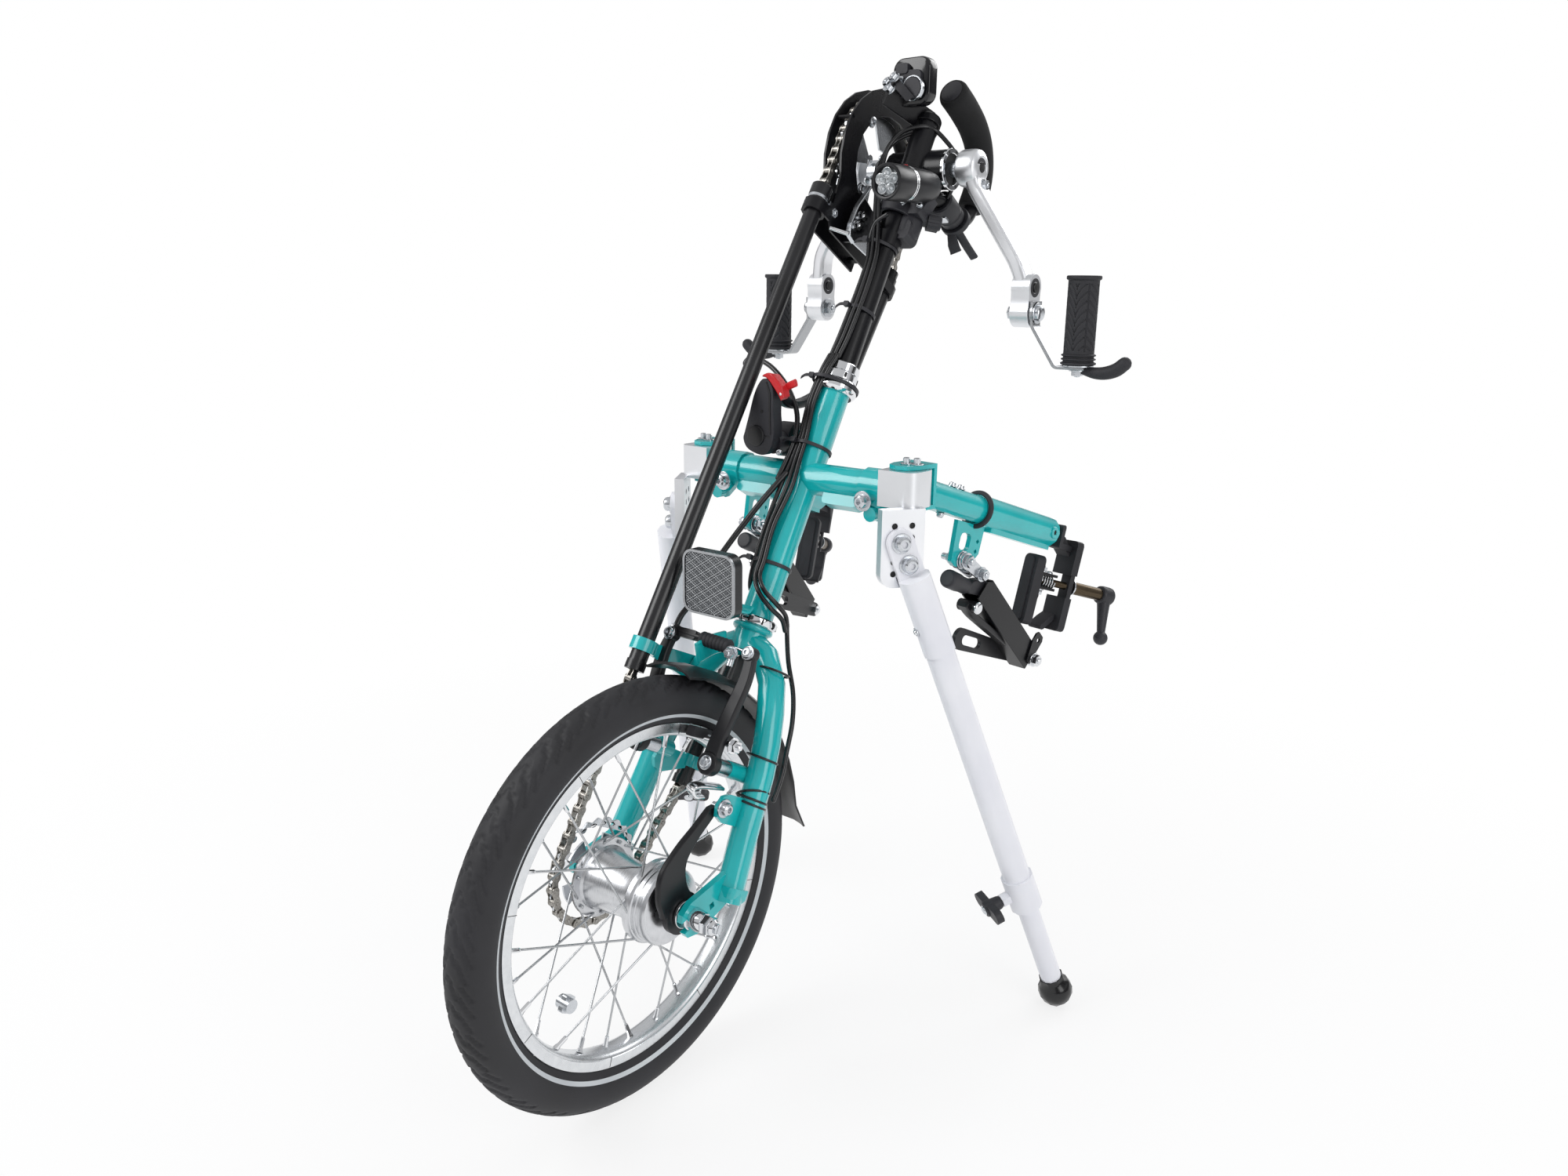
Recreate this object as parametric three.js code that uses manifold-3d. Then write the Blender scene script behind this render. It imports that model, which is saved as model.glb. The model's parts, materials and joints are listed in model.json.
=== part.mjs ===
// Clip-on handcycle for a wheelchair, in millimetres, +Z up.
// The front of the vehicle points along -Y and the rider's left is +X.
// A cranked, steered front wheel hangs in a T-shaped frame. Two telescopic legs hold it up while it
// stands alone, and two swivelling arms carry the clamps that grip the wheelchair's frame tubes.
import * as THREE from "three";
import { mergeVertices } from "three/addons/utils/BufferGeometryUtils.js";
import Module from "manifold-3d";

const wasm = await Module();
wasm.setup();

// Fits and overruns
const gap = 0.3;
const overrun = 2;
const weldDepth = 1;

// Steering geometry
const headLean = THREE.MathUtils.degToRad(30);
const forkRake = 36.6;
const forkLength = 270.6;

// Wheel
const tyreRadius = 199.5;
const tyreHalfWidth = 21.5;
const beadRadius = 158.8;
const beadHalfWidth = 11.6;
const rimOuterRadius = 158.4;
const rimInnerRadius = 145;
const rimHalfWidth = 12.3;
const rimWellRadius = 152;
const rimFloorHalfWidth = 8;
const rimLip = 1.6;
const hubBore = 5.8;
const hubShellRadius = 27;
const hubWaistRadius = 25;
const flangeRadius = 38;
const flangeThickness = 3.2;
const farFlangeX = -41;
const nearFlangeX = 24;
const drumRadius = 35;
const drumEndX = 45;
const driverRadius = 18;
const driverEndX = -46.5;
const spokeCount = 28;
const spokeRadius = 1.1;
const spokeSides = 3;
const spokeHoleInset = 4;
const spokeCrossShare = 0.155;

// Axle, dropouts and fork
const axleRadius = 5;
const axleNutRadius = 8.6;
const axleTipX = 97;
const axleFlangeRadius = 11.5;
const axleFlangeThickness = 3;
const dropoutX = 66;
const dropoutThickness = 6;
const dropoutRadius = 17;
const dropoutHoleRadius = 4;
const forkBladeRadius = 13;
const crownRadius = 16.5;
const crownTop = -6;
const crownDepth = 24;
const shoulderX = 37;
const shoulderDrop = 43;
const bladeMidX = 60;
const bladeMidDrop = 112;
const bladeEndX = 73;
const bladeEndDrop = 252;
const steererRadius = 12.2;
const bossX = 44;
const bossDrop = 141;
const bossRadius = 8;
const bossReach = 27;
const lugX = 62;
const lugDrop = 174;
const lugReach = 46;
const lugHeight = 26;
const lugThickness = 4;
const lugSlotRadius = 3.4;

// Hub brake reaction arm
const reactionX = 52;
const reactionThickness = 6;
const reactionHubRadius = 19;
const reactionTipRadius = 8;

// Head tube, headset and mast
const headTubeRadius = 15.9;
const headTubeBore = 13;
const headTubeBottom = 4;
const headTubeTop = 242;
const cupRadius = 21;
const cupHeight = 9;
const locknutRadius = 17;
const locknutHeight = 22;
const mastRadius = 12.7;
const mastTop = 552;
const mastCapRadius = 13.6;
const mastCapHeight = 8;
const axisBracketOffset = 17.6;
const crankBelowTop = 42.5;
const crankHeight = mastTop - crankBelowTop;
const shellRadius = 20;
const shellHalfWidth = 34;
const spindleBore = 9;
const spindleRadius = 8.6;
const cupRecess = 2.5;

// Crossbar
const crossbarHeight = 151.7;
const crossbarRadius = 16;
const crossbarBore = 13.2;
const crossbarHalf = 104.5;
const sleeveRadius = 18.5;
const sleeveLength = 30;
const earWidth = 20;
const earReach = 34;
const earThickness = 16;
const earBoltRadius = 7;
const earBoltHead = 8;
const gussetLength = 42;
const gussetDepth = 9;
const gussetWidth = 14;
const leverAboveCrossbar = 38.3;
const leverBarHeight = crossbarHeight + leverAboveCrossbar;
const leverBarRadius = 11;
const leverBarEnd = 54;

// Corner blocks, which carry the leg hangers and the arm swivels
const blockWidth = 38;
const blockSetback = 28.8465;
const blockDepth = 39;
const blockHeight = 33.5;
const blockRise = 5.7774;
const blockRound = 11;
const spigotRadius = 12.8;
const spigotLength = 55;
const swivelX = 121;
const swivelSetback = 6.8465;
const swivelPinRadius = 4;
const hangerX = 137;
const hangerSetback = 34.8465;
const hangerTurn = THREE.MathUtils.degToRad(56);
const hangerWidth = 42;
const hangerThickness = 10;
const hangerCentre = 3;
const hangerLength = 70;
const hangerRound = 13;
const hangerHoleRadius = 3.3;
const hangerHolePitch = 11;
const hangerColumnPitch = 17;
const hangerRows = 5;
const hangerColumns = 2;
const hangerFirstRow = 13;

// Legs
const legTilt = THREE.MathUtils.degToRad(21.7);
const legShift = -3.9;
const legOffset = -10.7;
const legDrop = 27.4;
const lugPlateWidth = 26;
const lugPlateThickness = 5.5;
const legBoltPitch = 21.7;
const legBoltRadius = 7;
const legBoltHead = 6;
const sleeveTopAt = 33;
const sleeveBottomAt = 112;
const legSleeveRadius = 15.4;
const legTubeRadius = 14;
const legTubeBore = 11.4;
const legTubeBottomAt = 376;
const legCollarRadius = 16.4;
const legCollarBottomAt = 414;
const legBossRadius = 7;
const legBossReach = 24;
const legInnerRadius = 11;
const legInnerTopAt = 250;
const legHollowTopAt = 150;
const legInnerBottomAt = 520;
const footRadius = 18;
const footCentreAt = 527.95;
const knobWing = 17;
const knobThickness = 8;
const knobNeck = 9;
const legButtonRadius = 3;
const legButtonHeight = 2.4;
const legButtonAt = 84;

// Arms: a swivel bracket with the inner tube, and the sliding outer tube
const armTurn = THREE.MathUtils.degToRad(8);
const armDip = THREE.MathUtils.degToRad(17.5);
const bracketThickness = 4;
const bracketWidth = 31;
const bracketBack = 21.5;
const armInnerRadius = 14;
const armInnerEnd = 205;
const armOuterRadius = 16;
const armOuterBore = 14.3;
const armOuterStart = 114;
const armOuterEnd = 250;
const armCapLength = 4;
const oRingRadius = 17.4;
const oRingWidth = 4;
const gutterWidth = 16;
const gutterDepth = 6;
const flangeStart = 87;
const flangeLength = 46;
const flangeDrop = 60;
const flangePlate = 5;
const flangeHole = 17;
const flangeHoleDrop = 34;
const flangeHoleAt = 106;
const flangeBoltAt = 108;
const flangeBoltDrop = 52;
const flangeBoltRadius = 4;
const smallHoleRadius = 2.6;
const bracketScrewRadius = 3;
const bracketScrewHeight = 5;

// Wheelchair clamps
const clampAt = 250;
const clampDrop = 52;
const clampTurn = THREE.MathUtils.degToRad(17);
const jawWidth = 30;
const jawHalfHeight = 50;
const jawThickness = 9;
const frontJawThickness = 12;
const frontJawWidth = 22;
const frontJawRise = 26;
const jawOpening = 34;
const wingThickness = 6;
const wingSweep = 13;
const neckWidth = 20;
const yokeThickness = 3;
const yokeHeight = 9;
const yokeWidth = 16;
const spindleScrewRadius = 4;
const spindleReach = 62;
const springRadius = 7;
const springWire = 1;
const springTurns = 4;
const springLength = 20;
const handleHubRadius = 10;
const handleHubLength = 17;
const handleLength = 48;
const handleRodRadius = 5;
const handleBallRadius = 8;
const handleTurn = THREE.MathUtils.degToRad(12);

// Docking levers under the arms
const dockTurn = THREE.MathUtils.degToRad(28.5);
const dockLinkLength = 43;
const dockLinkRise = 8.6;
const dockLinkWidth = 13;
const dockLinkThickness = 4;
const dockBoxStart = 44;
const dockBoxLength = 132;
const dockBoxHeight = 27;
const dockBoxWidth = 20;
const dockWall = 2.5;
const dockBoxLift = -1;
const stubRadius = 9;
const stubLength = 47;
const stubDrop = 29.6;
const stubEndDrop = 11;
const stubAt = -14.7;
const dockBarDrop = 26;
const dockBarThickness = 7;
const dockPlateTurn = THREE.MathUtils.degToRad(24.8);
const dockPlateLength = 108;
const dockPlateWidth = 24;
const dockPlateThickness = 5;
const dockSlotRadius = 5;
const dockSlotLength = 30;

// Chain drive
const chainX = -56;
const pitch = 12.7;
const ringTeeth = 36;
const sprocketTeeth = 24;
const toothThickness = 2.2;
const rollerSpan = 5;
const ringWrap = 18;
const sprocketWrap = 11;
const rollerSeat = 4;
const toothTip = 3.6;
const rollerRadius = 3.2;
const linkHalfHeight = 4.2;
const linkWaistHalf = 2.9;
const innerPlateFrom = 1.9;
const outerPlateTo = 4.2;
const hiddenRunHalf = 2.6;
const ringBandShare = 0.8;
const ringArms = 5;
const ringBossRadius = 14;
const ringBossHalf = 5;
const sprocketHoles = 5;
const sprocketHoleRadius = 8;
const sprocketHoleCircle = 30;
const sprocketBossRadius = 17;
const tubeOuter = 9;
const tubeInner = 6.9;
const tubeRingRadius = 10;
const tubeRingLength = 9;
const tubeEyeWall = 2.7;
const tubeEyeWidth = 12;
const frontTabDrop = 60;
const rearTabDrop = 152;
const tubeTabThickness = 4;
const tubeTabRoot = 13;
const tubeTabEnd = 5;
const guardEyeDrop = 16;
const frontTubeBelow = 67.5;
const frontTubeTop = crankHeight - frontTubeBelow;
const frontTubeBottom = -83;
const rearTubeBelow = 71.5;
const rearTubeTop = crankHeight - rearTubeBelow;
const rearTubeBottom = -171;
const rearTubeTopY = 97;
const rearTubeBottomY = 43;
const guardRadius = 84;
const guardInner = 57;
const guardThickness = 2.4;
const guardHalfGap = 9;
const guardFloor = 104.5;
const guardFrontY = -45;
const guardRearY = 42;
const spacerRadius = 4;
const guardLip = 9;
const bandHeight = 16;
const strapHeight = 62;

// Cranks and grips
const leftBossX = 48;
const leftBossWidth = 22;
const rightBossX = 71;
const rightBossWidth = 17;
const crankBossRadius = 17;
const crankPivotX = 128.4;
const crankPivotDrop = 141.7;
const crankHoleDrop = 117;
const crankElbowX = 119;
const crankElbowDrop = 94;
const crankKneeX = 64;
const crankKneeDrop = 16;
const rightElbowX = 126;
const rightElbowDrop = 84;
const crankBarWidth = 22;
const crankBarThickness = 14;
const crankEndRadius = 14;
const crankEndWidth = 20;
const bearingBore = 6;
const gripBoltRadius = 5;
const gripBoltHeadRadius = 8;
const stripThickness = 3.5;
const stripWidth = 20;
const stripElbowX = 168;
const stripElbowDrop = 52;
const gripX = 190;
const gripRadius = 15;
const gripLength = 86;
const gripFlangeRadius = 17.5;
const gripFlangeThickness = 3;
const gripRings = 2;
const hookReach = 50;
const hookRadius = 7.5;
const hookRise = 9;

// Rim brake on the fork
const brakeArmY = -34;
const brakeArmThickness = 8;
const brakeArmTopX = 33;
const brakeArmTopDrop = 38;
const brakeArmBelly = 50;
const brakeArmWidth = 13;
const brakePadRadius = 152;
const brakePadHalf = 24;
const brakePadHeight = 10;
const brakePadFace = 13.6;
const brakePadDepth = 9;
const brakeStudRadius = 3.4;
const brakeBoltRadius = 6;
const brakeBoltLength = 7;
const bootRadius = 4.5;
const noodleRadius = 2.4;

// Parking brake lever on the frame
const leverX = -34;
const leverBodyWidth = 21;
const leverBodyBottom = -16;
const leverBodyTop = 57;
const leverBodyFront = -42;
const leverBodyBack = -13;
const leverClampRadius = 18;
const leverClampWidth = 16;
const leverPivotY = -17;
const leverPivotZ = 46;
const leverTipY = 49;
const leverTipZ = 41;
const leverBladeWidth = 12;
const leverBladeThickness = 8;
const lockWidth = 14;
const lockY = -28;
const lockZ = 63.5;
const lockLength = 26;
const lockThickness = 5;
const leverPivotRadius = 3;
const lockPinRadius = 2;
const leverEarRadius = 5;
const leverEarThickness = 2.8;

// Mudguard, reflector and lamp
const guardSweepRadius = 211;
const guardCrown = 8;
const mudHalfWidth = 27;
const mudThickness = 2;
const mudStartDeg = -17;
const mudFlareDeg = 54;
const mudEndDeg = 70;
const mudFlare = 46;
const mudStep = 8;
const mudTabWidth = 16;
const mudTabThickness = 4;
const mudTabY = 6;
const reflectorWidth = 62;
const reflectorHeight = 60;
const reflectorDepth = 12;
const reflectorRound = 11;
const reflectorY = -79;
const reflectorZ = 13;
const reflectorStripWidth = 16;
const reflectorStripThickness = 3;
const lampX = 32;
const lampY = -73.7;
const lampBelow = 75.9;
const lampHeight = crankHeight - lampBelow;
const lampClampBelow = 47.5;
const lampClampAt = crankHeight - lampClampBelow;
const lampRadius = 15;
const lampHeadRadius = 17;
const lampLength = 86;
const lampHeadLength = 24;
const lampClampRadius = 19;
const lampClampHeight = 20;
const lampKnobRadius = 8;
const lampKnobLength = 16;

// Display, hand rest, shifter
const displayWidth = 44;
const displayHeight = 46;
const displayDepth = 14;
const displayRound = 11;
const displayY = -42;
const displayRise = 27.5;
const discRadius = 15;
const discDepth = 5;
const displayArmWidth = 17;
const displayArmThickness = 5;
const restX = 20;
const restRootBelow = 35.5;
const restRootZ = crankHeight - restRootBelow;
const restReach = 115;
const restShares = [
  [0.313, -0.2043],
  [0.6609, -0.1696],
  [0.9217, -0.013],
  [1, 0.2043],
  [0.9739, 0.4739],
  [0.7739, 0.6565],
  [0.4435, 0.7522],
  [0.0696, 0.7],
];
const restBarRadius = 8;
const restFoamRadius = 15;
const shifterRadius = 13.5;
const shifterStart = 38;
const shifterLength = 34;
const restClampRadius = 16;
const restClampHeight = 24;
const triggerReach = 30;
const triggerWidth = 10;
const triggerThickness = 5;
const triggerRadius = 19;
const triggerHubWidth = 5;

// Cables
const cableRadius = 2.5;
const bundleOffset = 5.2;
const tieRadius = 3;
const bladeClearance = 2;
const loopDropHigh = 121;
const loopDropLow = 158;

// Facets
const roundSides = 12;
const fineSides = 16;
const smallSides = 8;
const cableSides = 6;
const wheelSides = 36;
const linkSides = 6;
const rollerSides = 4;
const arcSegments = 2;
const holeSegments = 3;
const cornerSteps = 2;
const wheelArcSteps = 6;
const mergeDepth = 0.02;

// Origin: the middle of the length, on the floor
const frontReach = -tyreRadius;
const rearReach = 560.3;

// A closed geometry as a solid that can be joined and cut
function solid(geometry) {
  const bare = new THREE.BufferGeometry();
  bare.setAttribute("position", geometry.getAttribute("position"));
  if (geometry.index) bare.setIndex(geometry.index);
  const merged = mergeVertices(bare);
  const index = merged.index.array;
  const kept = [];
  for (let i = 0; i < index.length; i += 3) {
    const [a, b, c] = [index[i], index[i + 1], index[i + 2]];
    if (a !== b && b !== c && c !== a) kept.push(a, b, c);
  }
  const vertProperties = new Float32Array(merged.attributes.position.array);
  const triVerts = new Uint32Array(kept);
  return new wasm.Manifold(new wasm.Mesh({ numProp: 3, vertProperties, triVerts }));
}

function join(...bodies) {
  return bodies.flat().reduce((whole, body) => whole.add(body));
}

function cut(body, ...tools) {
  return tools.flat().reduce((rest, tool) => rest.subtract(tool), body);
}

function geometryOf(body) {
  const data = body.simplify(mergeDepth).getMesh();
  const geometry = new THREE.BufferGeometry();
  geometry.setAttribute("position", new THREE.BufferAttribute(new Float32Array(data.vertProperties), 3));
  geometry.setIndex(new THREE.BufferAttribute(new Uint32Array(data.triVerts), 1));
  geometry.computeVertexNormals();
  return geometry;
}

function vec(x, y, z) {
  return new THREE.Vector3(x, y, z);
}

// A round bar between two points, tapering from the first radius to the second
function rod(from, to, radius, endRadius = radius, sides = roundSides) {
  const along = to.clone().sub(from);
  const geometry = new THREE.CylinderGeometry(endRadius, radius, along.length(), sides);
  const turn = new THREE.Quaternion().setFromUnitVectors(vec(0, 1, 0), along.clone().normalize());
  const middle = from.clone().add(to).multiplyScalar(0.5);
  geometry.applyMatrix4(new THREE.Matrix4().compose(middle, turn, vec(1, 1, 1)));
  return solid(geometry);
}

// The hole that runs past both ends of a bar
function bore(from, to, radius, sides = roundSides) {
  const past = to.clone().sub(from).setLength(overrun);
  return rod(from.clone().sub(past), to.clone().add(past), radius, radius, sides);
}

// The radius of a many-sided hole that clears a round pin whichever way either is turned
function fit(radius, sides = roundSides) {
  return (radius + gap) / Math.cos(Math.PI / sides);
}

function pipe(from, to, outer, inner, sides = roundSides) {
  return cut(rod(from, to, outer, outer, sides), bore(from, to, inner, sides));
}

const axisTurns = {
  x: new THREE.Matrix4().makeRotationZ(-Math.PI / 2),
  y: new THREE.Matrix4(),
  z: new THREE.Matrix4().makeRotationX(Math.PI / 2),
};

// A closed profile of [radius, place along the axis] turned about a row axis through the origin
function revolve(axis, profile, sides = fineSides) {
  const points = profile.map(([radius, along]) => new THREE.Vector2(radius, along));
  const area = THREE.ShapeUtils.area(points);
  if (area < 0) points.reverse();
  points.push(points[0].clone());
  const geometry = new THREE.LatheGeometry(points, sides);
  geometry.applyMatrix4(axisTurns[axis]);
  const made = solid(geometry);
  return made.volume() < 0 ? solid(flipped(geometry)) : made;
}

function flipped(geometry) {
  const index = geometry.index.array;
  for (let i = 0; i < index.length; i += 3) [index[i + 1], index[i + 2]] = [index[i + 2], index[i + 1]];
  return geometry;
}

// A flat outline given thickness about its own plane: "x" draws in (y, z), "y" in (x, z), "z" in (x, y)
const planeTurns = {
  x: new THREE.Matrix4().makeBasis(vec(0, 1, 0), vec(0, 0, 1), vec(1, 0, 0)),
  y: new THREE.Matrix4().makeBasis(vec(-1, 0, 0), vec(0, 0, 1), vec(0, 1, 0)),
  z: new THREE.Matrix4(),
};

function plate(plane, shape, thickness, centre = 0, segments = arcSegments) {
  const geometry = new THREE.ExtrudeGeometry(shape, {
    depth: thickness,
    bevelEnabled: false,
    curveSegments: segments,
  });
  geometry.translate(0, 0, centre - thickness / 2);
  geometry.applyMatrix4(planeTurns[plane]);
  if (plane === "y") geometry.applyMatrix4(new THREE.Matrix4().makeScale(-1, 1, 1));
  const made = solid(geometry);
  if (made.volume() > 0) return made;
  const plain = mergeVertices(stripped(geometry));
  return solid(flipped(plain));
}

function stripped(geometry) {
  const bare = new THREE.BufferGeometry();
  bare.setAttribute("position", geometry.getAttribute("position"));
  return bare;
}

function outline(points) {
  return new THREE.Shape(points.map(([u, v]) => new THREE.Vector2(u, v)));
}

function roundedBox(width, height, round) {
  const points = [];
  const corners = [
    [1, 1],
    [-1, 1],
    [-1, -1],
    [1, -1],
  ];
  corners.forEach(([u, v], corner) => {
    const centre = [u * (width / 2 - round), v * (height / 2 - round)];
    for (let i = 0; i <= cornerSteps; i++) {
      const angle = ((corner + i / cornerSteps) * Math.PI) / 2;
      points.push([centre[0] + round * Math.cos(angle), centre[1] + round * Math.sin(angle)]);
    }
  });
  return outline(points);
}

// A bar with round ends of two radii between two points of its plane
function link(from, to, radius, endRadius = radius) {
  const angle = Math.atan2(to[1] - from[1], to[0] - from[0]);
  const shape = new THREE.Shape();
  shape.absarc(from[0], from[1], radius, angle + Math.PI / 2, angle + Math.PI * 1.5);
  shape.absarc(to[0], to[1], endRadius, angle - Math.PI / 2, angle + Math.PI / 2);
  return shape;
}

function disc(u, v, radius) {
  const shape = new THREE.Shape();
  shape.absarc(u, v, radius, 0, Math.PI * 2);
  return shape;
}

// A round bar swept along a smooth curve through the points
function sweep(points, radius, steps, sides = smallSides) {
  const curve = new THREE.CatmullRomCurve3(points, false, "centripetal");
  const section = new THREE.Shape();
  section.absarc(0, 0, radius, 0, Math.PI * 2);
  const geometry = new THREE.ExtrudeGeometry(section, {
    steps,
    extrudePath: curve,
    curveSegments: Math.ceil(sides / 2),
    bevelEnabled: false,
  });
  return solid(geometry);
}

// A skin over rings of points that all have as many points, closed by flat ends
function loft(rings) {
  const count = rings[0].length;
  const positions = rings.flat().flatMap((p) => [p.x, p.y, p.z]);
  const faces = [];
  for (let i = 0; i + 1 < rings.length; i++)
    for (let j = 0; j < count; j++) {
      const k = (j + 1) % count;
      const [a, b, c, d] = [i * count + j, i * count + k, (i + 1) * count + k, (i + 1) * count + j];
      faces.push(a, b, c, a, c, d);
    }
  for (const [ring, first, turned] of [
    [rings[0], 0, true],
    [rings[rings.length - 1], (rings.length - 1) * count, false],
  ]) {
    const centre = ring.reduce((sum, p) => sum.add(p), vec(0, 0, 0)).multiplyScalar(1 / count);
    const u = ring[0].clone().sub(centre).normalize();
    const normal = ring
      .map((p, j) => p.clone().sub(centre).cross(ring[(j + 1) % count].clone().sub(centre)))
      .reduce((sum, p) => sum.add(p), vec(0, 0, 0))
      .normalize();
    const v = normal.clone().cross(u);
    const flat = ring.map((p) => {
      const from = p.clone().sub(centre);
      return new THREE.Vector2(from.dot(u), from.dot(v));
    });
    for (const [a, b, c] of THREE.ShapeUtils.triangulateShape(flat, []))
      faces.push(...(turned ? [first + a, first + c, first + b] : [first + a, first + b, first + c]));
  }
  const geometry = new THREE.BufferGeometry();
  geometry.setAttribute("position", new THREE.Float32BufferAttribute(positions, 3));
  geometry.setIndex(faces);
  const made = solid(geometry);
  return made.volume() < 0 ? solid(flipped(geometry)) : made;
}

function ball(centre, radius, sides = roundSides) {
  const geometry = new THREE.SphereGeometry(radius, sides, Math.round(sides / 2));
  geometry.translate(centre.x, centre.y, centre.z);
  return solid(geometry);
}

function moved(body, matrix) {
  return body.transform(matrix.toArray());
}

function finish(colour, roughness, metalness) {
  return new THREE.MeshStandardMaterial({ color: colour, roughness, metalness });
}

function part(name, body, material) {
  const mesh = new THREE.Mesh(geometryOf(body), material);
  mesh.name = name;
  return mesh;
}

const teal = () => finish(0x14b3ae, 0.28, 0.1);
const blackPaint = () => finish(0x17171a, 0.35, 0.1);
const blackPlastic = () => finish(0x1c1c1f, 0.6, 0);
const rubber = () => finish(0x202124, 0.85, 0);
const foam = () => finish(0x18181a, 0.95, 0);
const chrome = () => finish(0xd9dcde, 0.12, 1);
const steel = () => finish(0xb9bcc0, 0.35, 1);
const anodised = () => finish(0xcdd1d6, 0.38, 1);
const whitePaint = () => finish(0xeceef4, 0.35, 0);
const red = () => finish(0xc01f24, 0.5, 0);
const clear = () => finish(0xe8ecee, 0.1, 0);

// The steering axis, from the bottom of the lower headset cup, as a frame whose z runs up the axis
const headBottom = vec(
  0,
  forkRake * Math.cos(headLean) + forkLength * Math.sin(headLean),
  tyreRadius - forkRake * Math.sin(headLean) + forkLength * Math.cos(headLean),
);
const crossbarAt = crossbarCentre();
const blockFront = crossbarAt.y - blockSetback;
const blockCentreZ = crossbarAt.z + blockRise;
const swivelY = crossbarAt.y - swivelSetback;
const hangerY = crossbarAt.y - hangerSetback;

function alongHead() {
  const group = new THREE.Group();
  group.position.copy(headBottom);
  group.rotation.x = -headLean;
  return group;
}

const handcycle = new THREE.Group();
handcycle.position.y = -(frontReach + rearReach) / 2;
const frameGroup = alongHead();
const steered = alongHead();
handcycle.add(frameGroup, steered);
const wheelCentre = vec(0, -forkRake, -forkLength);
const bracketCentre = vec(0, axisBracketOffset, crankHeight);

// Frame: head tube, crossbar with its clamped ends, and the stub that holds the brake lever
function mainFrame() {
  const tube = rod(vec(0, 0, headTubeBottom + gap), vec(0, 0, headTubeTop - gap), headTubeRadius);
  const bar = rod(
    vec(-crossbarHalf, 0, crossbarHeight),
    vec(crossbarHalf, 0, crossbarHeight),
    crossbarRadius,
  );
  const stub = rod(vec(-leverBarEnd, 0, leverBarHeight), vec(0, 0, leverBarHeight), leverBarRadius);
  const bodies = [tube, bar, stub];
  const cuts = [];
  for (const side of [-1, 1]) {
    const end = side * crossbarHalf;
    const inner = end - side * sleeveLength;
    bodies.push(rod(vec(inner, 0, crossbarHeight), vec(end, 0, crossbarHeight), sleeveRadius));
    const earX = end - (side * earWidth) / 2 - side * gap;
    const down = vec(0, Math.sin(headLean), -Math.cos(headLean));
    const forward = vec(0, -Math.cos(headLean), -Math.sin(headLean));
    const root = vec(earX, 0, crossbarHeight);
    const lobe = root.clone().addScaledVector(down, earReach * 0.62).addScaledVector(forward, earReach * 0.5);
    const half = earWidth / 2;
    bodies.push(
      rod(
        root.clone().addScaledVector(down, earReach * 0.3),
        lobe,
        half,
        half,
        smallSides,
      ),
    );
    bodies.push(rod(lobe, lobe.clone().addScaledVector(forward, earBoltHead), earBoltRadius));
    cuts.push(
      bore(
        vec(end - side * (spigotLength + overrun), 0, crossbarHeight),
        vec(end, 0, crossbarHeight),
        crossbarBore,
      ),
    );
    const gussetAt = end - side * (sleeveLength + gussetLength / 2);
    const gusset = plate("y", roundedBox(gussetLength, gussetDepth * 2, gussetDepth / 2), gussetWidth);
    bodies.push(
      moved(gusset, new THREE.Matrix4().makeTranslation(gussetAt, 0, crossbarHeight - crossbarRadius)),
    );
  }
  cuts.push(bore(vec(0, 0, headTubeBottom), vec(0, 0, headTubeTop), headTubeBore));
  return cut(join(bodies), cuts);
}

frameGroup.add(part("main_frame", mainFrame(), teal()));

const lowerCup = revolve("z", [
  [headTubeBore, headTubeBottom],
  [cupRadius - cupHeight / 3, headTubeBottom],
  [cupRadius, headTubeBottom - cupHeight / 3],
  [cupRadius, headTubeBottom - cupHeight],
  [headTubeBore, headTubeBottom - cupHeight],
]);
frameGroup.add(part("headset_lower_cup", lowerCup, chrome()));

const upperCupTop = headTubeTop + cupHeight;
const upperCup = revolve("z", [
  [headTubeBore, headTubeTop],
  [cupRadius - cupHeight / 3, headTubeTop],
  [cupRadius, headTubeTop + cupHeight / 3],
  [cupRadius, upperCupTop],
  [headTubeBore, upperCupTop],
]);
frameGroup.add(part("headset_upper_cup", upperCup, chrome()));

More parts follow.
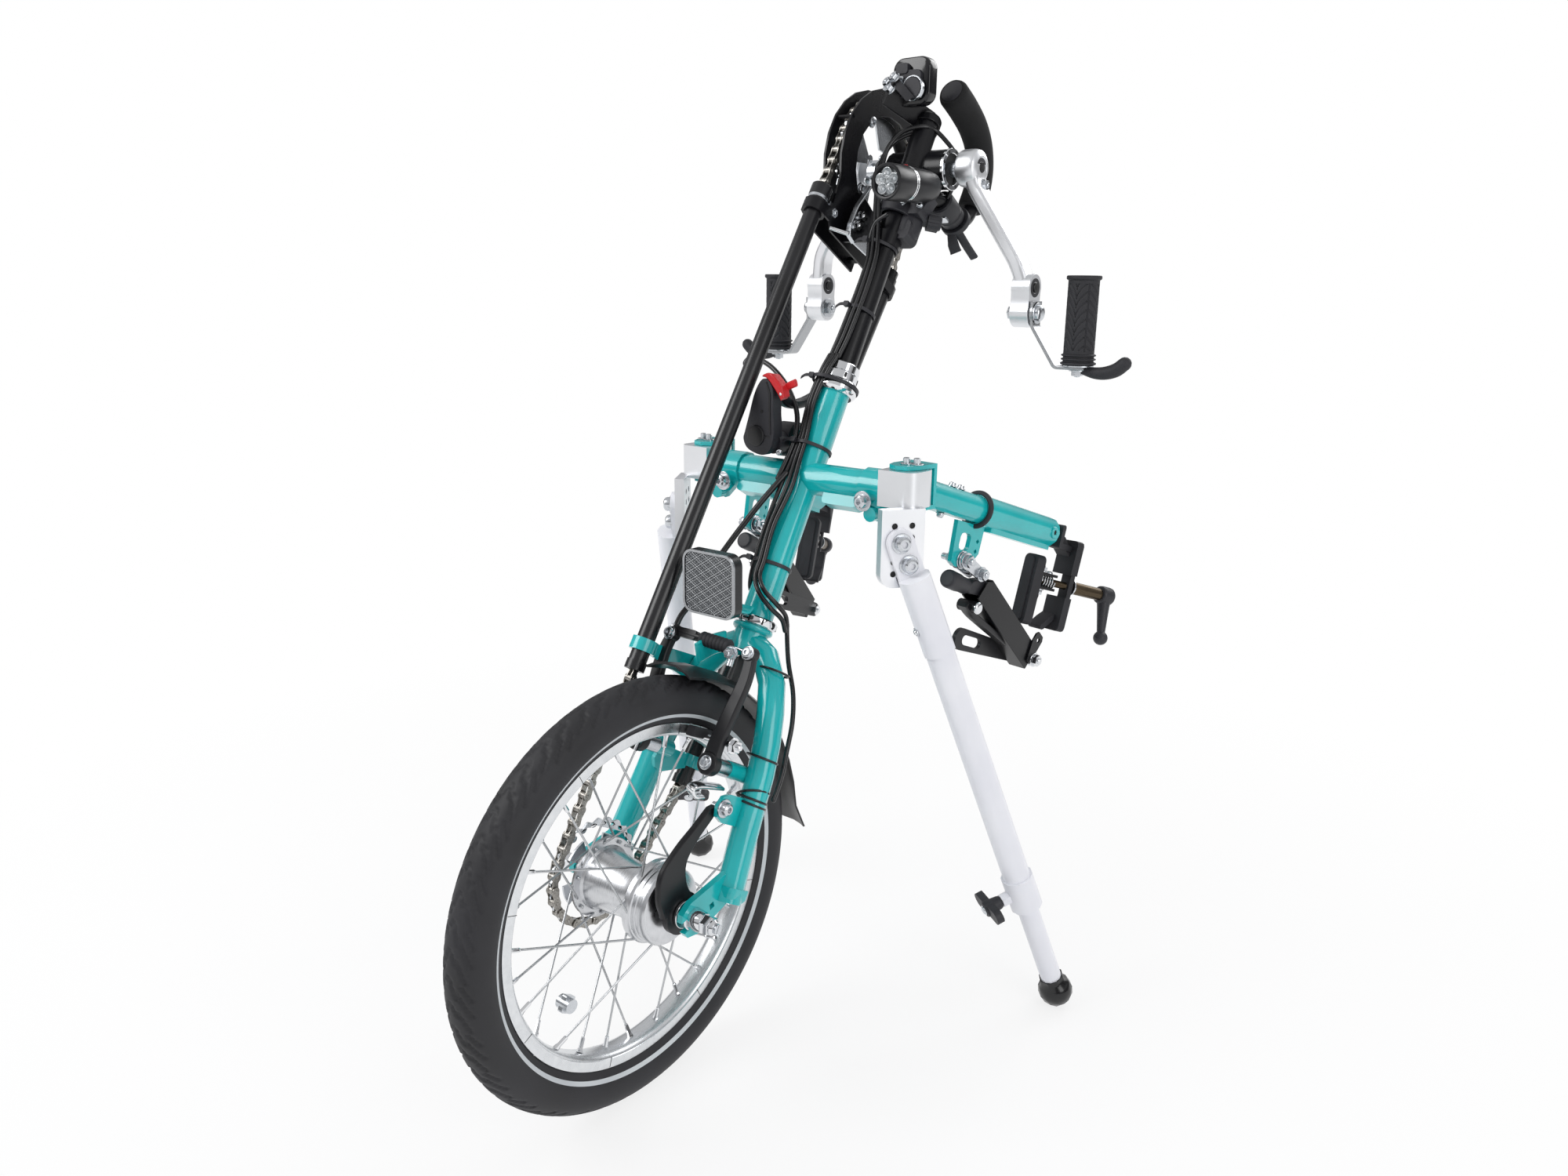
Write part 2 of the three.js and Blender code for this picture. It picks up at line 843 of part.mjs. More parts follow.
// Steerer and fork: crown, two curved blades, dropouts, brake bosses and the slotted lug
function fork() {
  const crownBottom = crownTop - crownDepth;
  const bodies = [
    rod(vec(0, 0, crownBottom), vec(0, 0, crownTop - gap), crownRadius),
    rod(vec(0, 0, crownBottom), vec(0, 0, upperCupTop + gap), steererRadius),
  ];
  const cuts = [];
  for (const side of [-1, 1]) {
    const centreLine = [
      vec(0, 0, crownTop - crownDepth / 2),
      vec(side * crownRadius, 0, crownBottom + crownDepth / 4),
      vec(side * shoulderX, 0, -shoulderDrop),
      vec(side * bladeMidX, 0, -bladeMidDrop),
      vec(side * (bladeMidX + bladeEndX) * 0.5, 0, -(bladeMidDrop + bladeEndDrop) * 0.5),
      vec(side * bladeEndX, 0, -bladeEndDrop),
    ];
    bodies.push(sweep(centreLine, forkBladeRadius, 9, roundSides));
    const dropout = link(
      [0, -bladeEndDrop + dropoutRadius],
      [wheelCentre.y, wheelCentre.z],
      dropoutRadius - dropoutThickness / 2,
      dropoutRadius,
    );
    const dropoutCentre = side * (dropoutX + dropoutThickness / 2);
    bodies.push(plate("x", dropout, dropoutThickness, dropoutCentre));
    const mouth = link(
      [wheelCentre.y, wheelCentre.z],
      [wheelCentre.y - dropoutRadius, wheelCentre.z - dropoutRadius],
      fit(axleRadius, smallSides),
    );
    cuts.push(plate("x", mouth, dropoutThickness * 2, dropoutCentre));
    const eyelet = disc(
      wheelCentre.y / 2,
      (wheelCentre.z - bladeEndDrop) / 2 + dropoutHoleRadius,
      dropoutHoleRadius,
    );
    cuts.push(plate("x", eyelet, dropoutThickness + gap, dropoutCentre));
    const bossRoot = vec(side * (bossX + bossRadius), 0, -bossDrop);
    const bossFace = vec(side * bossX, -bossReach, -bossDrop);
    bodies.push(rod(bossRoot, bossFace.clone().setY(-forkBladeRadius), bossRadius));
    bodies.push(rod(bossFace.clone().setY(-forkBladeRadius / 2), bossFace, bossRadius));
  }
  const strapSlot = roundedBox(mudTabWidth + gap * 2, crownDepth, gap);
  const strapPlace = new THREE.Matrix4().makeTranslation(0, 0, crownTop - crownDepth * 1.5);
  cuts.push(moved(plate("y", strapSlot, mudTabThickness + gap * 2, mudTabY), strapPlace));
  const lugShape = roundedBox(lugReach, lugHeight, lugHeight / 2 - gap);
  const lugMatrix = new THREE.Matrix4().makeTranslation(0, -lugReach / 2, -lugDrop);
  const slot = link([-lugReach * 0.36, 0], [-lugReach * 0.2, 0], lugSlotRadius);
  const tab = cut(plate("x", lugShape, lugThickness, lugX), plate("x", slot, lugThickness * 2, lugX));
  bodies.push(moved(tab, lugMatrix));
  for (const { top, bottom, forkDrop } of tubeEnds) {
    const eye = tubeEye(bottom, top);
    bodies.push(eye.ring);
    cuts.push(bore(bottom, top, fit(tubeOuter)));
    const tab = link([0, -forkDrop], [eye.middle.y, eye.middle.z], tubeTabRoot, tubeTabEnd);
    bodies.push(plate("x", tab, tubeTabThickness, chainX + tubeTabThickness / 2));
  }
  return cut(join(bodies), cuts);
}

// Eye that holds a chain tube just past the rings on one of its ends
function tubeEye(end, other) {
  const along = other.clone().sub(end).normalize();
  const from = end.clone().addScaledVector(along, tubeRingLength * 2 + gap * 2);
  const to = from.clone().addScaledVector(along, tubeEyeWidth);
  return { ring: rod(from, to, tubeRingRadius + tubeEyeWall), middle: from.clone().lerp(to, 0.5) };
}

// Mast with its capped top, the locknut collar at its foot and the crank bearing shell
function mast() {
  const foot = upperCupTop + gap * 2;
  const tube = rod(vec(0, 0, foot), vec(0, 0, mastTop), mastRadius);
  const cap = rod(
    vec(0, 0, mastTop - mastCapHeight),
    vec(0, 0, mastTop + mastCapHeight / 4),
    mastCapRadius,
    mastCapRadius * 0.86,
  );
  const collar = join(
    rod(vec(0, 0, foot), vec(0, 0, foot + locknutHeight * 0.35), locknutRadius + gap),
    rod(vec(0, 0, foot), vec(0, 0, foot + locknutHeight), locknutRadius - gap),
  );
  const shellProfile = [
    [spindleBore, cupRecess - shellHalfWidth],
    [shellRadius * 0.82, -shellHalfWidth],
    [shellRadius, -shellHalfWidth],
    [shellRadius, shellHalfWidth],
    [shellRadius * 0.82, shellHalfWidth],
    [spindleBore, shellHalfWidth - cupRecess],
  ];
  const shell = revolve("x", shellProfile);
  const place = new THREE.Matrix4().makeTranslation(0, bracketCentre.y, bracketCentre.z);
  const through = bore(
    vec(-shellHalfWidth, bracketCentre.y, bracketCentre.z),
    vec(shellHalfWidth, bracketCentre.y, bracketCentre.z),
    spindleBore,
    fineSides,
  );
  return cut(join(tube, cap, collar, moved(shell, place)), through);
}

steered.add(part("mast", mast(), blackPaint()));

// Wheel: everything here turns about the axle
const wheel = new THREE.Group();
wheel.position.copy(wheelCentre);
steered.add(wheel);

function tyre() {
  const profile = [[beadRadius, -beadHalfWidth]];
  const middle = (tyreRadius + beadRadius) / 2;
  const halfHeight = (tyreRadius - beadRadius) / 2;
  for (let i = 0; i <= wheelArcSteps; i++) {
    const angle = -Math.PI * 0.68 + (Math.PI * 1.36 * i) / wheelArcSteps;
    profile.push([middle + halfHeight * Math.cos(angle), tyreHalfWidth * Math.sin(angle)]);
  }
  profile.push([beadRadius, beadHalfWidth]);
  return revolve("x", profile, wheelSides);
}

function rim() {
  const profile = [
    [rimInnerRadius, -rimFloorHalfWidth / 2],
    [rimWellRadius, -rimHalfWidth],
    [rimOuterRadius, -rimHalfWidth],
    [rimWellRadius, rimLip * 2 - rimHalfWidth],
    [rimWellRadius, rimHalfWidth - rimLip * 2],
    [rimOuterRadius, rimHalfWidth],
    [rimWellRadius, rimHalfWidth],
    [rimInnerRadius, rimFloorHalfWidth / 2],
  ];
  return revolve("x", profile, wheelSides);
}

function hubAndSpokes() {
  const shell = revolve(
    "x",
    [
      [hubBore, driverEndX],
      [driverRadius, driverEndX],
      [driverRadius, farFlangeX - flangeThickness],
      [flangeRadius, farFlangeX - flangeThickness],
      [flangeRadius, farFlangeX],
      [hubWaistRadius, (farFlangeX + nearFlangeX) / 2],
      [hubShellRadius, nearFlangeX - flangeThickness],
      [flangeRadius, nearFlangeX],
      [flangeRadius, nearFlangeX + flangeThickness],
      [drumRadius, nearFlangeX + flangeThickness * 2],
      [drumRadius, drumEndX - flangeThickness],
      [drumRadius - flangeThickness, drumEndX],
      [hubBore, drumEndX],
    ],
    roundSides,
  );
  const bodies = [shell];
  for (let i = 0; i < spokeCount; i++) {
    const near = i % 2 === 0;
    const leading = i % 4 < 2;
    const rimAngle = (i / spokeCount) * Math.PI * 2;
    const hubAngle = rimAngle + (leading ? 1 : -1) * spokeCrossShare * Math.PI * 2;
    const flangeX = near ? nearFlangeX + flangeThickness / 2 : farFlangeX - flangeThickness / 2;
    const seatX = flangeX + (leading ? 0.5 : -0.5) * flangeThickness;
    const holeRadius = flangeRadius - spokeHoleInset;
    const root = vec(seatX, holeRadius * Math.cos(hubAngle), holeRadius * Math.sin(hubAngle));
    const reach = (rimInnerRadius - gap) * Math.cos(Math.PI / wheelSides);
    const tip = vec(0, reach * Math.cos(rimAngle), reach * Math.sin(rimAngle));
    bodies.push(rod(root, tip, spokeRadius, spokeRadius, spokeSides));
  }
  return join(bodies);
}

wheel.add(part("tyre", tyre(), rubber()));
wheel.add(part("rim", rim(), anodised()));
wheel.add(part("hub_and_spokes", hubAndSpokes(), steel()));

function axle() {
  const tip = axleTipX;
  const nutFrom = dropoutX + dropoutThickness + gap;
  const cone = dropoutX - gap;
  const half = [
    [axleRadius, drumEndX + gap],
    [axleRadius, reactionX + reactionThickness + gap],
    [axleNutRadius, reactionX + reactionThickness + gap],
    [axleNutRadius, cone],
    [axleRadius, cone],
    [axleRadius, nutFrom],
    [axleFlangeRadius, nutFrom],
    [axleFlangeRadius, nutFrom + axleFlangeThickness],
    [axleNutRadius, nutFrom + axleFlangeThickness],
    [axleNutRadius, tip - axleNutRadius / 2],
    [axleNutRadius * 0.6, tip],
  ];
  const near = half.map(([radius, x]) => [radius, x]);
  const far = half.map(([radius, x]) => [radius, -x]).reverse();
  return revolve("x", [[0, -tip], ...far, ...near, [0, tip]], smallSides);
}

const axleGroup = new THREE.Group();
axleGroup.position.copy(wheelCentre);
steered.add(axleGroup);
axleGroup.add(part("axle", axle(), chrome()));

// Arm that holds the hub brake against the slotted lug
function reactionArm() {
  const hub = [wheelCentre.y, wheelCentre.z];
  const tip = [-lugReach * 0.78, -lugDrop - reactionTipRadius];
  const elbow = [hub[0] * 0.88, hub[1] * 0.84 + tip[1] * 0.16];
  const middle = reactionX + reactionThickness / 2;
  const arm = join(
    plate("x", link(hub, elbow, reactionHubRadius, reactionTipRadius * 1.6), reactionThickness, middle),
    plate("x", link(elbow, tip, reactionTipRadius * 1.6, reactionTipRadius), reactionThickness, middle),
  );
  const hole = bore(
    vec(reactionX, hub[0], hub[1]),
    vec(reactionX + reactionThickness, hub[0], hub[1]),
    hubBore,
  );
  const boltAt = vec(reactionX, tip[0], -lugDrop);
  const bolt = rod(
    boltAt,
    vec(lugX + lugThickness + reactionThickness, tip[0], -lugDrop),
    lugSlotRadius - gap,
  );
  const headFrom = vec(lugX + lugThickness / 2 + gap, tip[0], -lugDrop);
  const head = rod(headFrom, headFrom.clone().add(vec(reactionThickness, 0, 0)), reactionTipRadius * 0.8);
  return join(cut(arm, hole), bolt, head);
}

steered.add(part("hub_brake_arm", reactionArm(), blackPaint()));

// Chain drive. Both toothed plates stand with a roller seat where the front run leaves them.
const ringPitchRadius = pitch / (2 * Math.sin(Math.PI / ringTeeth));
const sprocketPitchRadius = pitch / (2 * Math.sin(Math.PI / sprocketTeeth));
const ringCentre = new THREE.Vector2(bracketCentre.y, bracketCentre.z);
const sprocketCentre = new THREE.Vector2(wheelCentre.y, wheelCentre.z);
const centres = sprocketCentre.clone().sub(ringCentre);
const frontLean = Math.asin((ringPitchRadius - sprocketPitchRadius) / centres.length());
const frontAngle = Math.atan2(centres.y, centres.x) - Math.PI / 2 + frontLean;

function toothedOutline(teeth, pitchRadius, seatAngle) {
  const points = [];
  const step = (Math.PI * 2) / teeth;
  const seatHalf = (rollerSeat * 0.6) / pitchRadius;
  for (let i = 0; i < teeth; i++) {
    const at = seatAngle + i * step;
    points.push([pitchRadius + toothTip, at - step * 0.6]);
    points.push([pitchRadius - rollerSeat, at - seatHalf]);
    points.push([pitchRadius - rollerSeat, at + seatHalf]);
    points.push([pitchRadius + toothTip, at + step * 0.4]);
  }
  return outline(points.map(([radius, angle]) => [radius * Math.cos(angle), radius * Math.sin(angle)]));
}

function chainring() {
  const shape = toothedOutline(ringTeeth, ringPitchRadius, frontAngle);
  const bandInner = ringPitchRadius * ringBandShare;
  for (let i = 0; i < ringArms; i++) {
    const from = ((i + 0.17) / ringArms) * Math.PI * 2;
    const to = ((i + 0.83) / ringArms) * Math.PI * 2;
    const window = new THREE.Path();
    window.absarc(0, 0, bandInner, from, to);
    window.absarc(0, 0, ringBossRadius * 1.5, to - 0.25, from + 0.25, true);
    shape.holes.push(window);
  }
  const body = plate("x", shape, toothThickness, 0, 2);
  const boss = rod(vec(-ringBossHalf, 0, 0), vec(ringBossHalf, 0, 0), ringBossRadius);
  const through = bore(vec(-ringBossHalf, 0, 0), vec(ringBossHalf, 0, 0), spindleRadius + gap);
  return cut(join(body, boss), through);
}

const ringGroup = new THREE.Group();
ringGroup.position.set(chainX, bracketCentre.y, bracketCentre.z);
steered.add(ringGroup);
ringGroup.add(part("chainring", chainring(), steel()));

function sprocket() {
  const shape = toothedOutline(sprocketTeeth, sprocketPitchRadius, frontAngle);
  for (let i = 0; i < sprocketHoles; i++) {
    const at = (i / sprocketHoles) * Math.PI * 2;
    const half = 0.24;
    const window = new THREE.Path();
    window.absarc(0, 0, sprocketHoleCircle + sprocketHoleRadius / 2, at - half, at + half);
    window.absarc(0, 0, sprocketHoleCircle - sprocketHoleRadius / 2, at + half, at - half, true);
    shape.holes.push(window);
  }
  const body = plate("x", shape, toothThickness, 0, 1);
  const bossTo = driverEndX - chainX - gap;
  const boss = rod(vec(-toothThickness, 0, 0), vec(bossTo, 0, 0), sprocketBossRadius);
  const through = bore(vec(-toothThickness, 0, 0), vec(bossTo, 0, 0), hubBore);
  return cut(join(body, boss), through);
}

const sprocketGroup = new THREE.Group();
sprocketGroup.position.set(chainX, wheelCentre.y, wheelCentre.z);
steered.add(sprocketGroup);
sprocketGroup.add(part("sprocket", sprocket(), steel()));

// Chain: pins on the two pitch circles and along the runs, waisted side plates joined by the rollers where it
// shows, and a plain run through the tubes
function chainPins() {
  const wrap = (centre, radius, teeth, way, pins) =>
    Array.from({ length: pins + 1 }, (_, i) => {
      const angle = frontAngle + (way * i * Math.PI * 2) / teeth;
      return [centre.x + radius * Math.cos(angle), centre.y + radius * Math.sin(angle)];
    });
  const run = (from, to) => {
    const [dy, dz] = [to[0] - from[0], to[1] - from[1]];
    const count = Math.floor(Math.hypot(dy, dz) / pitch);
    const share = pitch / Math.hypot(dy, dz);
    return Array.from(
      { length: count },
      (_, i) => [from[0] + dy * share * (i + 1), from[1] + dz * share * (i + 1)],
    );
  };
  const overTop = wrap(ringCentre, ringPitchRadius, ringTeeth, -1, ringWrap);
  const ringRear = overTop[overTop.length - 1];
  const under = wrap(sprocketCentre, sprocketPitchRadius, sprocketTeeth, 1, sprocketWrap);
  const sprocketRear = under[under.length - 1];
  const tubeFront = frontTubeLine();
  const frontTop = run(overTop[0], [tubeFront.top.y, tubeFront.top.z]);
  const rearTop = run(ringRear, [rearTubeTopY, rearTubeTop]);
  const frontLow = run(under[0], [tubeFront.bottom.y, tubeFront.bottom.z]);
  const rearLow = run(sprocketRear, [rearTubeBottomY, rearTubeBottom]);
  return {
    upper: [...frontTop.reverse(), ...overTop, ...rearTop],
    lower: [...frontLow.reverse(), ...under, ...rearLow],
  };
}

function frontTubeLine() {
  const direction = new THREE.Vector2(-Math.sin(frontAngle), Math.cos(frontAngle));
  const contact = vec(
    chainX,
    ringCentre.x + ringPitchRadius * Math.cos(frontAngle),
    ringCentre.y + ringPitchRadius * Math.sin(frontAngle),
  );
  const at = (z) => vec(chainX, contact.y + (direction.x * (z - contact.z)) / direction.y, z);
  return { top: at(frontTubeTop), bottom: at(frontTubeBottom) };
}

function linkBand(stretch, side) {
  const above = [];
  const below = [];
  const place = (list, [y, z], along, half) =>
    list.push([y - Math.sin(along) * half, z + Math.cos(along) * half]);
  stretch.forEach((pin, i) => {
    const before = stretch[Math.max(i - 1, 0)];
    const after = stretch[Math.min(i + 1, stretch.length - 1)];
    const along = Math.atan2(after[1] - before[1], after[0] - before[0]);
    place(above, pin, along, linkHalfHeight);
    place(below, pin, along, -linkHalfHeight);
    if (i + 1 === stretch.length) return;
    const waist = [(pin[0] + after[0]) / 2, (pin[1] + after[1]) / 2];
    const slope = Math.atan2(after[1] - pin[1], after[0] - pin[0]);
    place(above, waist, slope, linkWaistHalf);
    place(below, waist, slope, -linkWaistHalf);
  });
  const middle = chainX + (side * (innerPlateFrom + outerPlateTo)) / 2;
  return plate("x", outline([...above, ...below.reverse()]), outerPlateTo - innerPlateFrom, middle);
}

function chain() {
  const pins = chainPins();
  const bodies = [];
  const seat = innerPlateFrom + weldDepth / 2;
  for (const stretch of [pins.upper, pins.lower]) {
    bodies.push(linkBand(stretch, -1), linkBand(stretch, 1));
    const seen = (i) => i % 2 === 0 || i + rollerSpan > stretch.length || i < rollerSpan;
    for (const [y, z] of stretch.filter((_, i) => seen(i)))
      bodies.push(
        rod(vec(chainX - seat, y, z), vec(chainX + seat, y, z), rollerRadius, rollerRadius, rollerSides),
      );
  }
  const first = (list) => vec(chainX, list[0][0], list[0][1]);
  const last = (list) => vec(chainX, list[list.length - 1][0], list[list.length - 1][1]);
  bodies.push(rod(first(pins.upper), first(pins.lower), hiddenRunHalf, hiddenRunHalf, linkSides));
  bodies.push(rod(last(pins.upper), last(pins.lower), hiddenRunHalf, hiddenRunHalf, linkSides));
  return wasm.Manifold.union(bodies);
}

steered.add(part("drive_chain", chain(), steel()));

// The two tubes that the chain runs through, each with end rings
function chainTube(top, bottom) {
  const down = bottom.clone().sub(top).normalize();
  const at = (point, distance) => point.clone().addScaledVector(down, distance);
  const outer = join(
    rod(top, bottom, tubeOuter),
    rod(at(top, tubeRingLength), at(top, tubeRingLength * 2), tubeRingRadius),
    rod(at(bottom, -tubeRingLength), bottom, tubeRingRadius),
  );
  return cut(outer, bore(top, bottom, tubeInner, smallSides));
}

const frontLine = frontTubeLine();
steered.add(part("chain_tube_front", chainTube(frontLine.top, frontLine.bottom), blackPlastic()));
const rearTop = vec(chainX, rearTubeTopY, rearTubeTop);
const rearBottom = vec(chainX, rearTubeBottomY, rearTubeBottom);
steered.add(part("chain_tube_rear", chainTube(rearTop, rearBottom), blackPlastic()));
const tubeEnds = [
  { top: frontLine.top, bottom: frontLine.bottom, forkDrop: frontTabDrop, guardY: guardFrontY },
  { top: rearTop, bottom: rearBottom, forkDrop: rearTabDrop, guardY: guardRearY },
];
steered.add(part("fork", fork(), teal()));

// Guard: two crescents either side of the chainring, held apart by spacers and strapped to the mast
function chainGuard() {
  const [y, z] = [bracketCentre.y, bracketCentre.z];
  const floor = z - guardFloor;
  const half = guardHalfGap + guardThickness / 2;
  const openAngle = Math.PI * 0.2;
  const plates = [-1, 1].map((side) => {
    const shape = new THREE.Shape();
    shape.absarc(y, z, guardRadius, openAngle, Math.PI * 1.2);
    shape.lineTo(guardFrontY, floor + guardLip);
    shape.lineTo(guardFrontY + guardLip, floor);
    shape.lineTo(guardRearY, floor);
    shape.lineTo(guardRearY, floor + guardLip * 2);
    shape.lineTo(y + guardLip, z - guardInner);
    shape.absarc(y, z, guardInner, Math.PI * 1.5, openAngle, true);
    return plate("x", shape, guardThickness, chainX + side * half, linkSides);
  });
  const spacerRadiusAt = (guardRadius + ringPitchRadius + toothTip) / 2;
  const places = [0.3, 0.62, 0.95].map((share) => [
    y + spacerRadiusAt * Math.cos(share * Math.PI),
    z + spacerRadiusAt * Math.sin(share * Math.PI),
  ]);
  const reach = half + guardThickness;
  const spacers = places.map(([sy, sz]) =>
    rod(
      vec(chainX - reach, sy, sz),
      vec(chainX + reach, sy, sz),
      spacerRadius / 2,
      spacerRadius / 2,
      cableSides,
    ),
  );
  const footY = guardRearY - guardLip;
  const footZ = floor + guardLip;
  const foot = rod(
    vec(chainX - half, footY, footZ),
    vec(chainX + half, footY, footZ),
    spacerRadius,
    spacerRadius,
    cableSides,
  );
  const inside = mastRadius + gap;
  const strapShape = outline([
    [chainX + half, floor + overrun],
    [0, floor + overrun],
    [0, floor + bandHeight],
    [chainX + half + guardThickness, floor + strapHeight],
    [chainX + half, floor + strapHeight],
  ]);
  const strap = plate("y", strapShape, guardThickness, -mastRadius);
  const band = pipe(
    vec(0, 0, floor + overrun),
    vec(0, 0, floor + bandHeight),
    inside + guardThickness,
    inside,
  );
  const mastBore = bore(vec(0, 0, floor), vec(0, 0, floor + strapHeight), inside);
  const holders = tubeEnds.map(({ top, bottom, guardY }) => {
    const eye = tubeEye(top, bottom);
    const arm = link(
      [guardY + Math.sign(-guardY) * guardLip, floor + guardEyeDrop],
      [eye.middle.y, eye.middle.z],
      guardLip,
      tubeTabEnd,
    );
    const inner = plate("x", arm, guardThickness, chainX + half);
    return cut(join(eye.ring, inner), bore(top, bottom, fit(tubeOuter)));
  });
  return join(plates, spacers, foot, holders, cut(join(strap, band), mastBore));
}

steered.add(part("chain_guard", chainGuard(), blackPaint()));

// Cranks hang straight down, so their group stands upright
const cranks = new THREE.Group();
cranks.position.copy(bracketCentre);
cranks.rotation.x = headLean;
steered.add(cranks);

function crankArm(side, bossX, bossWidth, kneeX, elbowX, elbowDrop) {
  const centreLine = [
    [kneeX, 0],
    [kneeX, -crankKneeDrop],
    [elbowX, -elbowDrop],
    [crankPivotX, -crankHoleDrop],
    [crankPivotX, -crankPivotDrop],
  ];
  const bodies = [rod(vec(side * bossX, 0, 0), vec(side * (bossX + bossWidth), 0, 0), crankBossRadius)];
  const half = crankBarThickness / 2;
  for (let i = 0; i + 1 < centreLine.length; i++) {
    const segment = link(centreLine[i], centreLine[i + 1], half);
    const bar = plate("y", segment, crankBarWidth, 0);
    bodies.push(side > 0 ? bar : moved(bar, new THREE.Matrix4().makeScale(-1, 1, 1)));
  }
  const ends = [-crankHoleDrop, -crankPivotDrop].map((z) => [0, z]);
  const endMiddle = side * crankPivotX;
  bodies.push(plate("x", link(ends[0], ends[1], crankEndRadius), crankEndWidth, endMiddle));
  const holes = ends.map(([y, z], i) =>
    bore(
      vec(endMiddle - crankEndWidth / 2, y, z),
      vec(endMiddle + crankEndWidth / 2, y, z),
      i === 0 ? bearingBore : fit(gripBoltRadius, smallSides),
      smallSides,
    ),
  );
  return cut(join(bodies), holes);
}

const leftArm = crankArm(1, leftBossX, leftBossWidth, crankKneeX, crankElbowX, crankElbowDrop);
const leftEye = bore(vec(leftBossX, 0, 0), vec(leftBossX + leftBossWidth / 2, 0, 0), spindleRadius + gap);
cranks.add(part("left_crank", cut(leftArm, leftEye), anodised()));

const rightKneeX = rightBossX + rightBossWidth / 2;
const rightArm = crankArm(-1, rightBossX, rightBossWidth, rightKneeX, rightElbowX, rightElbowDrop);
const spindleEnd = leftBossX + leftBossWidth / 2;
const spindle = rod(vec(-rightBossX - weldDepth, 0, 0), vec(spindleEnd, 0, 0), spindleRadius);
cranks.add(part("right_crank", join(rightArm, spindle), anodised()));

// Grips hang from the crank ends on cranked steel strips
function gripBracket(side) {
  const faceX = crankPivotX + crankEndWidth / 2 + gap;
  const stripX = faceX + stripThickness / 2;
  const pivotZ = -crankPivotDrop;
  const elbowZ = pivotZ - stripElbowDrop;
  const line = [
    [stripX, pivotZ + stripWidth / 2],
    [stripX, pivotZ - stripWidth * 0.6],
    [stripElbowX, elbowZ],
    [gripX + stripWidth / 2, elbowZ],
  ];
  const bodies = [];
  for (let i = 0; i + 1 < line.length; i++)
    bodies.push(plate("y", link(line[i], line[i + 1], stripThickness / 2), stripWidth, 0));
  const boltFrom = vec(crankPivotX - crankEndWidth / 2 - gap * 2, 0, pivotZ);
  const boltTo = vec(stripX + stripThickness, 0, pivotZ);
  bodies.push(rod(boltFrom, boltTo, gripBoltRadius, gripBoltRadius, smallSides));
  bodies.push(
    rod(
      vec(stripX, 0, pivotZ),
      boltTo.clone().add(vec(stripThickness, 0, 0)),
      gripBoltHeadRadius,
      gripBoltHeadRadius,
      smallSides,
    ),
  );
  const nutTo = boltFrom.clone().sub(vec(stripThickness, 0, 0));
  bodies.push(
    rod(nutTo, boltFrom.clone().add(vec(gap, 0, 0)), gripBoltHeadRadius, gripBoltHeadRadius, linkSides),
  );
  const hookFrom = vec(gripX + stripWidth * 0.3, 0, elbowZ + stripThickness / 2 - hookRadius * 0.8);
  const hook = [
    hookFrom,
    hookFrom.clone().add(vec(hookReach * 0.35, 0, 0)),
    hookFrom.clone().add(vec(hookReach * 0.7, 0, hookRise * 0.3)),
    hookFrom.clone().add(vec(hookReach, 0, hookRise)),
  ];
  bodies.push(sweep(hook, hookRadius * 0.8, 4, smallSides));
  bodies.push(ball(hook[3], hookRadius * 0.9, smallSides));
  const bolt = join(bodies);
  return side > 0 ? bolt : moved(bolt, new THREE.Matrix4().makeScale(-1, 1, 1));
}

function grip(side) {
  const bottom = -crankPivotDrop - stripElbowDrop + stripThickness / 2 + gap;
  const top = bottom + gripLength;
  const profile = [[0, bottom]];
  const ringHeight = gripFlangeThickness;
  for (let i = 0; i < gripRings; i++) {
    const z = bottom + i * ringHeight * 1.7;
    profile.push([gripFlangeRadius, z]);
    profile.push([gripFlangeRadius, z + ringHeight]);
    profile.push([gripRadius, z + ringHeight]);
    profile.push([gripRadius, z + ringHeight * 1.7]);
  }
  profile.push([gripRadius, top - ringHeight]);
  profile.push([gripFlangeRadius, top - ringHeight]);
  profile.push([gripFlangeRadius, top]);
  profile.push([0, top]);
  const body = revolve("z", profile, roundSides);
  return moved(body, new THREE.Matrix4().makeTranslation(side * gripX, 0, 0));
}

cranks.add(part("left_grip_bracket", gripBracket(1), steel()));
cranks.add(part("right_grip_bracket", gripBracket(-1), steel()));
cranks.add(part("left_grip", grip(1), rubber()));
cranks.add(part("right_grip", grip(-1), rubber()));

// Rim brake arms: a curved lever on each boss, with its pad, stud and bolt heads
function brakeArm(side) {
  const pivot = [bossX, -bossDrop];
  const belly = [brakeArmBelly, -(bossDrop + brakeArmTopDrop) * 0.52];
  const top = [brakeArmTopX, -brakeArmTopDrop];
  const width = brakeArmWidth / 2;
  const bodies = [
    plate("y", link(pivot, belly, width * 1.25, width), brakeArmThickness, brakeArmY),
    plate("y", link(belly, top, width, width * 0.8), brakeArmThickness, brakeArmY),
  ];
  const front = brakeArmY - brakeArmThickness / 2;
  for (const [x, z] of [pivot, top])
    bodies.push(
      rod(
        vec(x, front - brakeBoltLength, z),
        vec(x, brakeArmY, z),
        brakeBoltRadius,
        brakeBoltRadius,
        linkSides,
      ),
    );
  const padZ = wheelCentre.z + brakePadRadius;
  const pad = plate(
    "x",
    roundedBox(brakePadHalf * 2, brakePadHeight, brakePadHeight * 0.3),
    brakePadDepth,
    0,
  );
  const padX = brakePadFace + brakePadDepth / 2;
  bodies.push(moved(pad, new THREE.Matrix4().makeTranslation(padX, wheelCentre.y, padZ)));
  bodies.push(rod(vec(padX, brakeArmY, padZ), vec(bossX + width * 2, brakeArmY, padZ), brakeStudRadius));
  const arm = join(bodies);
  return side > 0 ? arm : moved(arm, new THREE.Matrix4().makeScale(-1, 1, 1));
}

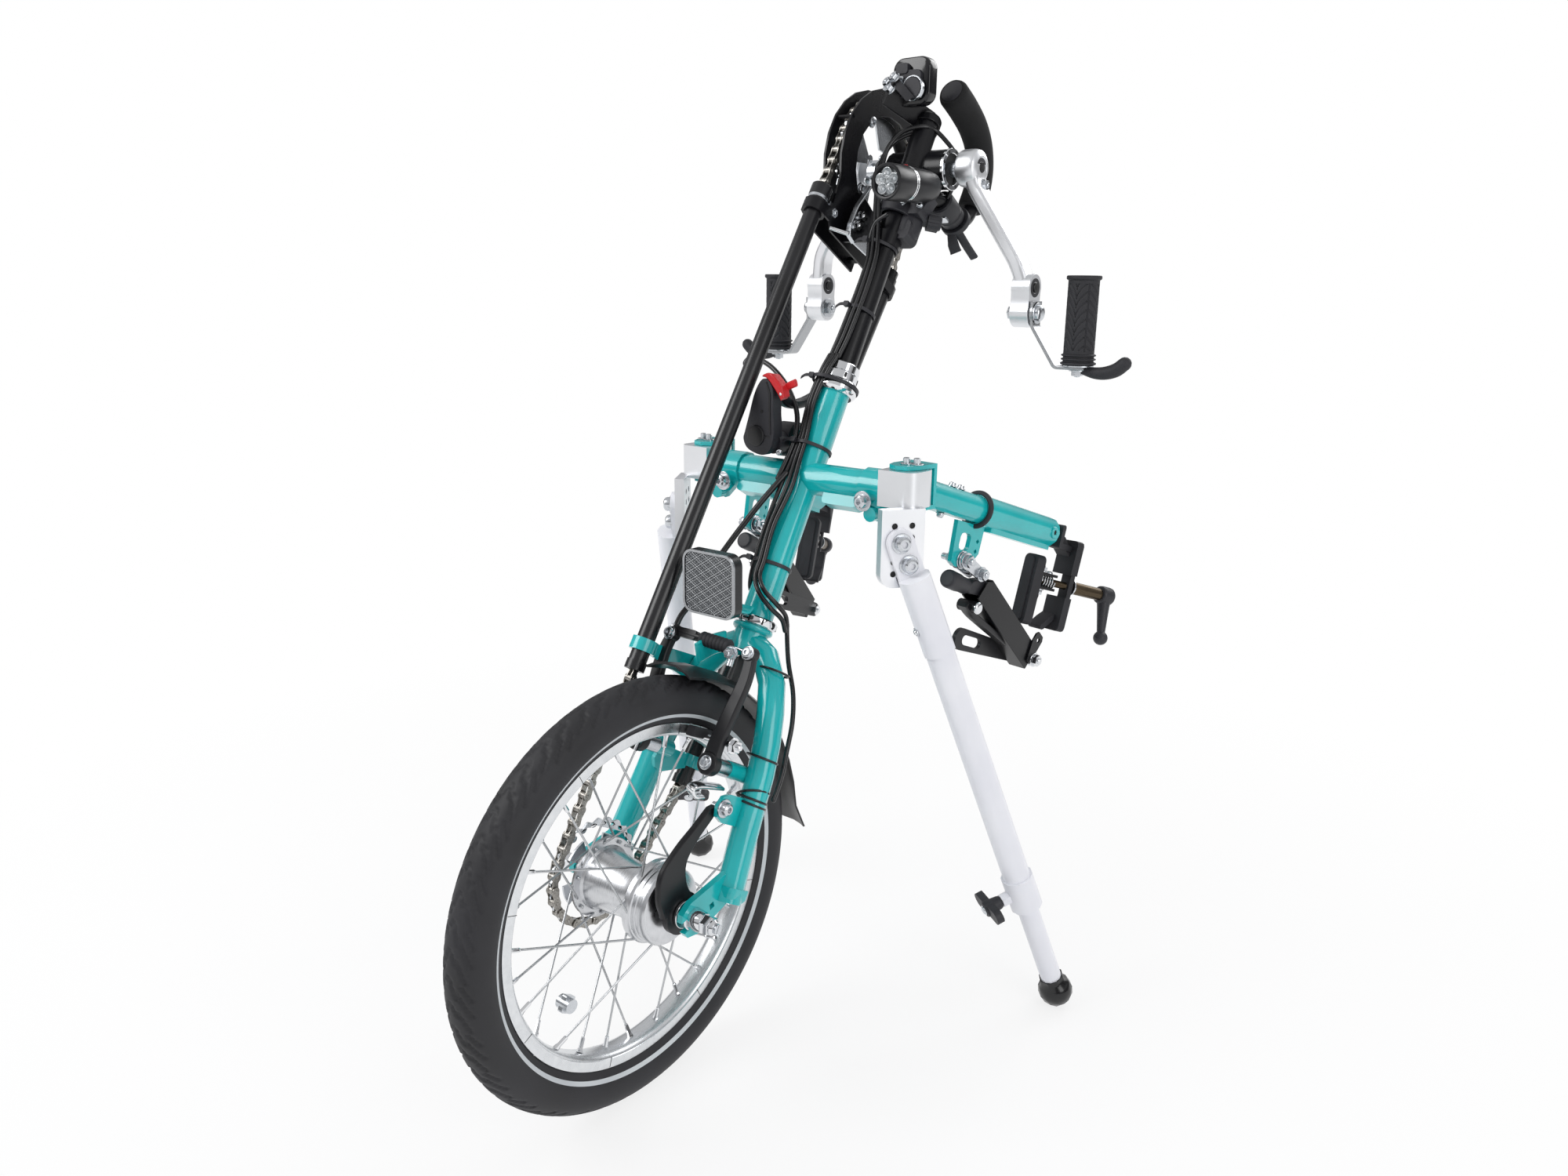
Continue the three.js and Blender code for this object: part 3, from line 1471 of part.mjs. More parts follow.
function noodleAndBoot() {
  const bootFrom = vec(-brakeArmTopX, brakeArmY, -brakeArmTopDrop);
  const bootTo = vec(brakeArmTopX * 0.42, brakeArmY, -brakeArmTopDrop);
  const noodle = [
    bootFrom.clone().add(vec(brakeBoltRadius, 0, 0)),
    bootFrom.clone().add(vec(-brakeBoltRadius * 2, -noodleRadius, brakeBoltRadius)),
    bootFrom.clone().add(vec(-brakeBoltRadius * 2, -noodleRadius * 2, brakeBoltRadius * 3)),
    bootFrom.clone().add(vec(brakeBoltRadius, -noodleRadius * 3, brakeBoltRadius * 5)),
  ];
  return join(
    rod(bootFrom, bootTo, bootRadius, bootRadius, smallSides),
    sweep(noodle, noodleRadius, 8, cableSides),
  );
}

steered.add(part("left_brake_arm", brakeArm(1), blackPaint()));
steered.add(part("right_brake_arm", join(brakeArm(-1), noodleAndBoot()), blackPaint()));

// Mudguard: an arched section swept round the wheel, flaring away from the tyre at its tail
function mudguard() {
  const section = (radius) => {
    const across = [-1, -0.72, -0.3, 0.3, 0.72, 1];
    const outer = across.map((u) => [u * mudHalfWidth, radius - guardCrown * u * u]);
    const inside = mudHalfWidth - mudThickness * 0.3;
    const inner = across.map((u) => [u * inside, radius - mudThickness - guardCrown * u * u]);
    return [...outer, ...inner.reverse()];
  };
  const rings = [];
  for (let deg = mudStartDeg; deg <= mudEndDeg; deg += mudStep) {
    const angle = THREE.MathUtils.degToRad(deg);
    const tail = Math.max(0, (deg - mudFlareDeg) / (mudEndDeg - mudFlareDeg));
    const radius = guardSweepRadius + mudFlare * tail * tail;
    const [along, up] = [Math.sin(angle), Math.cos(angle)];
    rings.push(section(radius).map(([x, r]) => vec(x, wheelCentre.y + r * along, wheelCentre.z + r * up)));
  }
  const topZ = crownTop - crownDepth - gap;
  const tabFoot =
    wheelCentre.z + Math.sqrt((guardSweepRadius - mudThickness) ** 2 - (mudTabY - wheelCentre.y) ** 2);
  const tab = plate(
    "y",
    outline([
      [-mudTabWidth / 2, tabFoot],
      [mudTabWidth / 2, tabFoot],
      [mudTabWidth / 2, topZ],
      [-mudTabWidth / 2, topZ],
    ]),
    mudTabThickness,
    mudTabY,
  );
  return join(loft(rings), tab);
}

steered.add(part("mudguard", mudguard(), blackPlastic()));

// Front reflector on its bent steel strip
function reflector() {
  const upright = new THREE.Matrix4().makeRotationX(headLean);
  const place = new THREE.Matrix4().makeTranslation(0, reflectorY, reflectorZ).multiply(upright);
  const housing = plate("y", roundedBox(reflectorWidth, reflectorHeight, reflectorRound), reflectorDepth, 0);
  const back = vec(0, reflectorY + reflectorDepth / 2, reflectorZ - reflectorHeight * 0.3);
  const seat = vec(0, -crownRadius - gap - reflectorStripThickness / 2, crownTop - crownDepth * 0.6);
  const strip = [
    [back.y, back.z],
    [seat.y, seat.z - reflectorStripWidth / 2],
    [seat.y, seat.z + reflectorStripWidth / 2],
  ];
  const bodies = [moved(housing, place)];
  for (let i = 0; i + 1 < strip.length; i++)
    bodies.push(
      plate("x", link(strip[i], strip[i + 1], reflectorStripThickness / 2), reflectorStripWidth, 0),
    );
  return join(bodies);
}

steered.add(part("front_reflector", reflector(), clear()));

// Torch-shaped headlamp beside the mast, and its clamp
function headlamp() {
  const lens = lampHeadRadius * 0.86;
  const barrel = revolve("y", [
    [0, lampRadius * 0.2],
    [lens, lampRadius * 0.2],
    [lens, 0],
    [lampHeadRadius, 0],
    [lampHeadRadius, lampHeadLength],
    [lampRadius, lampHeadLength * 1.2],
    [lampRadius, lampLength * 0.62],
    [lampRadius * 1.05, lampLength * 0.64],
    [lampRadius * 1.05, lampLength * 0.94],
    [lampRadius * 0.9, lampLength],
    [0, lampLength],
  ], roundSides);
  return barrel;
}

function lampClamp() {
  const z = lampClampAt;
  const ringFrom = vec(0, 0, z - lampClampHeight);
  const ringTo = vec(0, 0, z);
  const ring = pipe(ringFrom, ringTo, lampClampRadius, mastRadius + gap);
  const root = vec(mastRadius + lampClampRadius * 0.2, 0, z - lampClampHeight * 0.6);
  const saddle = vec(lampX, lampY * 0.12, z + lampClampHeight * 0.1);
  const neck = rod(root, saddle, lampClampHeight * 0.36, lampClampHeight * 0.5, smallSides);
  const knobFrom = vec(lampClampRadius * 0.8, 0, z - lampClampHeight * 0.6);
  const knob = rod(
    knobFrom,
    knobFrom.clone().add(vec(lampKnobLength * 1.2, lampKnobLength, 0)),
    lampKnobRadius,
  );
  return join(ring, neck, knob);
}

const lampPlace = new THREE.Matrix4()
  .makeTranslation(lampX, lampY, lampHeight)
  .multiply(new THREE.Matrix4().makeRotationX(headLean));
const lampClear = bore(vec(0, 0, 0), vec(0, 0, mastTop), mastRadius + gap);
const lampBody = join(moved(headlamp(), lampPlace), cut(lampClamp(), lampClear));
steered.add(part("headlamp", lampBody, blackPlastic()));

// Display on its bracket from the top of the mast
function display() {
  const upright = new THREE.Matrix4().makeRotationX(headLean);
  const z = mastTop + displayRise - mastCapHeight;
  const place = new THREE.Matrix4().makeTranslation(0, displayY, z).multiply(upright);
  const shell = plate("y", roundedBox(displayWidth, displayHeight, displayRound), displayDepth, 0);
  const back = rod(vec(0, -displayDepth / 2 - discDepth, 0), vec(0, 0, 0), discRadius);
  const arm = [
    [
      mastCapRadius + displayArmThickness / 2 - mastCapRadius,
      mastTop + mastCapHeight / 4 + gap + displayArmThickness / 2,
    ],
    [displayY, z - displayHeight * 0.3],
  ];
  const strip = plate("x", link(arm[0], arm[1], displayArmThickness / 2), displayArmWidth, 0);
  return join(moved(join(shell, back), place), strip);
}

steered.add(part("display_unit", display(), blackPlastic()));

// Foam-covered hand rest behind the cranks, with the gear shifter on its bar
const restPoints = [
  vec(restX * 0.5, mastRadius * 0.9, restRootZ),
  ...restShares.map(([y, z]) => vec(restX, restReach * y, crankHeight + restReach * z)),
];

function handRest() {
  const bar = sweep(restPoints.slice(0, 6), restBarRadius, 8, smallSides);
  const sleeve = sweep(restPoints.slice(5), restFoamRadius, 6, roundSides);
  const round = ball(restPoints[restPoints.length - 1], restFoamRadius * 0.98, smallSides);
  const z = restPoints[1].z;
  const clamp = pipe(
    vec(0, 0, z - restClampHeight / 2),
    vec(0, 0, z + restClampHeight / 4),
    restClampRadius,
    mastRadius + gap,
  );
  const through = bore(vec(0, 0, 0), vec(0, 0, mastTop), mastRadius + gap);
  const shellClear = bore(
    vec(-shellHalfWidth, bracketCentre.y, bracketCentre.z),
    vec(shellHalfWidth, bracketCentre.y, bracketCentre.z),
    shellRadius + gap * 2,
  );
  const shifter = rod(
    vec(restX, shifterStart, z),
    vec(restX, shifterStart + shifterLength, z + overrun),
    shifterRadius,
  );
  return cut(join(bar, sleeve, round, clamp, shifter), through, shellClear);
}

steered.add(part("hand_rest", handRest(), foam()));

function shiftTrigger() {
  const y = shifterStart + shifterLength + gap + triggerHubWidth;
  const z = restPoints[2].z;
  const hub = pipe(
    vec(restX, y - triggerHubWidth / 2, z),
    vec(restX, y + triggerHubWidth / 2, z),
    triggerRadius * 0.86,
    fit(restBarRadius, smallSides) + overrun * 2,
  );
  const arm = link(
    [restX, z - triggerRadius * 0.7],
    [restX + triggerThickness, z - triggerReach],
    triggerWidth / 2,
  );
  return join(hub, plate("y", arm, triggerHubWidth, y));
}

steered.add(part("shift_trigger", shiftTrigger(), blackPlastic()));

// Parking brake lever on the stub of the frame, drawn upright about the stub
const leverGroup = new THREE.Group();
leverGroup.position.set(leverX, 0, leverBarHeight);
leverGroup.rotation.x = headLean;
frameGroup.add(leverGroup);

const leverPivot = [leverPivotY + leverBladeWidth, leverPivotZ];

function leverBody() {
  const half = leverClampWidth / 2;
  const ring = rod(vec(-half, 0, 0), vec(half, 0, 0), leverClampRadius);
  const depth = leverBodyBack - leverBodyFront;
  const body = plate(
    "x",
    outline([
      [leverBodyFront + depth * 0.3, leverBodyBottom],
      [leverBodyBack + depth * 0.3, leverBodyBottom],
      [leverBodyBack + depth * 0.2, -leverBodyBottom],
      [leverBodyBack, leverPivotZ - leverBladeWidth],
      [leverBodyBack - depth * 0.5, leverBodyTop],
      [leverBodyFront + depth * 0.2, leverBodyTop],
      [leverBodyFront, leverBodyTop * 0.62],
    ]),
    leverBodyWidth,
  );
  const bodies = [ring, body];
  const cuts = [bore(vec(-leverBodyWidth, 0, 0), vec(leverBodyWidth, 0, 0), fit(leverBarRadius))];
  const eyes = [
    { root: [leverPivotY, leverPivotZ], eye: leverPivot, pin: leverPivotRadius },
    { root: [lockY, leverBodyTop - leverEarRadius], eye: [lockY, lockZ], pin: lockPinRadius },
  ];
  for (const { root, eye, pin } of eyes) {
    for (const side of [-1, 1]) {
      const middle = (side * (leverBodyWidth - leverEarThickness)) / 2;
      bodies.push(plate("x", link(root, eye, leverEarRadius), leverEarThickness, middle));
    }
    const hole = fit(pin, smallSides);
    cuts.push(bore(vec(-leverBodyWidth, ...eye), vec(leverBodyWidth, ...eye), hole, smallSides));
  }
  return cut(join(bodies), cuts);
}

function leverBlade() {
  const pivot = leverPivot;
  const knuckle = [(pivot[0] + leverTipY) / 2, leverTipZ];
  const half = leverBladeThickness / 2;
  const nose = outline([
    [pivot[0], pivot[1] - leverBladeWidth / 2],
    [knuckle[0], knuckle[1] - leverBladeWidth / 3],
    [leverTipY, leverTipZ - half],
    [leverTipY + half, leverTipZ],
    [leverTipY, leverTipZ + half],
    [knuckle[0], knuckle[1] + leverBladeWidth / 2],
    [pivot[0], pivot[1] + leverBladeWidth / 2],
    [pivot[0] - half, pivot[1]],
  ]);
  return join(plate("x", nose, leverBladeThickness), leverPin(pivot, leverPivotRadius));
}

function leverPin(at, radius) {
  const reach = leverBodyWidth / 2;
  return rod(vec(-reach, ...at), vec(reach, ...at), radius, radius, linkSides);
}

function parkingLock() {
  const tip = [lockY + lockLength, lockZ - lockThickness];
  const slab = plate("x", link([lockY, lockZ], tip, lockThickness, lockThickness * 0.7), lockWidth);
  return join(slab, leverPin([lockY, lockZ], lockPinRadius));
}

leverGroup.add(part("brake_lever_body", leverBody(), blackPlastic()));
leverGroup.add(part("brake_lever", leverBlade(), blackPaint()));
leverGroup.add(part("parking_lock", parkingLock(), red()));

// Cables: three outer casings side by side along the mast, and the same along the head tube
function cableRun(radius, z0, z1, steps) {
  const bodies = [];
  for (let i = 0; i < 3; i++) {
    const angle = -Math.PI * 0.62 - (i * bundleOffset) / (radius + cableRadius);
    const out = radius + gap + cableRadius;
    const from = vec(out * Math.cos(angle), out * Math.sin(angle), z0);
    bodies.push(rod(from, vec(from.x, from.y, z1), cableRadius + gap, cableRadius + gap, cableSides));
  }
  for (let i = 0; i < steps; i++) {
    const z = z0 + ((i + 0.5) / steps) * (z1 - z0);
    bodies.push(
      pipe(
        vec(0, 0, z - tieRadius / 2),
        vec(0, 0, z + tieRadius / 2),
        radius + gap + 2 * cableRadius + tieRadius / 2,
        fit(radius, smallSides),
        smallSides,
      ),
    );
  }
  return join(bodies);
}

const mastCables = cableRun(mastRadius, upperCupTop + locknutHeight + overrun, guardFloorZ(), 2);

function guardFloorZ() {
  return crankHeight - guardFloor - overrun;
}

steered.add(part("mast_cables", mastCables, blackPlastic()));
frameGroup.add(
  part(
    "frame_cables",
    cableRun(headTubeRadius, headTubeBottom + cupHeight, crossbarHeight - crossbarRadius - overrun, 1),
    blackPlastic(),
  ),
);

// Gear cable on the left fork blade, held by loops round the blade
function forkCable() {
  const out = forkBladeRadius + bladeClearance + cableRadius;
  const splay = (bladeEndX - bladeMidX) / (bladeEndDrop - bladeMidDrop);
  const bladeAt = (drop) => bladeMidX + (drop - bladeMidDrop) * splay;
  const from = vec(bladeAt(bladeMidDrop), out, -bladeMidDrop);
  const to = vec(bladeAt(bladeEndDrop * 0.86), out, -bladeEndDrop * 0.86);
  const bodies = [rod(from, to, cableRadius, cableRadius, cableSides)];
  const slope = to.clone().sub(from).normalize();
  for (const drop of [loopDropHigh, loopDropLow]) {
    const centre = vec(bladeAt(drop), 0, -drop);
    const a = centre.clone().addScaledVector(slope, -tieRadius / 2);
    const b = centre.clone().addScaledVector(slope, tieRadius / 2);
    bodies.push(
      pipe(a, b, out + cableRadius, fit(forkBladeRadius + bladeClearance / 2, smallSides), smallSides),
    );
  }
  return join(bodies);
}

steered.add(part("fork_cable", forkCable(), blackPlastic()));

// Frames of the leg, seated on the hanger, and of the swivelling arm
const legFrame = new THREE.Matrix4()
  .makeTranslation(legShift, legOffset, -legDrop)
  .multiply(new THREE.Matrix4().makeRotationY(-legTilt));

// Everything from here on is made for the rider's left and mirrored for the right.
// Corner block with its spigot, swivel bore and the drilled leg hanger
function cornerBlock(hangerFrame) {
  const [x0, x1] = [crossbarHalf + gap, crossbarHalf + gap + blockWidth];
  const [y0, y1] = [blockFront, blockFront + blockDepth];
  const shape = new THREE.Shape();
  shape.moveTo(x0, y0);
  shape.lineTo(x1 - blockRound, y0);
  shape.absarc(x1 - blockRound, y0 + blockRound, blockRound, -Math.PI / 2, 0);
  shape.absarc(x1 - blockRound, y1 - blockRound, blockRound, 0, Math.PI / 2);
  shape.lineTo(x0, y1);
  const block = plate("z", shape, blockHeight, blockCentreZ);
  const bar = crossbarCentre();
  const spigot = rod(vec(x0 - spigotLength, bar.y, bar.z), vec(x0 + gap, bar.y, bar.z), spigotRadius);
  const pinHole = bore(
    vec(swivelX, swivelY, blockCentreZ - blockHeight / 2),
    vec(swivelX, swivelY, blockCentreZ + blockHeight / 2),
    fit(swivelPinRadius, smallSides),
    smallSides,
  );
  const legAxis = new THREE.Matrix4().multiplyMatrices(hangerFrame, legFrame);
  const sleeveClear = bore(
    vec(0, 0, -sleeveTopAt + overrun / 2),
    vec(0, 0, -sleeveBottomAt),
    fit(legSleeveRadius + gap, roundSides),
  );
  return cut(join(block, spigot, moved(hanger(), hangerFrame)), pinHole, moved(sleeveClear, legAxis));
}

function crossbarCentre() {
  return vec(
    0,
    headBottom.y + crossbarHeight * Math.sin(headLean),
    headBottom.z + crossbarHeight * Math.cos(headLean),
  );
}

function hanger() {
  const half = hangerWidth / 2;
  const shape = new THREE.Shape();
  shape.moveTo(half, weldDepth * 2);
  shape.lineTo(-half, weldDepth * 2);
  shape.lineTo(-half, hangerRound - hangerLength);
  shape.absarc(hangerRound - half, hangerRound - hangerLength, hangerRound, Math.PI, Math.PI * 1.5);
  shape.absarc(half - hangerRound, hangerRound - hangerLength, hangerRound, Math.PI * 1.5, Math.PI * 2);
  for (let column = 0; column < hangerColumns; column++)
    for (let row = 0; row < hangerRows; row++) {
      const hole = new THREE.Path();
      const u = (column - (hangerColumns - 1) / 2) * hangerColumnPitch;
      hole.absarc(u, -hangerFirstRow - row * hangerHolePitch, hangerHoleRadius, 0, Math.PI * 2);
      shape.holes.push(hole);
    }
  return plate("y", shape, hangerThickness, hangerCentre, holeSegments);
}

const hangerFrame = new THREE.Matrix4()
  .makeTranslation(hangerX, hangerY, blockCentreZ - blockHeight / 2)
  .multiply(new THREE.Matrix4().makeRotationZ(hangerTurn));

function legUpper() {
  const back = hangerCentre - hangerThickness / 2 - gap - legOffset;
  const lug = plate(
    "y",
    link([0, 0], [0, -sleeveTopAt - legSleeveRadius / 2], lugPlateWidth / 2),
    lugPlateThickness,
    back - lugPlateThickness / 2,
    5,
  );
  const bodies = [
    lug,
    rod(vec(0, 0, -sleeveTopAt), vec(0, 0, -sleeveBottomAt), legSleeveRadius),
    rod(vec(0, 0, -sleeveBottomAt + weldDepth), vec(0, 0, -legTubeBottomAt - weldDepth), legTubeRadius),
    rod(vec(0, 0, -legTubeBottomAt), vec(0, 0, -legCollarBottomAt), legCollarRadius),
  ];
  const collarMiddle = -(legTubeBottomAt + legCollarBottomAt) / 2;
  bodies.push(
    rod(
      vec(0, 0, collarMiddle),
      vec(-legBossReach, 0, collarMiddle),
      legBossRadius,
      legBossRadius,
      linkSides,
    ),
  );
  const boltBack = back - lugPlateThickness;
  for (const at of [0, legBoltPitch])
    bodies.push(
      rod(
        vec(0, boltBack - legBoltHead, -at),
        vec(0, boltBack + weldDepth, -at),
        legBoltRadius,
        legBoltRadius,
        linkSides,
      ),
    );
  const hollow = bore(vec(0, 0, -legHollowTopAt), vec(0, 0, -legCollarBottomAt), legTubeBore);
  const spring = bore(
    vec(-legSleeveRadius - legButtonHeight, 0, -legButtonAt),
    vec(-legSleeveRadius + legButtonHeight * 2, 0, -legButtonAt),
    legButtonRadius + gap,
    smallSides,
  );
  return cut(join(bodies), hollow, spring);
}

function legInner() {
  return rod(vec(0, 0, -legInnerTopAt - legInnerRadius), vec(0, 0, -legInnerBottomAt), legInnerRadius);
}

function legFoot() {
  const centre = vec(0, 0, -footCentreAt);
  const rounded = join(
    ball(centre, footRadius, roundSides),
    rod(
      centre.clone().setZ(footRadius - footCentreAt),
      centre,
      footRadius * 0.72,
      footRadius * 0.72,
      smallSides,
    ),
  );
  const socket = rod(vec(0, 0, -legCollarBottomAt), vec(0, 0, -legInnerBottomAt - gap), legInnerRadius + gap);
  return cut(rounded, socket);
}

function legKnob() {
  const from = -legBossReach - gap;
  const wing = link([-knobWing, 0], [knobWing, 0], knobThickness, knobThickness);
  const middle = from - knobNeck - knobThickness / 2;
  return join(
    rod(
      vec(from, 0, 0),
      vec(from - knobNeck - weldDepth, 0, 0),
      legBossRadius * 0.8,
      legBossRadius,
      smallSides,
    ),
    plate("x", wing, knobThickness, middle),
  );
}

function legButton() {
  const from = -legSleeveRadius + legButtonHeight;
  return rod(
    vec(from, 0, 0),
    vec(-legSleeveRadius - legButtonHeight, 0, 0),
    legButtonRadius,
    legButtonRadius,
    smallSides,
  );
}

// Swivel bracket: two flanges and a web round the block, the swivel pin and the inner arm tube
const armFrame = new THREE.Matrix4()
  .makeTranslation(swivelX, swivelY, blockCentreZ)
  .multiply(new THREE.Matrix4().makeRotationZ(-armTurn));
const dipped = new THREE.Matrix4().makeRotationX(-armDip);

function armBracket() {
  const inside = blockHeight / 2 + gap;
  const flange = new THREE.Shape();
  flange.absarc(0, 0, bracketWidth / 2, Math.PI, Math.PI * 2);
  flange.lineTo(bracketWidth / 2, bracketBack + bracketThickness);
  flange.lineTo(-bracketWidth / 2, bracketBack + bracketThickness);
  const bodies = [-1, 1].map((side) =>
    plate("z", flange, bracketThickness, side * (inside + bracketThickness / 2)),
  );
  const web = roundedBox(bracketWidth, blockHeight + bracketThickness, bracketThickness / 2);
  bodies.push(plate("y", web, bracketThickness, bracketBack + bracketThickness / 2));
  bodies.push(
    rod(
      vec(0, 0, -inside - weldDepth),
      vec(0, 0, inside + weldDepth),
      swivelPinRadius,
      swivelPinRadius,
      smallSides,
    ),
  );
  const top = inside + bracketThickness;
  for (const [x, y] of [
    [0, 0],
    [bracketWidth * 0.3, bracketWidth * 0.12],
  ])
    bodies.push(
      rod(
        vec(x, y, top - weldDepth),
        vec(x, y, top + bracketScrewHeight),
        bracketScrewRadius,
        bracketScrewRadius,
        linkSides,
      ),
    );
  const tube = moved(rod(vec(0, bracketBack, 0), vec(0, armInnerEnd, 0), armInnerRadius), dipped);
  const front = plate(
    "y",
    roundedBox(bracketWidth * 3, bracketWidth * 3, bracketThickness),
    bracketBack,
    bracketBack / 2,
  );
  const pinAndFlanges = join(bodies);
  return join(cut(tube, front), pinAndFlanges);
}

function armSleeve() {
  const tube = rod(vec(0, armOuterStart, 0), vec(0, armOuterEnd, 0), armOuterRadius);
  const cap = rod(
    vec(0, armOuterEnd - weldDepth, 0),
    vec(0, armOuterEnd + armCapLength, 0),
    armOuterRadius,
    armOuterRadius * 0.86,
  );
  const ring = rod(vec(0, armOuterStart, 0), vec(0, armOuterStart + oRingWidth, 0), oRingRadius);
  const gutterMiddle = (armOuterStart + flangeLength / 2 + armOuterEnd) / 2;
  const gutterLength = armOuterEnd - armOuterStart - flangeLength / 2;
  const gutter = plate(
    "z",
    roundedBox(gutterWidth, gutterLength, gutterDepth / 2),
    gutterDepth,
    -armOuterRadius,
  );
  const flange = new THREE.Shape();
  flange.moveTo(armOuterStart + overrun, -armOuterRadius * 0.6);
  flange.lineTo(armOuterStart + overrun, -armInnerRadius - gap * 4);
  flange.lineTo(flangeStart, -armInnerRadius - gap * 4);
  flange.lineTo(flangeStart + flangeLength * 0.1, -flangeDrop + flangeBoltRadius);
  flange.lineTo(flangeStart + flangeLength * 0.24, -flangeDrop);
  flange.lineTo(flangeStart + flangeLength * 0.7, -flangeDrop);
  flange.lineTo(flangeStart + flangeLength, -flangeHoleDrop - flangeHole / 2);
  flange.lineTo(flangeStart + flangeLength, -armOuterRadius * 0.6);
  const window = roundedBox(flangeHole, flangeHole, flangeHole / 4);
  const hole = moved(
    plate("x", window, flangePlate * 2, 0),
    new THREE.Matrix4().makeTranslation(0, flangeHoleAt, -flangeHoleDrop),
  );
  const smallHoles = [0.3, 0.9].map((share) =>
    plate(
      "x",
      disc(
        flangeStart + flangeLength * 0.86,
        -flangeHoleDrop + flangeHole * (0.5 - share),
        smallHoleRadius,
      ),
      flangePlate * 2,
      0,
    ),
  );
  const pivotHole = plate(
    "x",
    disc(flangeBoltAt, -flangeBoltDrop, fit(flangeBoltRadius, smallSides)),
    flangePlate * 2,
    0,
    smallSides / 2,
  );
  const clear = bore(vec(0, 0, 0), vec(0, armInnerEnd + flangeLength / 2, 0), armOuterBore);
  const body = join(
    tube,
    cap,
    ring,
    moved(gutter, new THREE.Matrix4().makeTranslation(0, gutterMiddle, 0)),
    plate("x", flange, flangePlate, 0),
  );
  return cut(body, hole, smallHoles, pivotHole, clear);
}

// Clamp frame: y runs along the spindle, away from the front jaw
const clampFrame = new THREE.Matrix4()
  .makeTranslation(0, clampAt, -clampDrop)
  .multiply(new THREE.Matrix4().makeRotationZ(-clampTurn));

function fixedJaw() {
  const face = jawOpening;
  const pad = plate(
    "y",
    roundedBox(jawWidth, jawHalfHeight * 2, jawThickness / 2),
    jawThickness,
    face + jawThickness / 2,
  );
  const notch = plate(
    "y",
    roundedBox(jawWidth * 2, yokeHeight * 2 + yokeThickness * 2 + gap * 4, yokeThickness),
    jawThickness * 2,
    face,
  );
  const bodies = [cut(pad, notch)];
  const bridgeY = face + jawThickness + wingThickness / 2 - weldDepth;
  bodies.push(
    plate("y", roundedBox(neckWidth * 0.7, jawHalfHeight * 1.1, wingThickness / 2), wingThickness, bridgeY),
  );
  for (const side of [-1, 1]) {
    const sweepLine = [
      [face + jawThickness - wingThickness / 2, side * jawHalfHeight * 0.62],
      [face + jawThickness * 0.2 - wingSweep / 2, side * jawHalfHeight * 0.8],
      [face - wingSweep, side * jawHalfHeight * 0.98],
    ];
    for (let i = 0; i + 1 < sweepLine.length; i++)
      bodies.push(
        plate(
          "x",
          link(sweepLine[i], sweepLine[i + 1], wingThickness / 2),
          neckWidth,
          (jawWidth - neckWidth) / -2,
        ),
      );
  }
  const spindleHole = bore(
    vec(0, 0, 0),
    vec(0, face + jawThickness + wingThickness, 0),
    spindleScrewRadius + gap,
  );
  return cut(join(bodies), spindleHole);
}

// The neck that bolts the fixed jaw to the end of the arm
function jawNeck() {
  const capEnd = armOuterEnd + armCapLength + gap;
  const topOfJaw = vec(0, jawOpening + jawThickness, jawHalfHeight * 0.8).applyMatrix4(clampFrame);
  const line = [
    [capEnd + wingThickness / 2, armOuterRadius * 0.5],
    [capEnd + wingThickness / 2, -armOuterRadius * 0.7],
    [topOfJaw.y - wingThickness / 2, topOfJaw.z],
  ];
  const bodies = [];
  for (let i = 0; i + 1 < line.length; i++)
    bodies.push(plate("x", link(line[i], line[i + 1], wingThickness / 2), neckWidth, topOfJaw.x / 2));
  bodies.push(
    rod(
      vec(0, capEnd, 0),
      vec(0, capEnd + wingThickness * 1.8, 0),
      armOuterRadius * 0.42,
      armOuterRadius * 0.42,
      linkSides,
    ),
  );
  return join(bodies);
}

function movingJaw() {
  const height = jawHalfHeight + frontJawRise;
  const bar = roundedBox(frontJawWidth, height, frontJawWidth * 0.3);
  const pad = plate("y", bar, frontJawThickness, -frontJawThickness / 2);
  const bodies = [pad.translate([0, 0, frontJawRise - height / 2])];
  const plateLength = jawOpening * 0.72;
  for (const side of [-1, 1])
    bodies.push(
      plate(
        "z",
        roundedBox(yokeWidth, plateLength + frontJawThickness, yokeThickness),
        yokeThickness,
        side * (yokeHeight - yokeThickness / 2),
        3,
      ).translate([0, (plateLength - frontJawThickness) / 2 - weldDepth, 0]),
    );
  bodies.push(
    rod(
      vec(0, -weldDepth, 0),
      vec(0, spindleReach * 0.86, 0),
      spindleScrewRadius,
      spindleScrewRadius,
      linkSides,
    ),
  );
  const coil = [[spindleScrewRadius * 0.5, 0]];
  const coilPitch = springLength / springTurns;
  for (let i = 0; i < springTurns; i++) {
    coil.push([springRadius - springWire * 1.4, i * coilPitch]);
    coil.push([springRadius, (i + 0.5) * coilPitch]);
  }
  coil.push([springRadius - springWire * 1.4, springLength]);
  coil.push([spindleScrewRadius * 0.5, springLength]);
  bodies.push(revolve("y", coil, smallSides).translate([0, springLength * 0.25, 0]));
  return join(bodies);
}

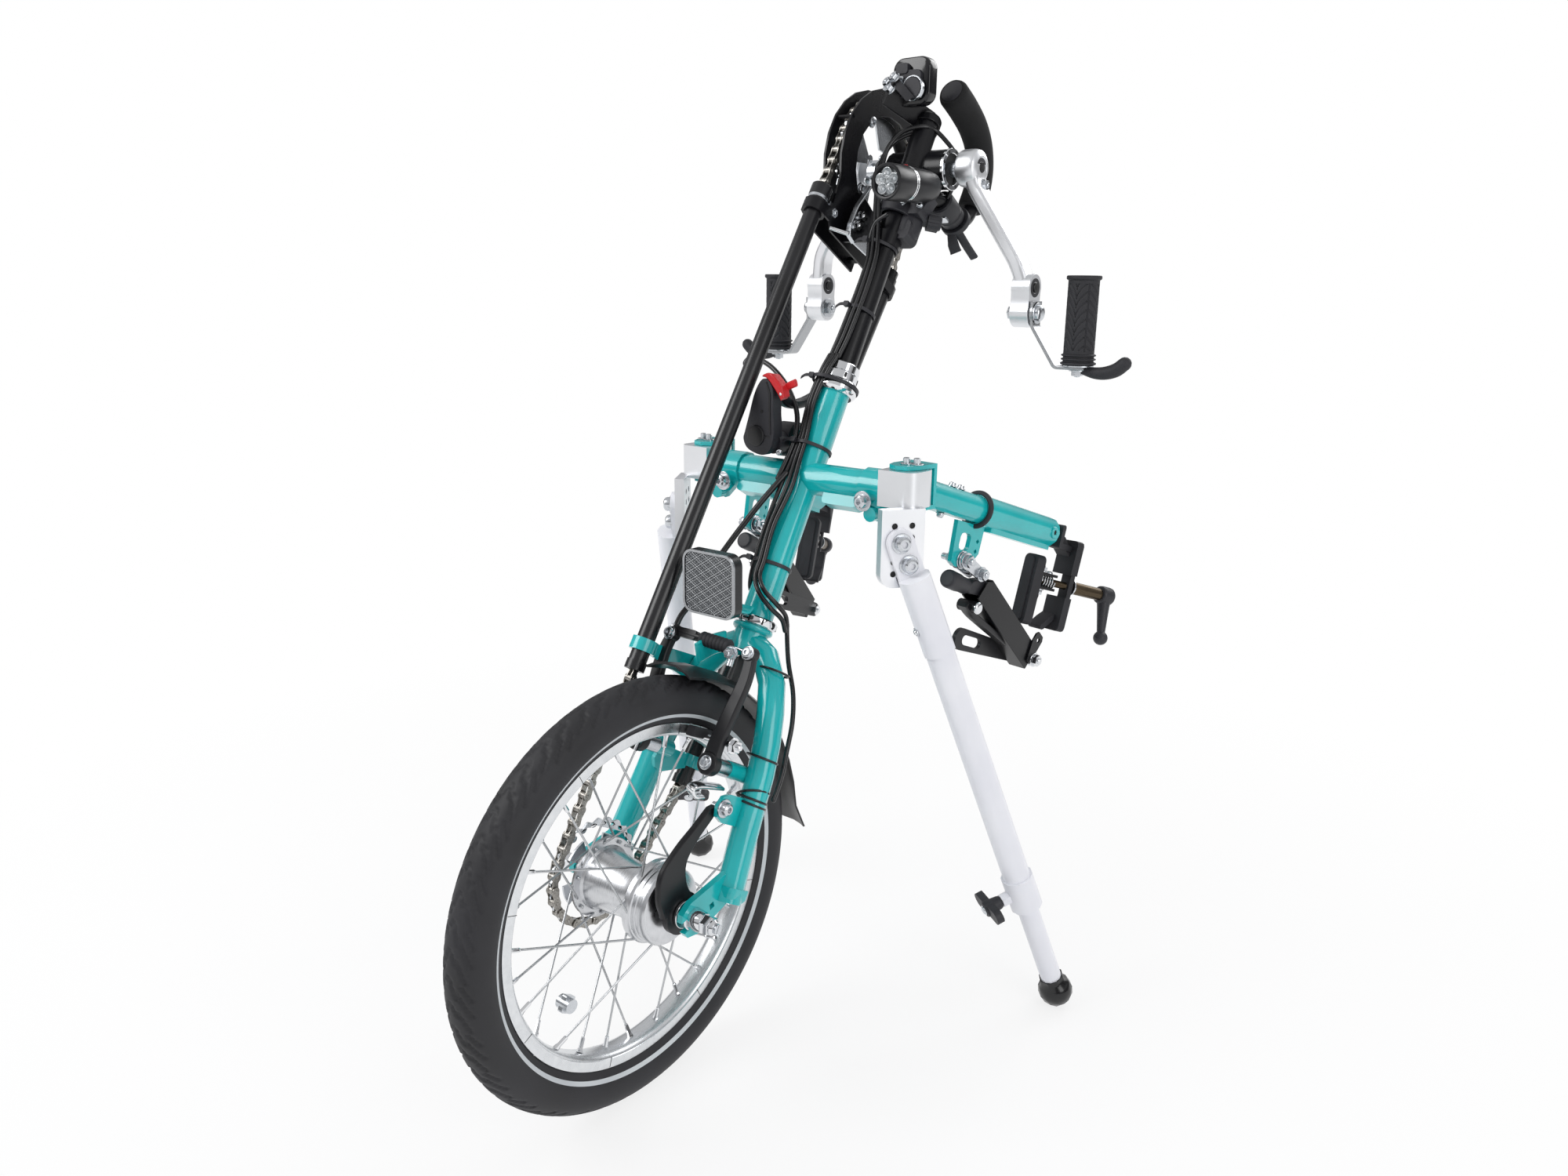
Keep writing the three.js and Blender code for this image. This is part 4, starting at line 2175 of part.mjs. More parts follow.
function clampHandle() {
  const from = jawOpening + jawThickness + wingThickness + gap;
  const end = from + spindleReach - handleHubLength;
  const sleeve = pipe(
    vec(0, from, 0),
    vec(0, end, 0),
    spindleScrewRadius * 1.7,
    fit(spindleScrewRadius, smallSides),
    smallSides,
  );
  const hub = rod(
    vec(0, end - weldDepth, 0),
    vec(0, end + handleHubLength, 0),
    handleHubRadius,
    handleHubRadius,
    roundSides,
  );
  const middle = vec(0, end + handleHubLength / 2, 0);
  const reach = vec(Math.sin(handleTurn), 0, -Math.cos(handleTurn)).multiplyScalar(handleLength);
  const tip = middle.clone().add(reach);
  return join(
    sleeve,
    hub,
    rod(middle, tip, handleRodRadius * 1.3, handleRodRadius * 0.8, smallSides),
    ball(tip, handleBallRadius, smallSides),
  );
}

// Docking lever: a link, a folded cover, the grip stub, the lower bar and the slotted plate
function dockingLever() {
  const boltHalf = flangePlate / 2 + gap;
  const side = boltHalf + dockLinkThickness / 2;
  const headRadius = flangeBoltRadius * 1.7;
  const bodies = [
    rod(
      vec(-boltHalf - dockLinkThickness, 0, 0),
      vec(boltHalf + dockLinkThickness * 2, 0, 0),
      flangeBoltRadius,
      flangeBoltRadius,
      linkSides,
    ),
    rod(
      vec(boltHalf, 0, 0),
      vec(boltHalf + dockLinkThickness * 1.8, 0, 0),
      headRadius,
      headRadius,
      linkSides,
    ),
    rod(
      vec(-boltHalf, 0, 0),
      vec(-boltHalf - dockLinkThickness * 1.2, 0, 0),
      headRadius,
      headRadius,
      linkSides,
    ),
    plate("x", link([0, 0], [dockLinkLength, dockLinkRise], dockLinkWidth / 2), dockLinkThickness, side),
  ];
  const boxMiddle = dockBoxStart + dockBoxLength / 2;
  const box = plate("x", roundedBox(dockBoxLength, dockBoxHeight, dockWall), dockBoxWidth);
  const hollow = plate(
    "x",
    roundedBox(dockBoxLength - dockWall * 2, dockBoxHeight, dockWall),
    dockBoxWidth - dockWall * 2,
  );
  bodies.push(cut(box, hollow.translate([0, 0, -dockWall])).translate([0, boxMiddle, dockBoxLift]));
  const stubTo = vec(0, stubAt + stubLength, -stubEndDrop);
  bodies.push(rod(vec(0, stubAt, -stubDrop), stubTo, stubRadius));
  const neck = [dockBoxStart + dockBoxHeight / 2, dockBoxLift];
  bodies.push(
    plate("x", link([stubTo.y - stubRadius, stubTo.z], neck, stubRadius * 0.7), dockBoxWidth * 0.6),
  );
  const end = [dockBoxStart + dockBoxLength + dockBarThickness / 2, 0];
  const barStart = [dockBoxStart, -dockBarDrop];
  bodies.push(plate("x", link(barStart, end, dockBarThickness / 2), dockBoxWidth * 0.7));
  const slotted = link([0, 0], [-dockPlateLength, 0], dockPlateWidth / 3, dockPlateWidth / 2);
  const slot = link([-dockPlateLength + dockSlotLength, 0], [-dockPlateLength, 0], dockSlotRadius);
  const plateBody = cut(plate("x", slotted, dockPlateThickness), plate("x", slot, dockPlateThickness * 2));
  const turned = new THREE.Matrix4()
    .makeTranslation(-dockBoxWidth / 2 - dockPlateThickness / 2 + gap, end[0], end[1])
    .multiply(new THREE.Matrix4().makeRotationX(dockPlateTurn));
  bodies.push(moved(plateBody, turned));
  const boltReach = dockBoxWidth * 0.8;
  bodies.push(
    rod(vec(-boltReach, ...end), vec(boltReach, ...end), flangeBoltRadius, flangeBoltRadius, linkSides),
  );
  return join(bodies);
}

const dockFrame = new THREE.Matrix4()
  .makeTranslation(0, flangeBoltAt, -flangeBoltDrop)
  .multiply(new THREE.Matrix4().makeRotationX(-dockTurn));

function framed(matrix, parent) {
  const group = new THREE.Group();
  group.applyMatrix4(matrix);
  parent.add(group);
  return group;
}

function side(name, mirror) {
  const group = new THREE.Group();
  group.scale.x = mirror;
  handcycle.add(group);
  group.add(part(name + "_corner_block", cornerBlock(hangerFrame), anodised()));

  const hung = framed(hangerFrame, group);
  const leg = framed(legFrame, hung);
  leg.add(part(name + "_leg_tube", legUpper(), whitePaint()));
  leg.add(part(name + "_leg_inner_tube", legInner(), whitePaint()));
  leg.add(part(name + "_leg_foot", legFoot(), rubber()));
  const knob = part(name + "_leg_knob", legKnob(), blackPlastic());
  knob.position.z = -(legTubeBottomAt + legCollarBottomAt) / 2;
  leg.add(knob);
  const button = part(name + "_leg_button", legButton(), steel());
  button.position.z = -legButtonAt;
  leg.add(button);

  const swivelling = framed(armFrame, group);
  swivelling.add(part(name + "_arm_bracket", armBracket(), teal()));
  const arm = framed(dipped, swivelling);
  arm.add(part(name + "_arm_sleeve", armSleeve(), teal()));
  const clamp = framed(clampFrame, arm);
  const neck = moved(jawNeck(), new THREE.Matrix4().copy(clampFrame).invert());
  clamp.add(part(name + "_fixed_jaw", join(fixedJaw(), neck), rubber()));
  clamp.add(part(name + "_moving_jaw", movingJaw(), rubber()));
  clamp.add(part(name + "_clamp_handle", clampHandle(), blackPlastic()));
  const dock = framed(dockFrame, arm);
  dock.add(part(name + "_docking_lever", dockingLever(), blackPaint()));
}

side("left", 1);
side("right", -1);

export default handcycle;
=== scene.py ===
"""Looks of the clip-on handcycle: its finishes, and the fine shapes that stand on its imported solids."""
import json
import math

import bmesh
import bpy
import numpy as np
from mathutils import Matrix, Vector
from mathutils.geometry import tessellate_polygon

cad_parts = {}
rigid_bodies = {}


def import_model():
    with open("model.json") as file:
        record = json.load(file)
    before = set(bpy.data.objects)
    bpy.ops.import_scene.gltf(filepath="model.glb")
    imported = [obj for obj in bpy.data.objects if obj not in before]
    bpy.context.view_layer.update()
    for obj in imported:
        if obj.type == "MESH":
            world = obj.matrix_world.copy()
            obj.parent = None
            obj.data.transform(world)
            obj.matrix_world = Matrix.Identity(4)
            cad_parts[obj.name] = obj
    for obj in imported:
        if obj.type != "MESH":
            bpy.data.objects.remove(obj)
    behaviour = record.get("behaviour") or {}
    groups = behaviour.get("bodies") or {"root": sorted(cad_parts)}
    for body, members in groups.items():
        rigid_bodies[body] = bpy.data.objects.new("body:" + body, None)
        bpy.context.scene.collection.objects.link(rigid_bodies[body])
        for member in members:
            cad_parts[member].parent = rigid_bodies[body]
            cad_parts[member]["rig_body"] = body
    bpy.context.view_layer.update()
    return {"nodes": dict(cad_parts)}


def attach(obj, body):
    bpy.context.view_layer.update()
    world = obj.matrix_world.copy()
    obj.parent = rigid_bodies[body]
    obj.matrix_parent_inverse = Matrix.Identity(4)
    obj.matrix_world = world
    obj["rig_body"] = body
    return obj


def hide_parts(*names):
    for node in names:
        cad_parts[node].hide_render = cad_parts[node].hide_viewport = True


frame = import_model()

METRES = Matrix.Scale(0.001, 4)


def shift(x, y, z):
    return Matrix.Translation((x, y, z))


def turn(degrees, axis):
    return Matrix.Rotation(math.radians(degrees), 4, axis)


# Places of the object's own parts, in millimetres, as the solids have them.
# The steering frame has its z along the head tube, and each pair below is (y, z) in it.
STEERING_LEAN = 30
AXLE_AT = (-36.6, -270.6)
SPINDLE_AT = (17.6, 509.5)
CHAIN_X = -56
ROW = shift(0, -180.4, 0)
HEAD = ROW @ shift(0, 166.997, 415.547) @ turn(-STEERING_LEAN, "X")
UPRIGHT = turn(STEERING_LEAN, "X")
WHEEL = HEAD @ shift(0, *AXLE_AT)
SPROCKET = HEAD @ shift(CHAIN_X, *AXLE_AT)
RING = HEAD @ shift(CHAIN_X, *SPINDLE_AT)
CRANKS = HEAD @ shift(0, *SPINDLE_AT) @ UPRIGHT
LEVER = HEAD @ shift(-34, 0, 190) @ UPRIGHT
MIRROR = Matrix.Scale(-1, 4, (1, 0, 0))
SIDES = {"left": ROW, "right": ROW @ MIRROR}
CRANK_SIDES = {"left": CRANKS, "right": CRANKS @ MIRROR}
FORK_SIDES = {"left": HEAD, "right": HEAD @ MIRROR}


def hanger_place(side):
    return SIDES[side] @ shift(137, 208, 535.95) @ turn(56, "Z")


def leg_place(side):
    return hanger_place(side) @ shift(-3.9, -10.7, -27.4) @ turn(-21.7, "Y")


def swivel_place(side):
    return SIDES[side] @ shift(121, 236, 552.7) @ turn(-8, "Z")


def arm_place(side):
    return swivel_place(side) @ turn(-17.5, "X")


def clamp_place(side):
    return arm_place(side) @ shift(0, 250, -52) @ turn(-17, "Z")


def dock_place(side):
    return arm_place(side) @ shift(0, 108, -52) @ turn(-28.5, "X")


def linear(hex_colour):
    """An sRGB hex colour as the linear colour that a shader takes."""
    parts = [int(hex_colour[i : i + 2], 16) / 255 for i in (1, 3, 5)]
    return [c / 12.92 if c <= 0.04045 else ((c + 0.055) / 1.055) ** 2.4 for c in parts] + [1]


def add(tree, kind, settings=None, links=None, stops=()):
    """A node with its settings, the links into it and the coloured stops of its ramp."""
    made = tree.nodes.new(kind)
    for key, value in (settings or {}).items():
        if isinstance(key, int) or key in made.inputs:
            made.inputs[key].default_value = value
        else:
            setattr(made, key, value)
    for key, source in (links or {}).items():
        tree.links.new(source, made.inputs[key])
    for index, (position, colour) in enumerate(stops):
        marks = made.color_ramp.elements
        mark = marks[index] if index < len(marks) else marks.new(position)
        mark.position = position
        mark.color = colour
    return made


def surface(name, shader):
    """A new material with its shader's fixed settings, and the place to link a pattern to."""
    material = bpy.data.materials.new(name)
    material.use_nodes = True
    tree = material.node_tree
    tree.nodes.clear()
    principled = add(tree, "ShaderNodeBsdfPrincipled", shader)
    add(tree, "ShaderNodeOutputMaterial", None, {"Surface": principled.outputs["BSDF"]})
    place = add(tree, "ShaderNodeTexCoord")
    return material, tree, principled, place.outputs["Object"]


def worked(tree, principled, cloud, grain, tones, gloss, lift):
    """Colour and roughness follow one pattern, and another one raises the surface."""
    dark, light, low, high = tones
    colour = add(
        tree, "ShaderNodeValToRGB", None, {"Fac": cloud}, ((low, linear(dark)), (high, linear(light)))
    )
    rough = add(tree, "ShaderNodeMapRange", {"To Min": gloss[0], "To Max": gloss[1]}, {"Value": cloud})
    bump = add(tree, "ShaderNodeBump", {"Strength": lift[0], "Distance": lift[1] / 1000}, {"Height": grain})
    for socket, source in (("Base Color", colour), ("Roughness", rough), ("Normal", bump)):
        tree.links.new(source.outputs[0], principled.inputs[socket])


def grained(name, dark, light, roughness, grain_mm, depth_mm, metallic=0.0, spread=0.06, **shader):
    """Two close tones over a fine grain that also lifts the surface: moulded, cast and coated skins."""
    fixed = {"Metallic": metallic}
    fixed.update({key.replace("_", " "): value for key, value in shader.items()})
    material, tree, principled, place = surface(name, fixed)
    # Clouds some 55 mm across: a skin is never one even tone
    cloud = add(tree, "ShaderNodeTexNoise", {"Scale": 18.0, "Detail": 3.0}, {"Vector": place})
    grain = add(tree, "ShaderNodeTexNoise", {"Scale": 1000 / grain_mm, "Detail": 2.0}, {"Vector": place})
    gloss = (max(roughness - spread, 0.02), roughness + spread)
    worked(tree, principled, cloud.outputs["Fac"], grain.outputs["Fac"], (dark, light, 0.3, 0.7), gloss,
           (0.5, depth_mm))
    return material


def drawn(name, dark, light, roughness, line_mm, stretch, depth_mm=0.02):
    """Metal with the fine lines of brushing or turning: noise stretched along the axes of stretch."""
    material, tree, principled, place = surface(name, {"Metallic": 1.0})
    lines = add(tree, "ShaderNodeMapping", {"Scale": stretch}, {"Vector": place}).outputs["Vector"]
    fine = add(tree, "ShaderNodeTexNoise", {"Scale": 1000 / line_mm, "Detail": 4.0}, {"Vector": lines})
    lined = fine.outputs["Fac"]
    gloss = (roughness * 0.75, roughness * 1.3)
    worked(tree, principled, lined, lined, (dark, light, 0.25, 0.75), gloss, (0.35, depth_mm))
    return material


# Powder coat on steel tube: a wet-looking teal with the faint ripple that sprayed powder keeps
teal = grained(
    "teal_powder_coat", "#0CB2B5", "#14BDBF", 0.2, 2.4, 0.03, spread=0.04, Coat_Weight=0.5,
    Coat_Roughness=0.06
)
# Black powder coat on the mast and guard: deeper gloss than plastic, with the same ripple
black_coat = grained(
    "black_powder_coat", "#0D0D10", "#141418", 0.28, 1.6, 0.03, spread=0.05, Specular_IOR_Level=0.32
)
# Black anodised and painted levers: satin, almost no grain
black_satin = grained(
    "black_anodised", "#121215", "#1A1A1E", 0.36, 0.9, 0.015, spread=0.06, Specular_IOR_Level=0.4
)
# Glass-filled nylon: fine moulded grain, dull sheen
nylon = grained("black_nylon", "#232328", "#2D2D33", 0.5, 0.7, 0.05, spread=0.07)
# Soft ABS housings: smoother than nylon
abs_black = grained("black_abs", "#111113", "#1A1A1D", 0.34, 1.1, 0.03, spread=0.05)
# Injection-moulded cover with a polished face
gloss_black = grained("polished_black_abs", "#0E0E10", "#17171A", 0.12, 2.0, 0.01, spread=0.03)
# Hose-like PVC of the chain tubes and cable casings
pvc = grained("black_pvc", "#131315", "#1C1C1F", 0.27, 3.0, 0.04, spread=0.05)
# Red ABS of the parking lock
red_abs = grained("red_abs", "#B5161C", "#CC2027", 0.35, 1.0, 0.03)
# Tyre rubber compound
tyre_rubber = grained("tyre_rubber", "#1B1B1E", "#29292D", 0.62, 0.8, 0.06, spread=0.08)
# Moulded rubber of grips, jaws and boots
moulded_rubber = grained("moulded_rubber", "#222226", "#2D2D32", 0.66, 0.6, 0.08, spread=0.08)
# Polished rubber ball of the foot
foot_rubber = grained("foot_rubber", "#0D0D0F", "#161618", 0.2, 2.0, 0.02, spread=0.03)
# Closed-cell foam: visible cells, no shine
foam = grained("closed_cell_foam", "#131314", "#202022", 0.92, 1.3, 0.25, spread=0.04)
# White powder coat on the leg tubes, cooler than paper
white_coat = grained(
    "white_powder_coat", "#EDEEF5", "#F5F6FB", 0.32, 2.0, 0.03, spread=0.04, Coat_Weight=0.2
)
# Bead-blasted and clear anodised aluminium: even satin, with a grain that only shows close by
anodised = grained(
    "clear_anodised_aluminium", "#E4E6E9", "#EFF0F3", 0.38, 1.0, 0.006, metallic=1.0, spread=0.03
)
# The same alloy machined bright on the rim
rim_alloy = drawn("turned_rim_aluminium", "#D7DADD", "#E8EAEC", 0.28, 0.35, (1, 0.05, 0.05), 0.006)
# Turned hub shell: rings round the axle
hub_alloy = drawn("turned_hub_aluminium", "#C6C8CB", "#DEDFE2", 0.28, 0.3, (1, 0.03, 0.03), 0.008)
# Bright zinc plate on bolts, washers and brackets
zinc = drawn("zinc_plated_steel", "#C3C7CC", "#DADDE1", 0.24, 0.8, (1, 1, 1), 0.006)
# Stainless wire of the spokes
stainless = drawn("stainless_wire", "#A9ABAE", "#D3D5D7", 0.24, 0.6, (1, 1, 1))
# Nickel chain, oiled, so its low places are brown
chain_steel = drawn("nickel_chain_steel", "#77716A", "#C2C0BB", 0.33, 1.6, (1, 1, 1))
# Chrome on the headset and axle nuts
chrome = grained(
    "bright_chrome", "#DADCDF", "#EDEEF0", 0.07, 4.0, 0.004, metallic=1.0, spread=0.02
)
# Oil-browned steel of the clamp spindles
browned_steel = drawn("browned_steel", "#3E362C", "#6A5D4B", 0.34, 0.6, (1, 1, 1))
# Flat steel strip, satin from the rolling mill
strip_steel = drawn("rolled_steel_strip", "#9A9C9F", "#BFC1C4", 0.34, 0.5, (0.08, 1, 1))
# Painted shade: a near-black that stands for the shade inside a bolt's socket, a hole, a groove, a seam or
# a bearing
hollow_shade_paint = grained("painted_hollow_shade", "#0B0B0C", "#121214", 0.6, 1.0, 0.01)
# Retroreflecting tape of the tyre's ring: pale grey beads
reflex_tape = grained("reflex_tape", "#C3C8CC", "#D8DDE0", 0.42, 0.5, 0.03)


def prism_plastic():
    """Clear moulded polycarbonate: slanting silver lines that cross, and fold at the middle."""
    material, tree, principled, place = surface("prism_polycarbonate", {"Metallic": 0.55, "Roughness": 0.2})
    row_mm, slope = 2.2, 0.62
    axes = add(tree, "ShaderNodeSeparateXYZ", None, {"Vector": place}).outputs
    kind = "ShaderNodeMath"
    fold = add(tree, kind, {"operation": "ABSOLUTE"}, {0: axes["X"]})
    heights = []
    for lean in (slope, -slope):
        sloped = add(tree, kind, {"operation": "MULTIPLY", 1: lean}, {0: fold.outputs[0]})
        raised = add(tree, kind, {"operation": "ADD"}, {0: sloped.outputs[0], 1: axes["Z"]})
        row = add(tree, kind, {"operation": "MULTIPLY", 1: 1000 / row_mm}, {0: raised.outputs[0]})
        heights.append(add(tree, kind, {"operation": "PINGPONG", 1: 0.5}, {0: row.outputs[0]}).outputs[0])
    both = add(tree, kind, {"operation": "MULTIPLY"}, {0: heights[0], 1: heights[1]}).outputs[0]
    stops = ((0.02, linear("#63676B")), (0.14, linear("#E3E6E8")))
    tones = add(tree, "ShaderNodeValToRGB", None, {"Fac": both}, stops)
    tree.links.new(tones.outputs["Color"], principled.inputs["Base Color"])
    lift = add(tree, "ShaderNodeBump", {"Strength": 0.8, "Distance": 0.0006}, {"Height": both})
    tree.links.new(lift.outputs["Normal"], principled.inputs["Normal"])
    return material


prisms = prism_plastic()
# Grey shade between the reflector's prisms
prism_shade = grained("prism_shade", "#3A3B3F", "#55575B", 0.3, 2.0, 0.02, spread=0.05)


def lamp_glass():
    """Clear lens over a bright bowl: small cells that are pale in the middle and grey at their edges."""
    material, tree, principled, place = surface("lamp_lens", {"Metallic": 0.35, "Roughness": 0.06})
    # Cells some 5 mm across
    cells = add(tree, "ShaderNodeTexVoronoi", {"Scale": 190.0}, {"Vector": place})
    stops = ((0, linear("#F4F6F7")), (1, linear("#7E858A")))
    tones = add(tree, "ShaderNodeValToRGB", None, {"Fac": cells.outputs["Distance"]}, stops)
    tree.links.new(tones.outputs["Color"], principled.inputs["Base Color"])
    return material


lens = lamp_glass()


def lathe(profile, axis="z", sides=48, closed=False, centre=(0, 0, 0)):
    """A profile of [radius, along] turned about an axis; a radius of 0 makes a pole."""
    rings, points, faces = [], [], []
    for radius, along in profile:
        if radius == 0:
            rings.append([len(points)])
            points.append((0, 0, along))
        else:
            rings.append(list(range(len(points), len(points) + sides)))
            for i in range(sides):
                angle = 2 * math.pi * i / sides
                points.append((radius * math.cos(angle), radius * math.sin(angle), along))
    pairs = list(zip(rings, rings[1:] + rings[:1])) if closed else list(zip(rings, rings[1:]))
    for low, high in pairs:
        for i in range(sides):
            j = (i + 1) % sides
            if len(low) == 1 and len(high) == 1:
                break
            if len(low) == 1:
                faces.append((low[0], high[j], high[i]))
            elif len(high) == 1:
                faces.append((low[i], low[j], high[0]))
            else:
                faces.append((low[i], low[j], high[j], high[i]))
    if not closed:
        for ring in (rings[0], rings[-1]):
            if len(ring) > 1:
                faces.append(tuple(ring))
    order = {"x": (2, 0, 1), "y": (1, 2, 0), "z": (0, 1, 2)}[axis]
    return [tuple(p[k] + centre[i] for i, k in enumerate(order)) for p in points], faces


def smooth_line(path, steps=8):
    """Points along the centripetal curve through a path."""
    points = [Vector(p) for p in path]
    if len(points) < 3:
        return points
    ends = [points[0] * 2 - points[1], *points, points[-1] * 2 - points[-2]]
    line = []
    for i in range(1, len(ends) - 2):
        p0, p1, p2, p3 = ends[i - 1 : i + 3]
        t0 = 0.0
        t1 = t0 + max((p1 - p0).length, 1e-6) ** 0.5
        t2 = t1 + max((p2 - p1).length, 1e-6) ** 0.5
        t3 = t2 + max((p3 - p2).length, 1e-6) ** 0.5
        for k in range(steps):
            t = t1 + (t2 - t1) * k / steps
            a1 = p0 * ((t1 - t) / (t1 - t0)) + p1 * ((t - t0) / (t1 - t0))
            a2 = p1 * ((t2 - t) / (t2 - t1)) + p2 * ((t - t1) / (t2 - t1))
            a3 = p2 * ((t3 - t) / (t3 - t2)) + p3 * ((t - t2) / (t3 - t2))
            b1 = a1 * ((t2 - t) / (t2 - t0)) + a2 * ((t - t0) / (t2 - t0))
            b2 = a2 * ((t3 - t) / (t3 - t1)) + a3 * ((t - t1) / (t3 - t1))
            line.append(b1 * ((t2 - t) / (t2 - t1)) + b2 * ((t - t1) / (t2 - t1)))
    line.append(points[-1])
    return line


def each(size, line):
    """One size for all points of a line as a list, or the sizes that it already has."""
    return list(size) if hasattr(size, "__len__") else [size] * len(line)


def tube_faces(rings, sides):
    """The quads between rings of points, with a cap at each end."""
    faces = []
    for i in range(rings - 1):
        for k in range(sides):
            j = (k + 1) % sides
            faces.append((i * sides + k, i * sides + j, (i + 1) * sides + j, (i + 1) * sides + k))
    return faces + [tuple(reversed(range(sides))), tuple(range((rings - 1) * sides, rings * sides))]


def along(line, radii, sides=24, round_ends=False):
    """A round bar on a line of points, with one radius or one for each point."""
    line = [Vector(p) for p in line]
    radii = each(radii, line)
    if round_ends:
        first, last = (line[0] - line[1]).normalized(), (line[-1] - line[-2]).normalized()
        r0, r1 = radii[0], radii[-1]
        steps = [15, 35, 60, 80]
        fore = [line[0] + first * r0 * math.cos(math.radians(a)) for a in steps]
        back = [line[-1] + last * r1 * math.cos(math.radians(a)) for a in reversed(steps)]
        radii = [r0 * math.sin(math.radians(a)) for a in steps] + radii
        radii += [r1 * math.sin(math.radians(a)) for a in reversed(steps)]
        line = fore + line + back
    points = []
    side = None
    for i, p in enumerate(line):
        way = (line[min(i + 1, len(line) - 1)] - line[max(i - 1, 0)]).normalized()
        if side is None:
            side = way.orthogonal().normalized()
        side = (side - way * side.dot(way)).normalized()
        up = way.cross(side)
        for k in range(sides):
            a = 2 * math.pi * k / sides
            points.append(tuple(p + (side * math.cos(a) + up * math.sin(a)) * radii[i]))
    return points, tube_faces(len(line), sides)


def rod(start, end, radius, sides=24):
    return along([start, end], radius, sides)


def ball(centre, radius, sides=24):
    steps = sides // 2
    profile = []
    for i in range(steps + 1):
        angle = math.pi * i / steps
        reach = 0 if i in (0, steps) else radius * math.sin(angle)
        profile.append((reach, -radius * math.cos(angle)))
    return lathe(profile, "z", sides, centre=centre)


def slab(outline, thickness, axis="x", centre=0.0, holes=()):
    """A flat outline with holes, given thickness along an axis; its points are the other two, in order."""
    loops = [list(outline), *[list(hole) for hole in holes]]
    flat = [[Vector((u, v, 0)) for u, v in loop] for loop in loops]
    count = sum(len(loop) for loop in loops)
    order = {
        "x": lambda u, v, w: (w, u, v),
        "y": lambda u, v, w: (u, w, v),
        "z": lambda u, v, w: (u, v, w),
    }[axis]
    points = []
    for w in (centre - thickness / 2, centre + thickness / 2):
        points += [order(p.x, p.y, w) for loop in flat for p in loop]
    faces = [tuple(t) for t in tessellate_polygon(flat)]
    faces += [tuple(i + count for i in reversed(t)) for t in faces]
    at = 0
    for loop in loops:
        for i in range(len(loop)):
            j = (i + 1) % len(loop)
            faces.append((at + i, at + j, at + j + count, at + i + count))
        at += len(loop)
    return points, faces


def polar(radius, angle):
    return radius * math.cos(angle), radius * math.sin(angle)


def arc(u, v, radius, start, end, steps=12):
    """Points of an arc, its angles in degrees."""
    made = []
    for i in range(steps + 1):
        angle = math.radians(start + (end - start) * i / steps)
        made.append((u + radius * math.cos(angle), v + radius * math.sin(angle)))
    return made


def disc(u, v, radius, steps=24):
    return arc(u, v, radius, 0, 360, steps)[:-1]


def rounded(width, height, corner, u=0.0, v=0.0, steps=5):
    made = []
    for k, (a, b) in enumerate(((1, 1), (-1, 1), (-1, -1), (1, -1))):
        centre = (u + a * (width / 2 - corner), v + b * (height / 2 - corner))
        made += arc(*centre, corner, 90 * k, 90 * k + 90, steps)
    return made


def smooth_outline(points, steps=4):
    """A closed outline curved through its points."""
    around = [(u, v, 0) for u, v in points[-2:] + points + points[:2]]
    return [(p.x, p.y) for p in smooth_line(around, steps)[2 * steps : -steps - 1]]


def capsule(start, end, radius, end_radius=None, steps=10):
    """The outline of a bar with round ends."""
    end_radius = radius if end_radius is None else end_radius
    lean = math.degrees(math.atan2(end[1] - start[1], end[0] - start[0]))
    first = arc(*start, radius, lean + 90, lean + 270, steps)
    return first + arc(*end, end_radius, lean - 90, lean + 90, steps)


def placed(shell, matrix):
    points, faces = shell
    return [tuple(matrix @ Vector(p)) for p in points], faces


def mesh_of(name, shells):
    """One mesh from several closed shells."""
    points, faces = [], []
    for shell_points, shell_faces in shells:
        base = len(points)
        points += shell_points
        faces += [tuple(base + i for i in face) for face in shell_faces]
    mesh = bpy.data.meshes.new(name)
    mesh.from_pydata(points, [], faces)
    return mesh


def outward(mesh, merge=0.0):
    """Turns a mesh's faces outwards, its doubles merged first where it has them."""
    work = bmesh.new()
    work.from_mesh(mesh)
    if merge:
        bmesh.ops.remove_doubles(work, verts=work.verts, dist=merge)
        bmesh.ops.dissolve_limit(work, angle_limit=math.radians(0.5), verts=work.verts, edges=work.edges)
    bmesh.ops.recalc_face_normals(work, faces=work.faces)
    work.to_mesh(mesh)
    work.free()


def dressed(mesh, name, material, body, bevel=0.0, soft=35, stands_for=()):
    """A finished object from a mesh that is already in its place."""
    mesh.materials.clear()
    mesh.materials.append(material)
    mesh.shade_smooth()
    if bevel:
        mesh.set_sharp_from_angle(angle=math.pi)
    else:
        mesh.set_sharp_from_angle(angle=math.radians(soft))
    piece = bpy.data.objects.new(name, mesh)
    bpy.context.scene.collection.objects.link(piece)
    if bevel:
        edge = piece.modifiers.new("eased_edges", "BEVEL")
        edge.width = bevel / 1000
        edge.segments = 2
        edge.limit_method = "ANGLE"
        edge.angle_limit = math.radians(soft)
        flats = piece.modifiers.new("even_flats", "WEIGHTED_NORMAL")
        flats.keep_sharp = True
    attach(piece, body)
    if stands_for:
        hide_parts(*stands_for)
    return piece


def make(name, shells, place, material, body, bevel=0.0, soft=35, stands_for=()):
    """A piece from shells that are drawn in a part's own frame."""
    mesh = mesh_of(name, shells)
    mesh.transform(METRES @ place)
    outward(mesh)
    return dressed(mesh, name, material, body, bevel, soft, stands_for)


def body_of(node):
    return frame["nodes"][node]["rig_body"]


def eased(node, material, bevel):
    """A solid's own shape with its curves shaded round and its edges eased."""
    mesh = frame["nodes"][node].data.copy()
    outward(mesh, merge=2e-6)
    return dressed(mesh, node + "_skin", material, body_of(node), bevel, 32, [node])


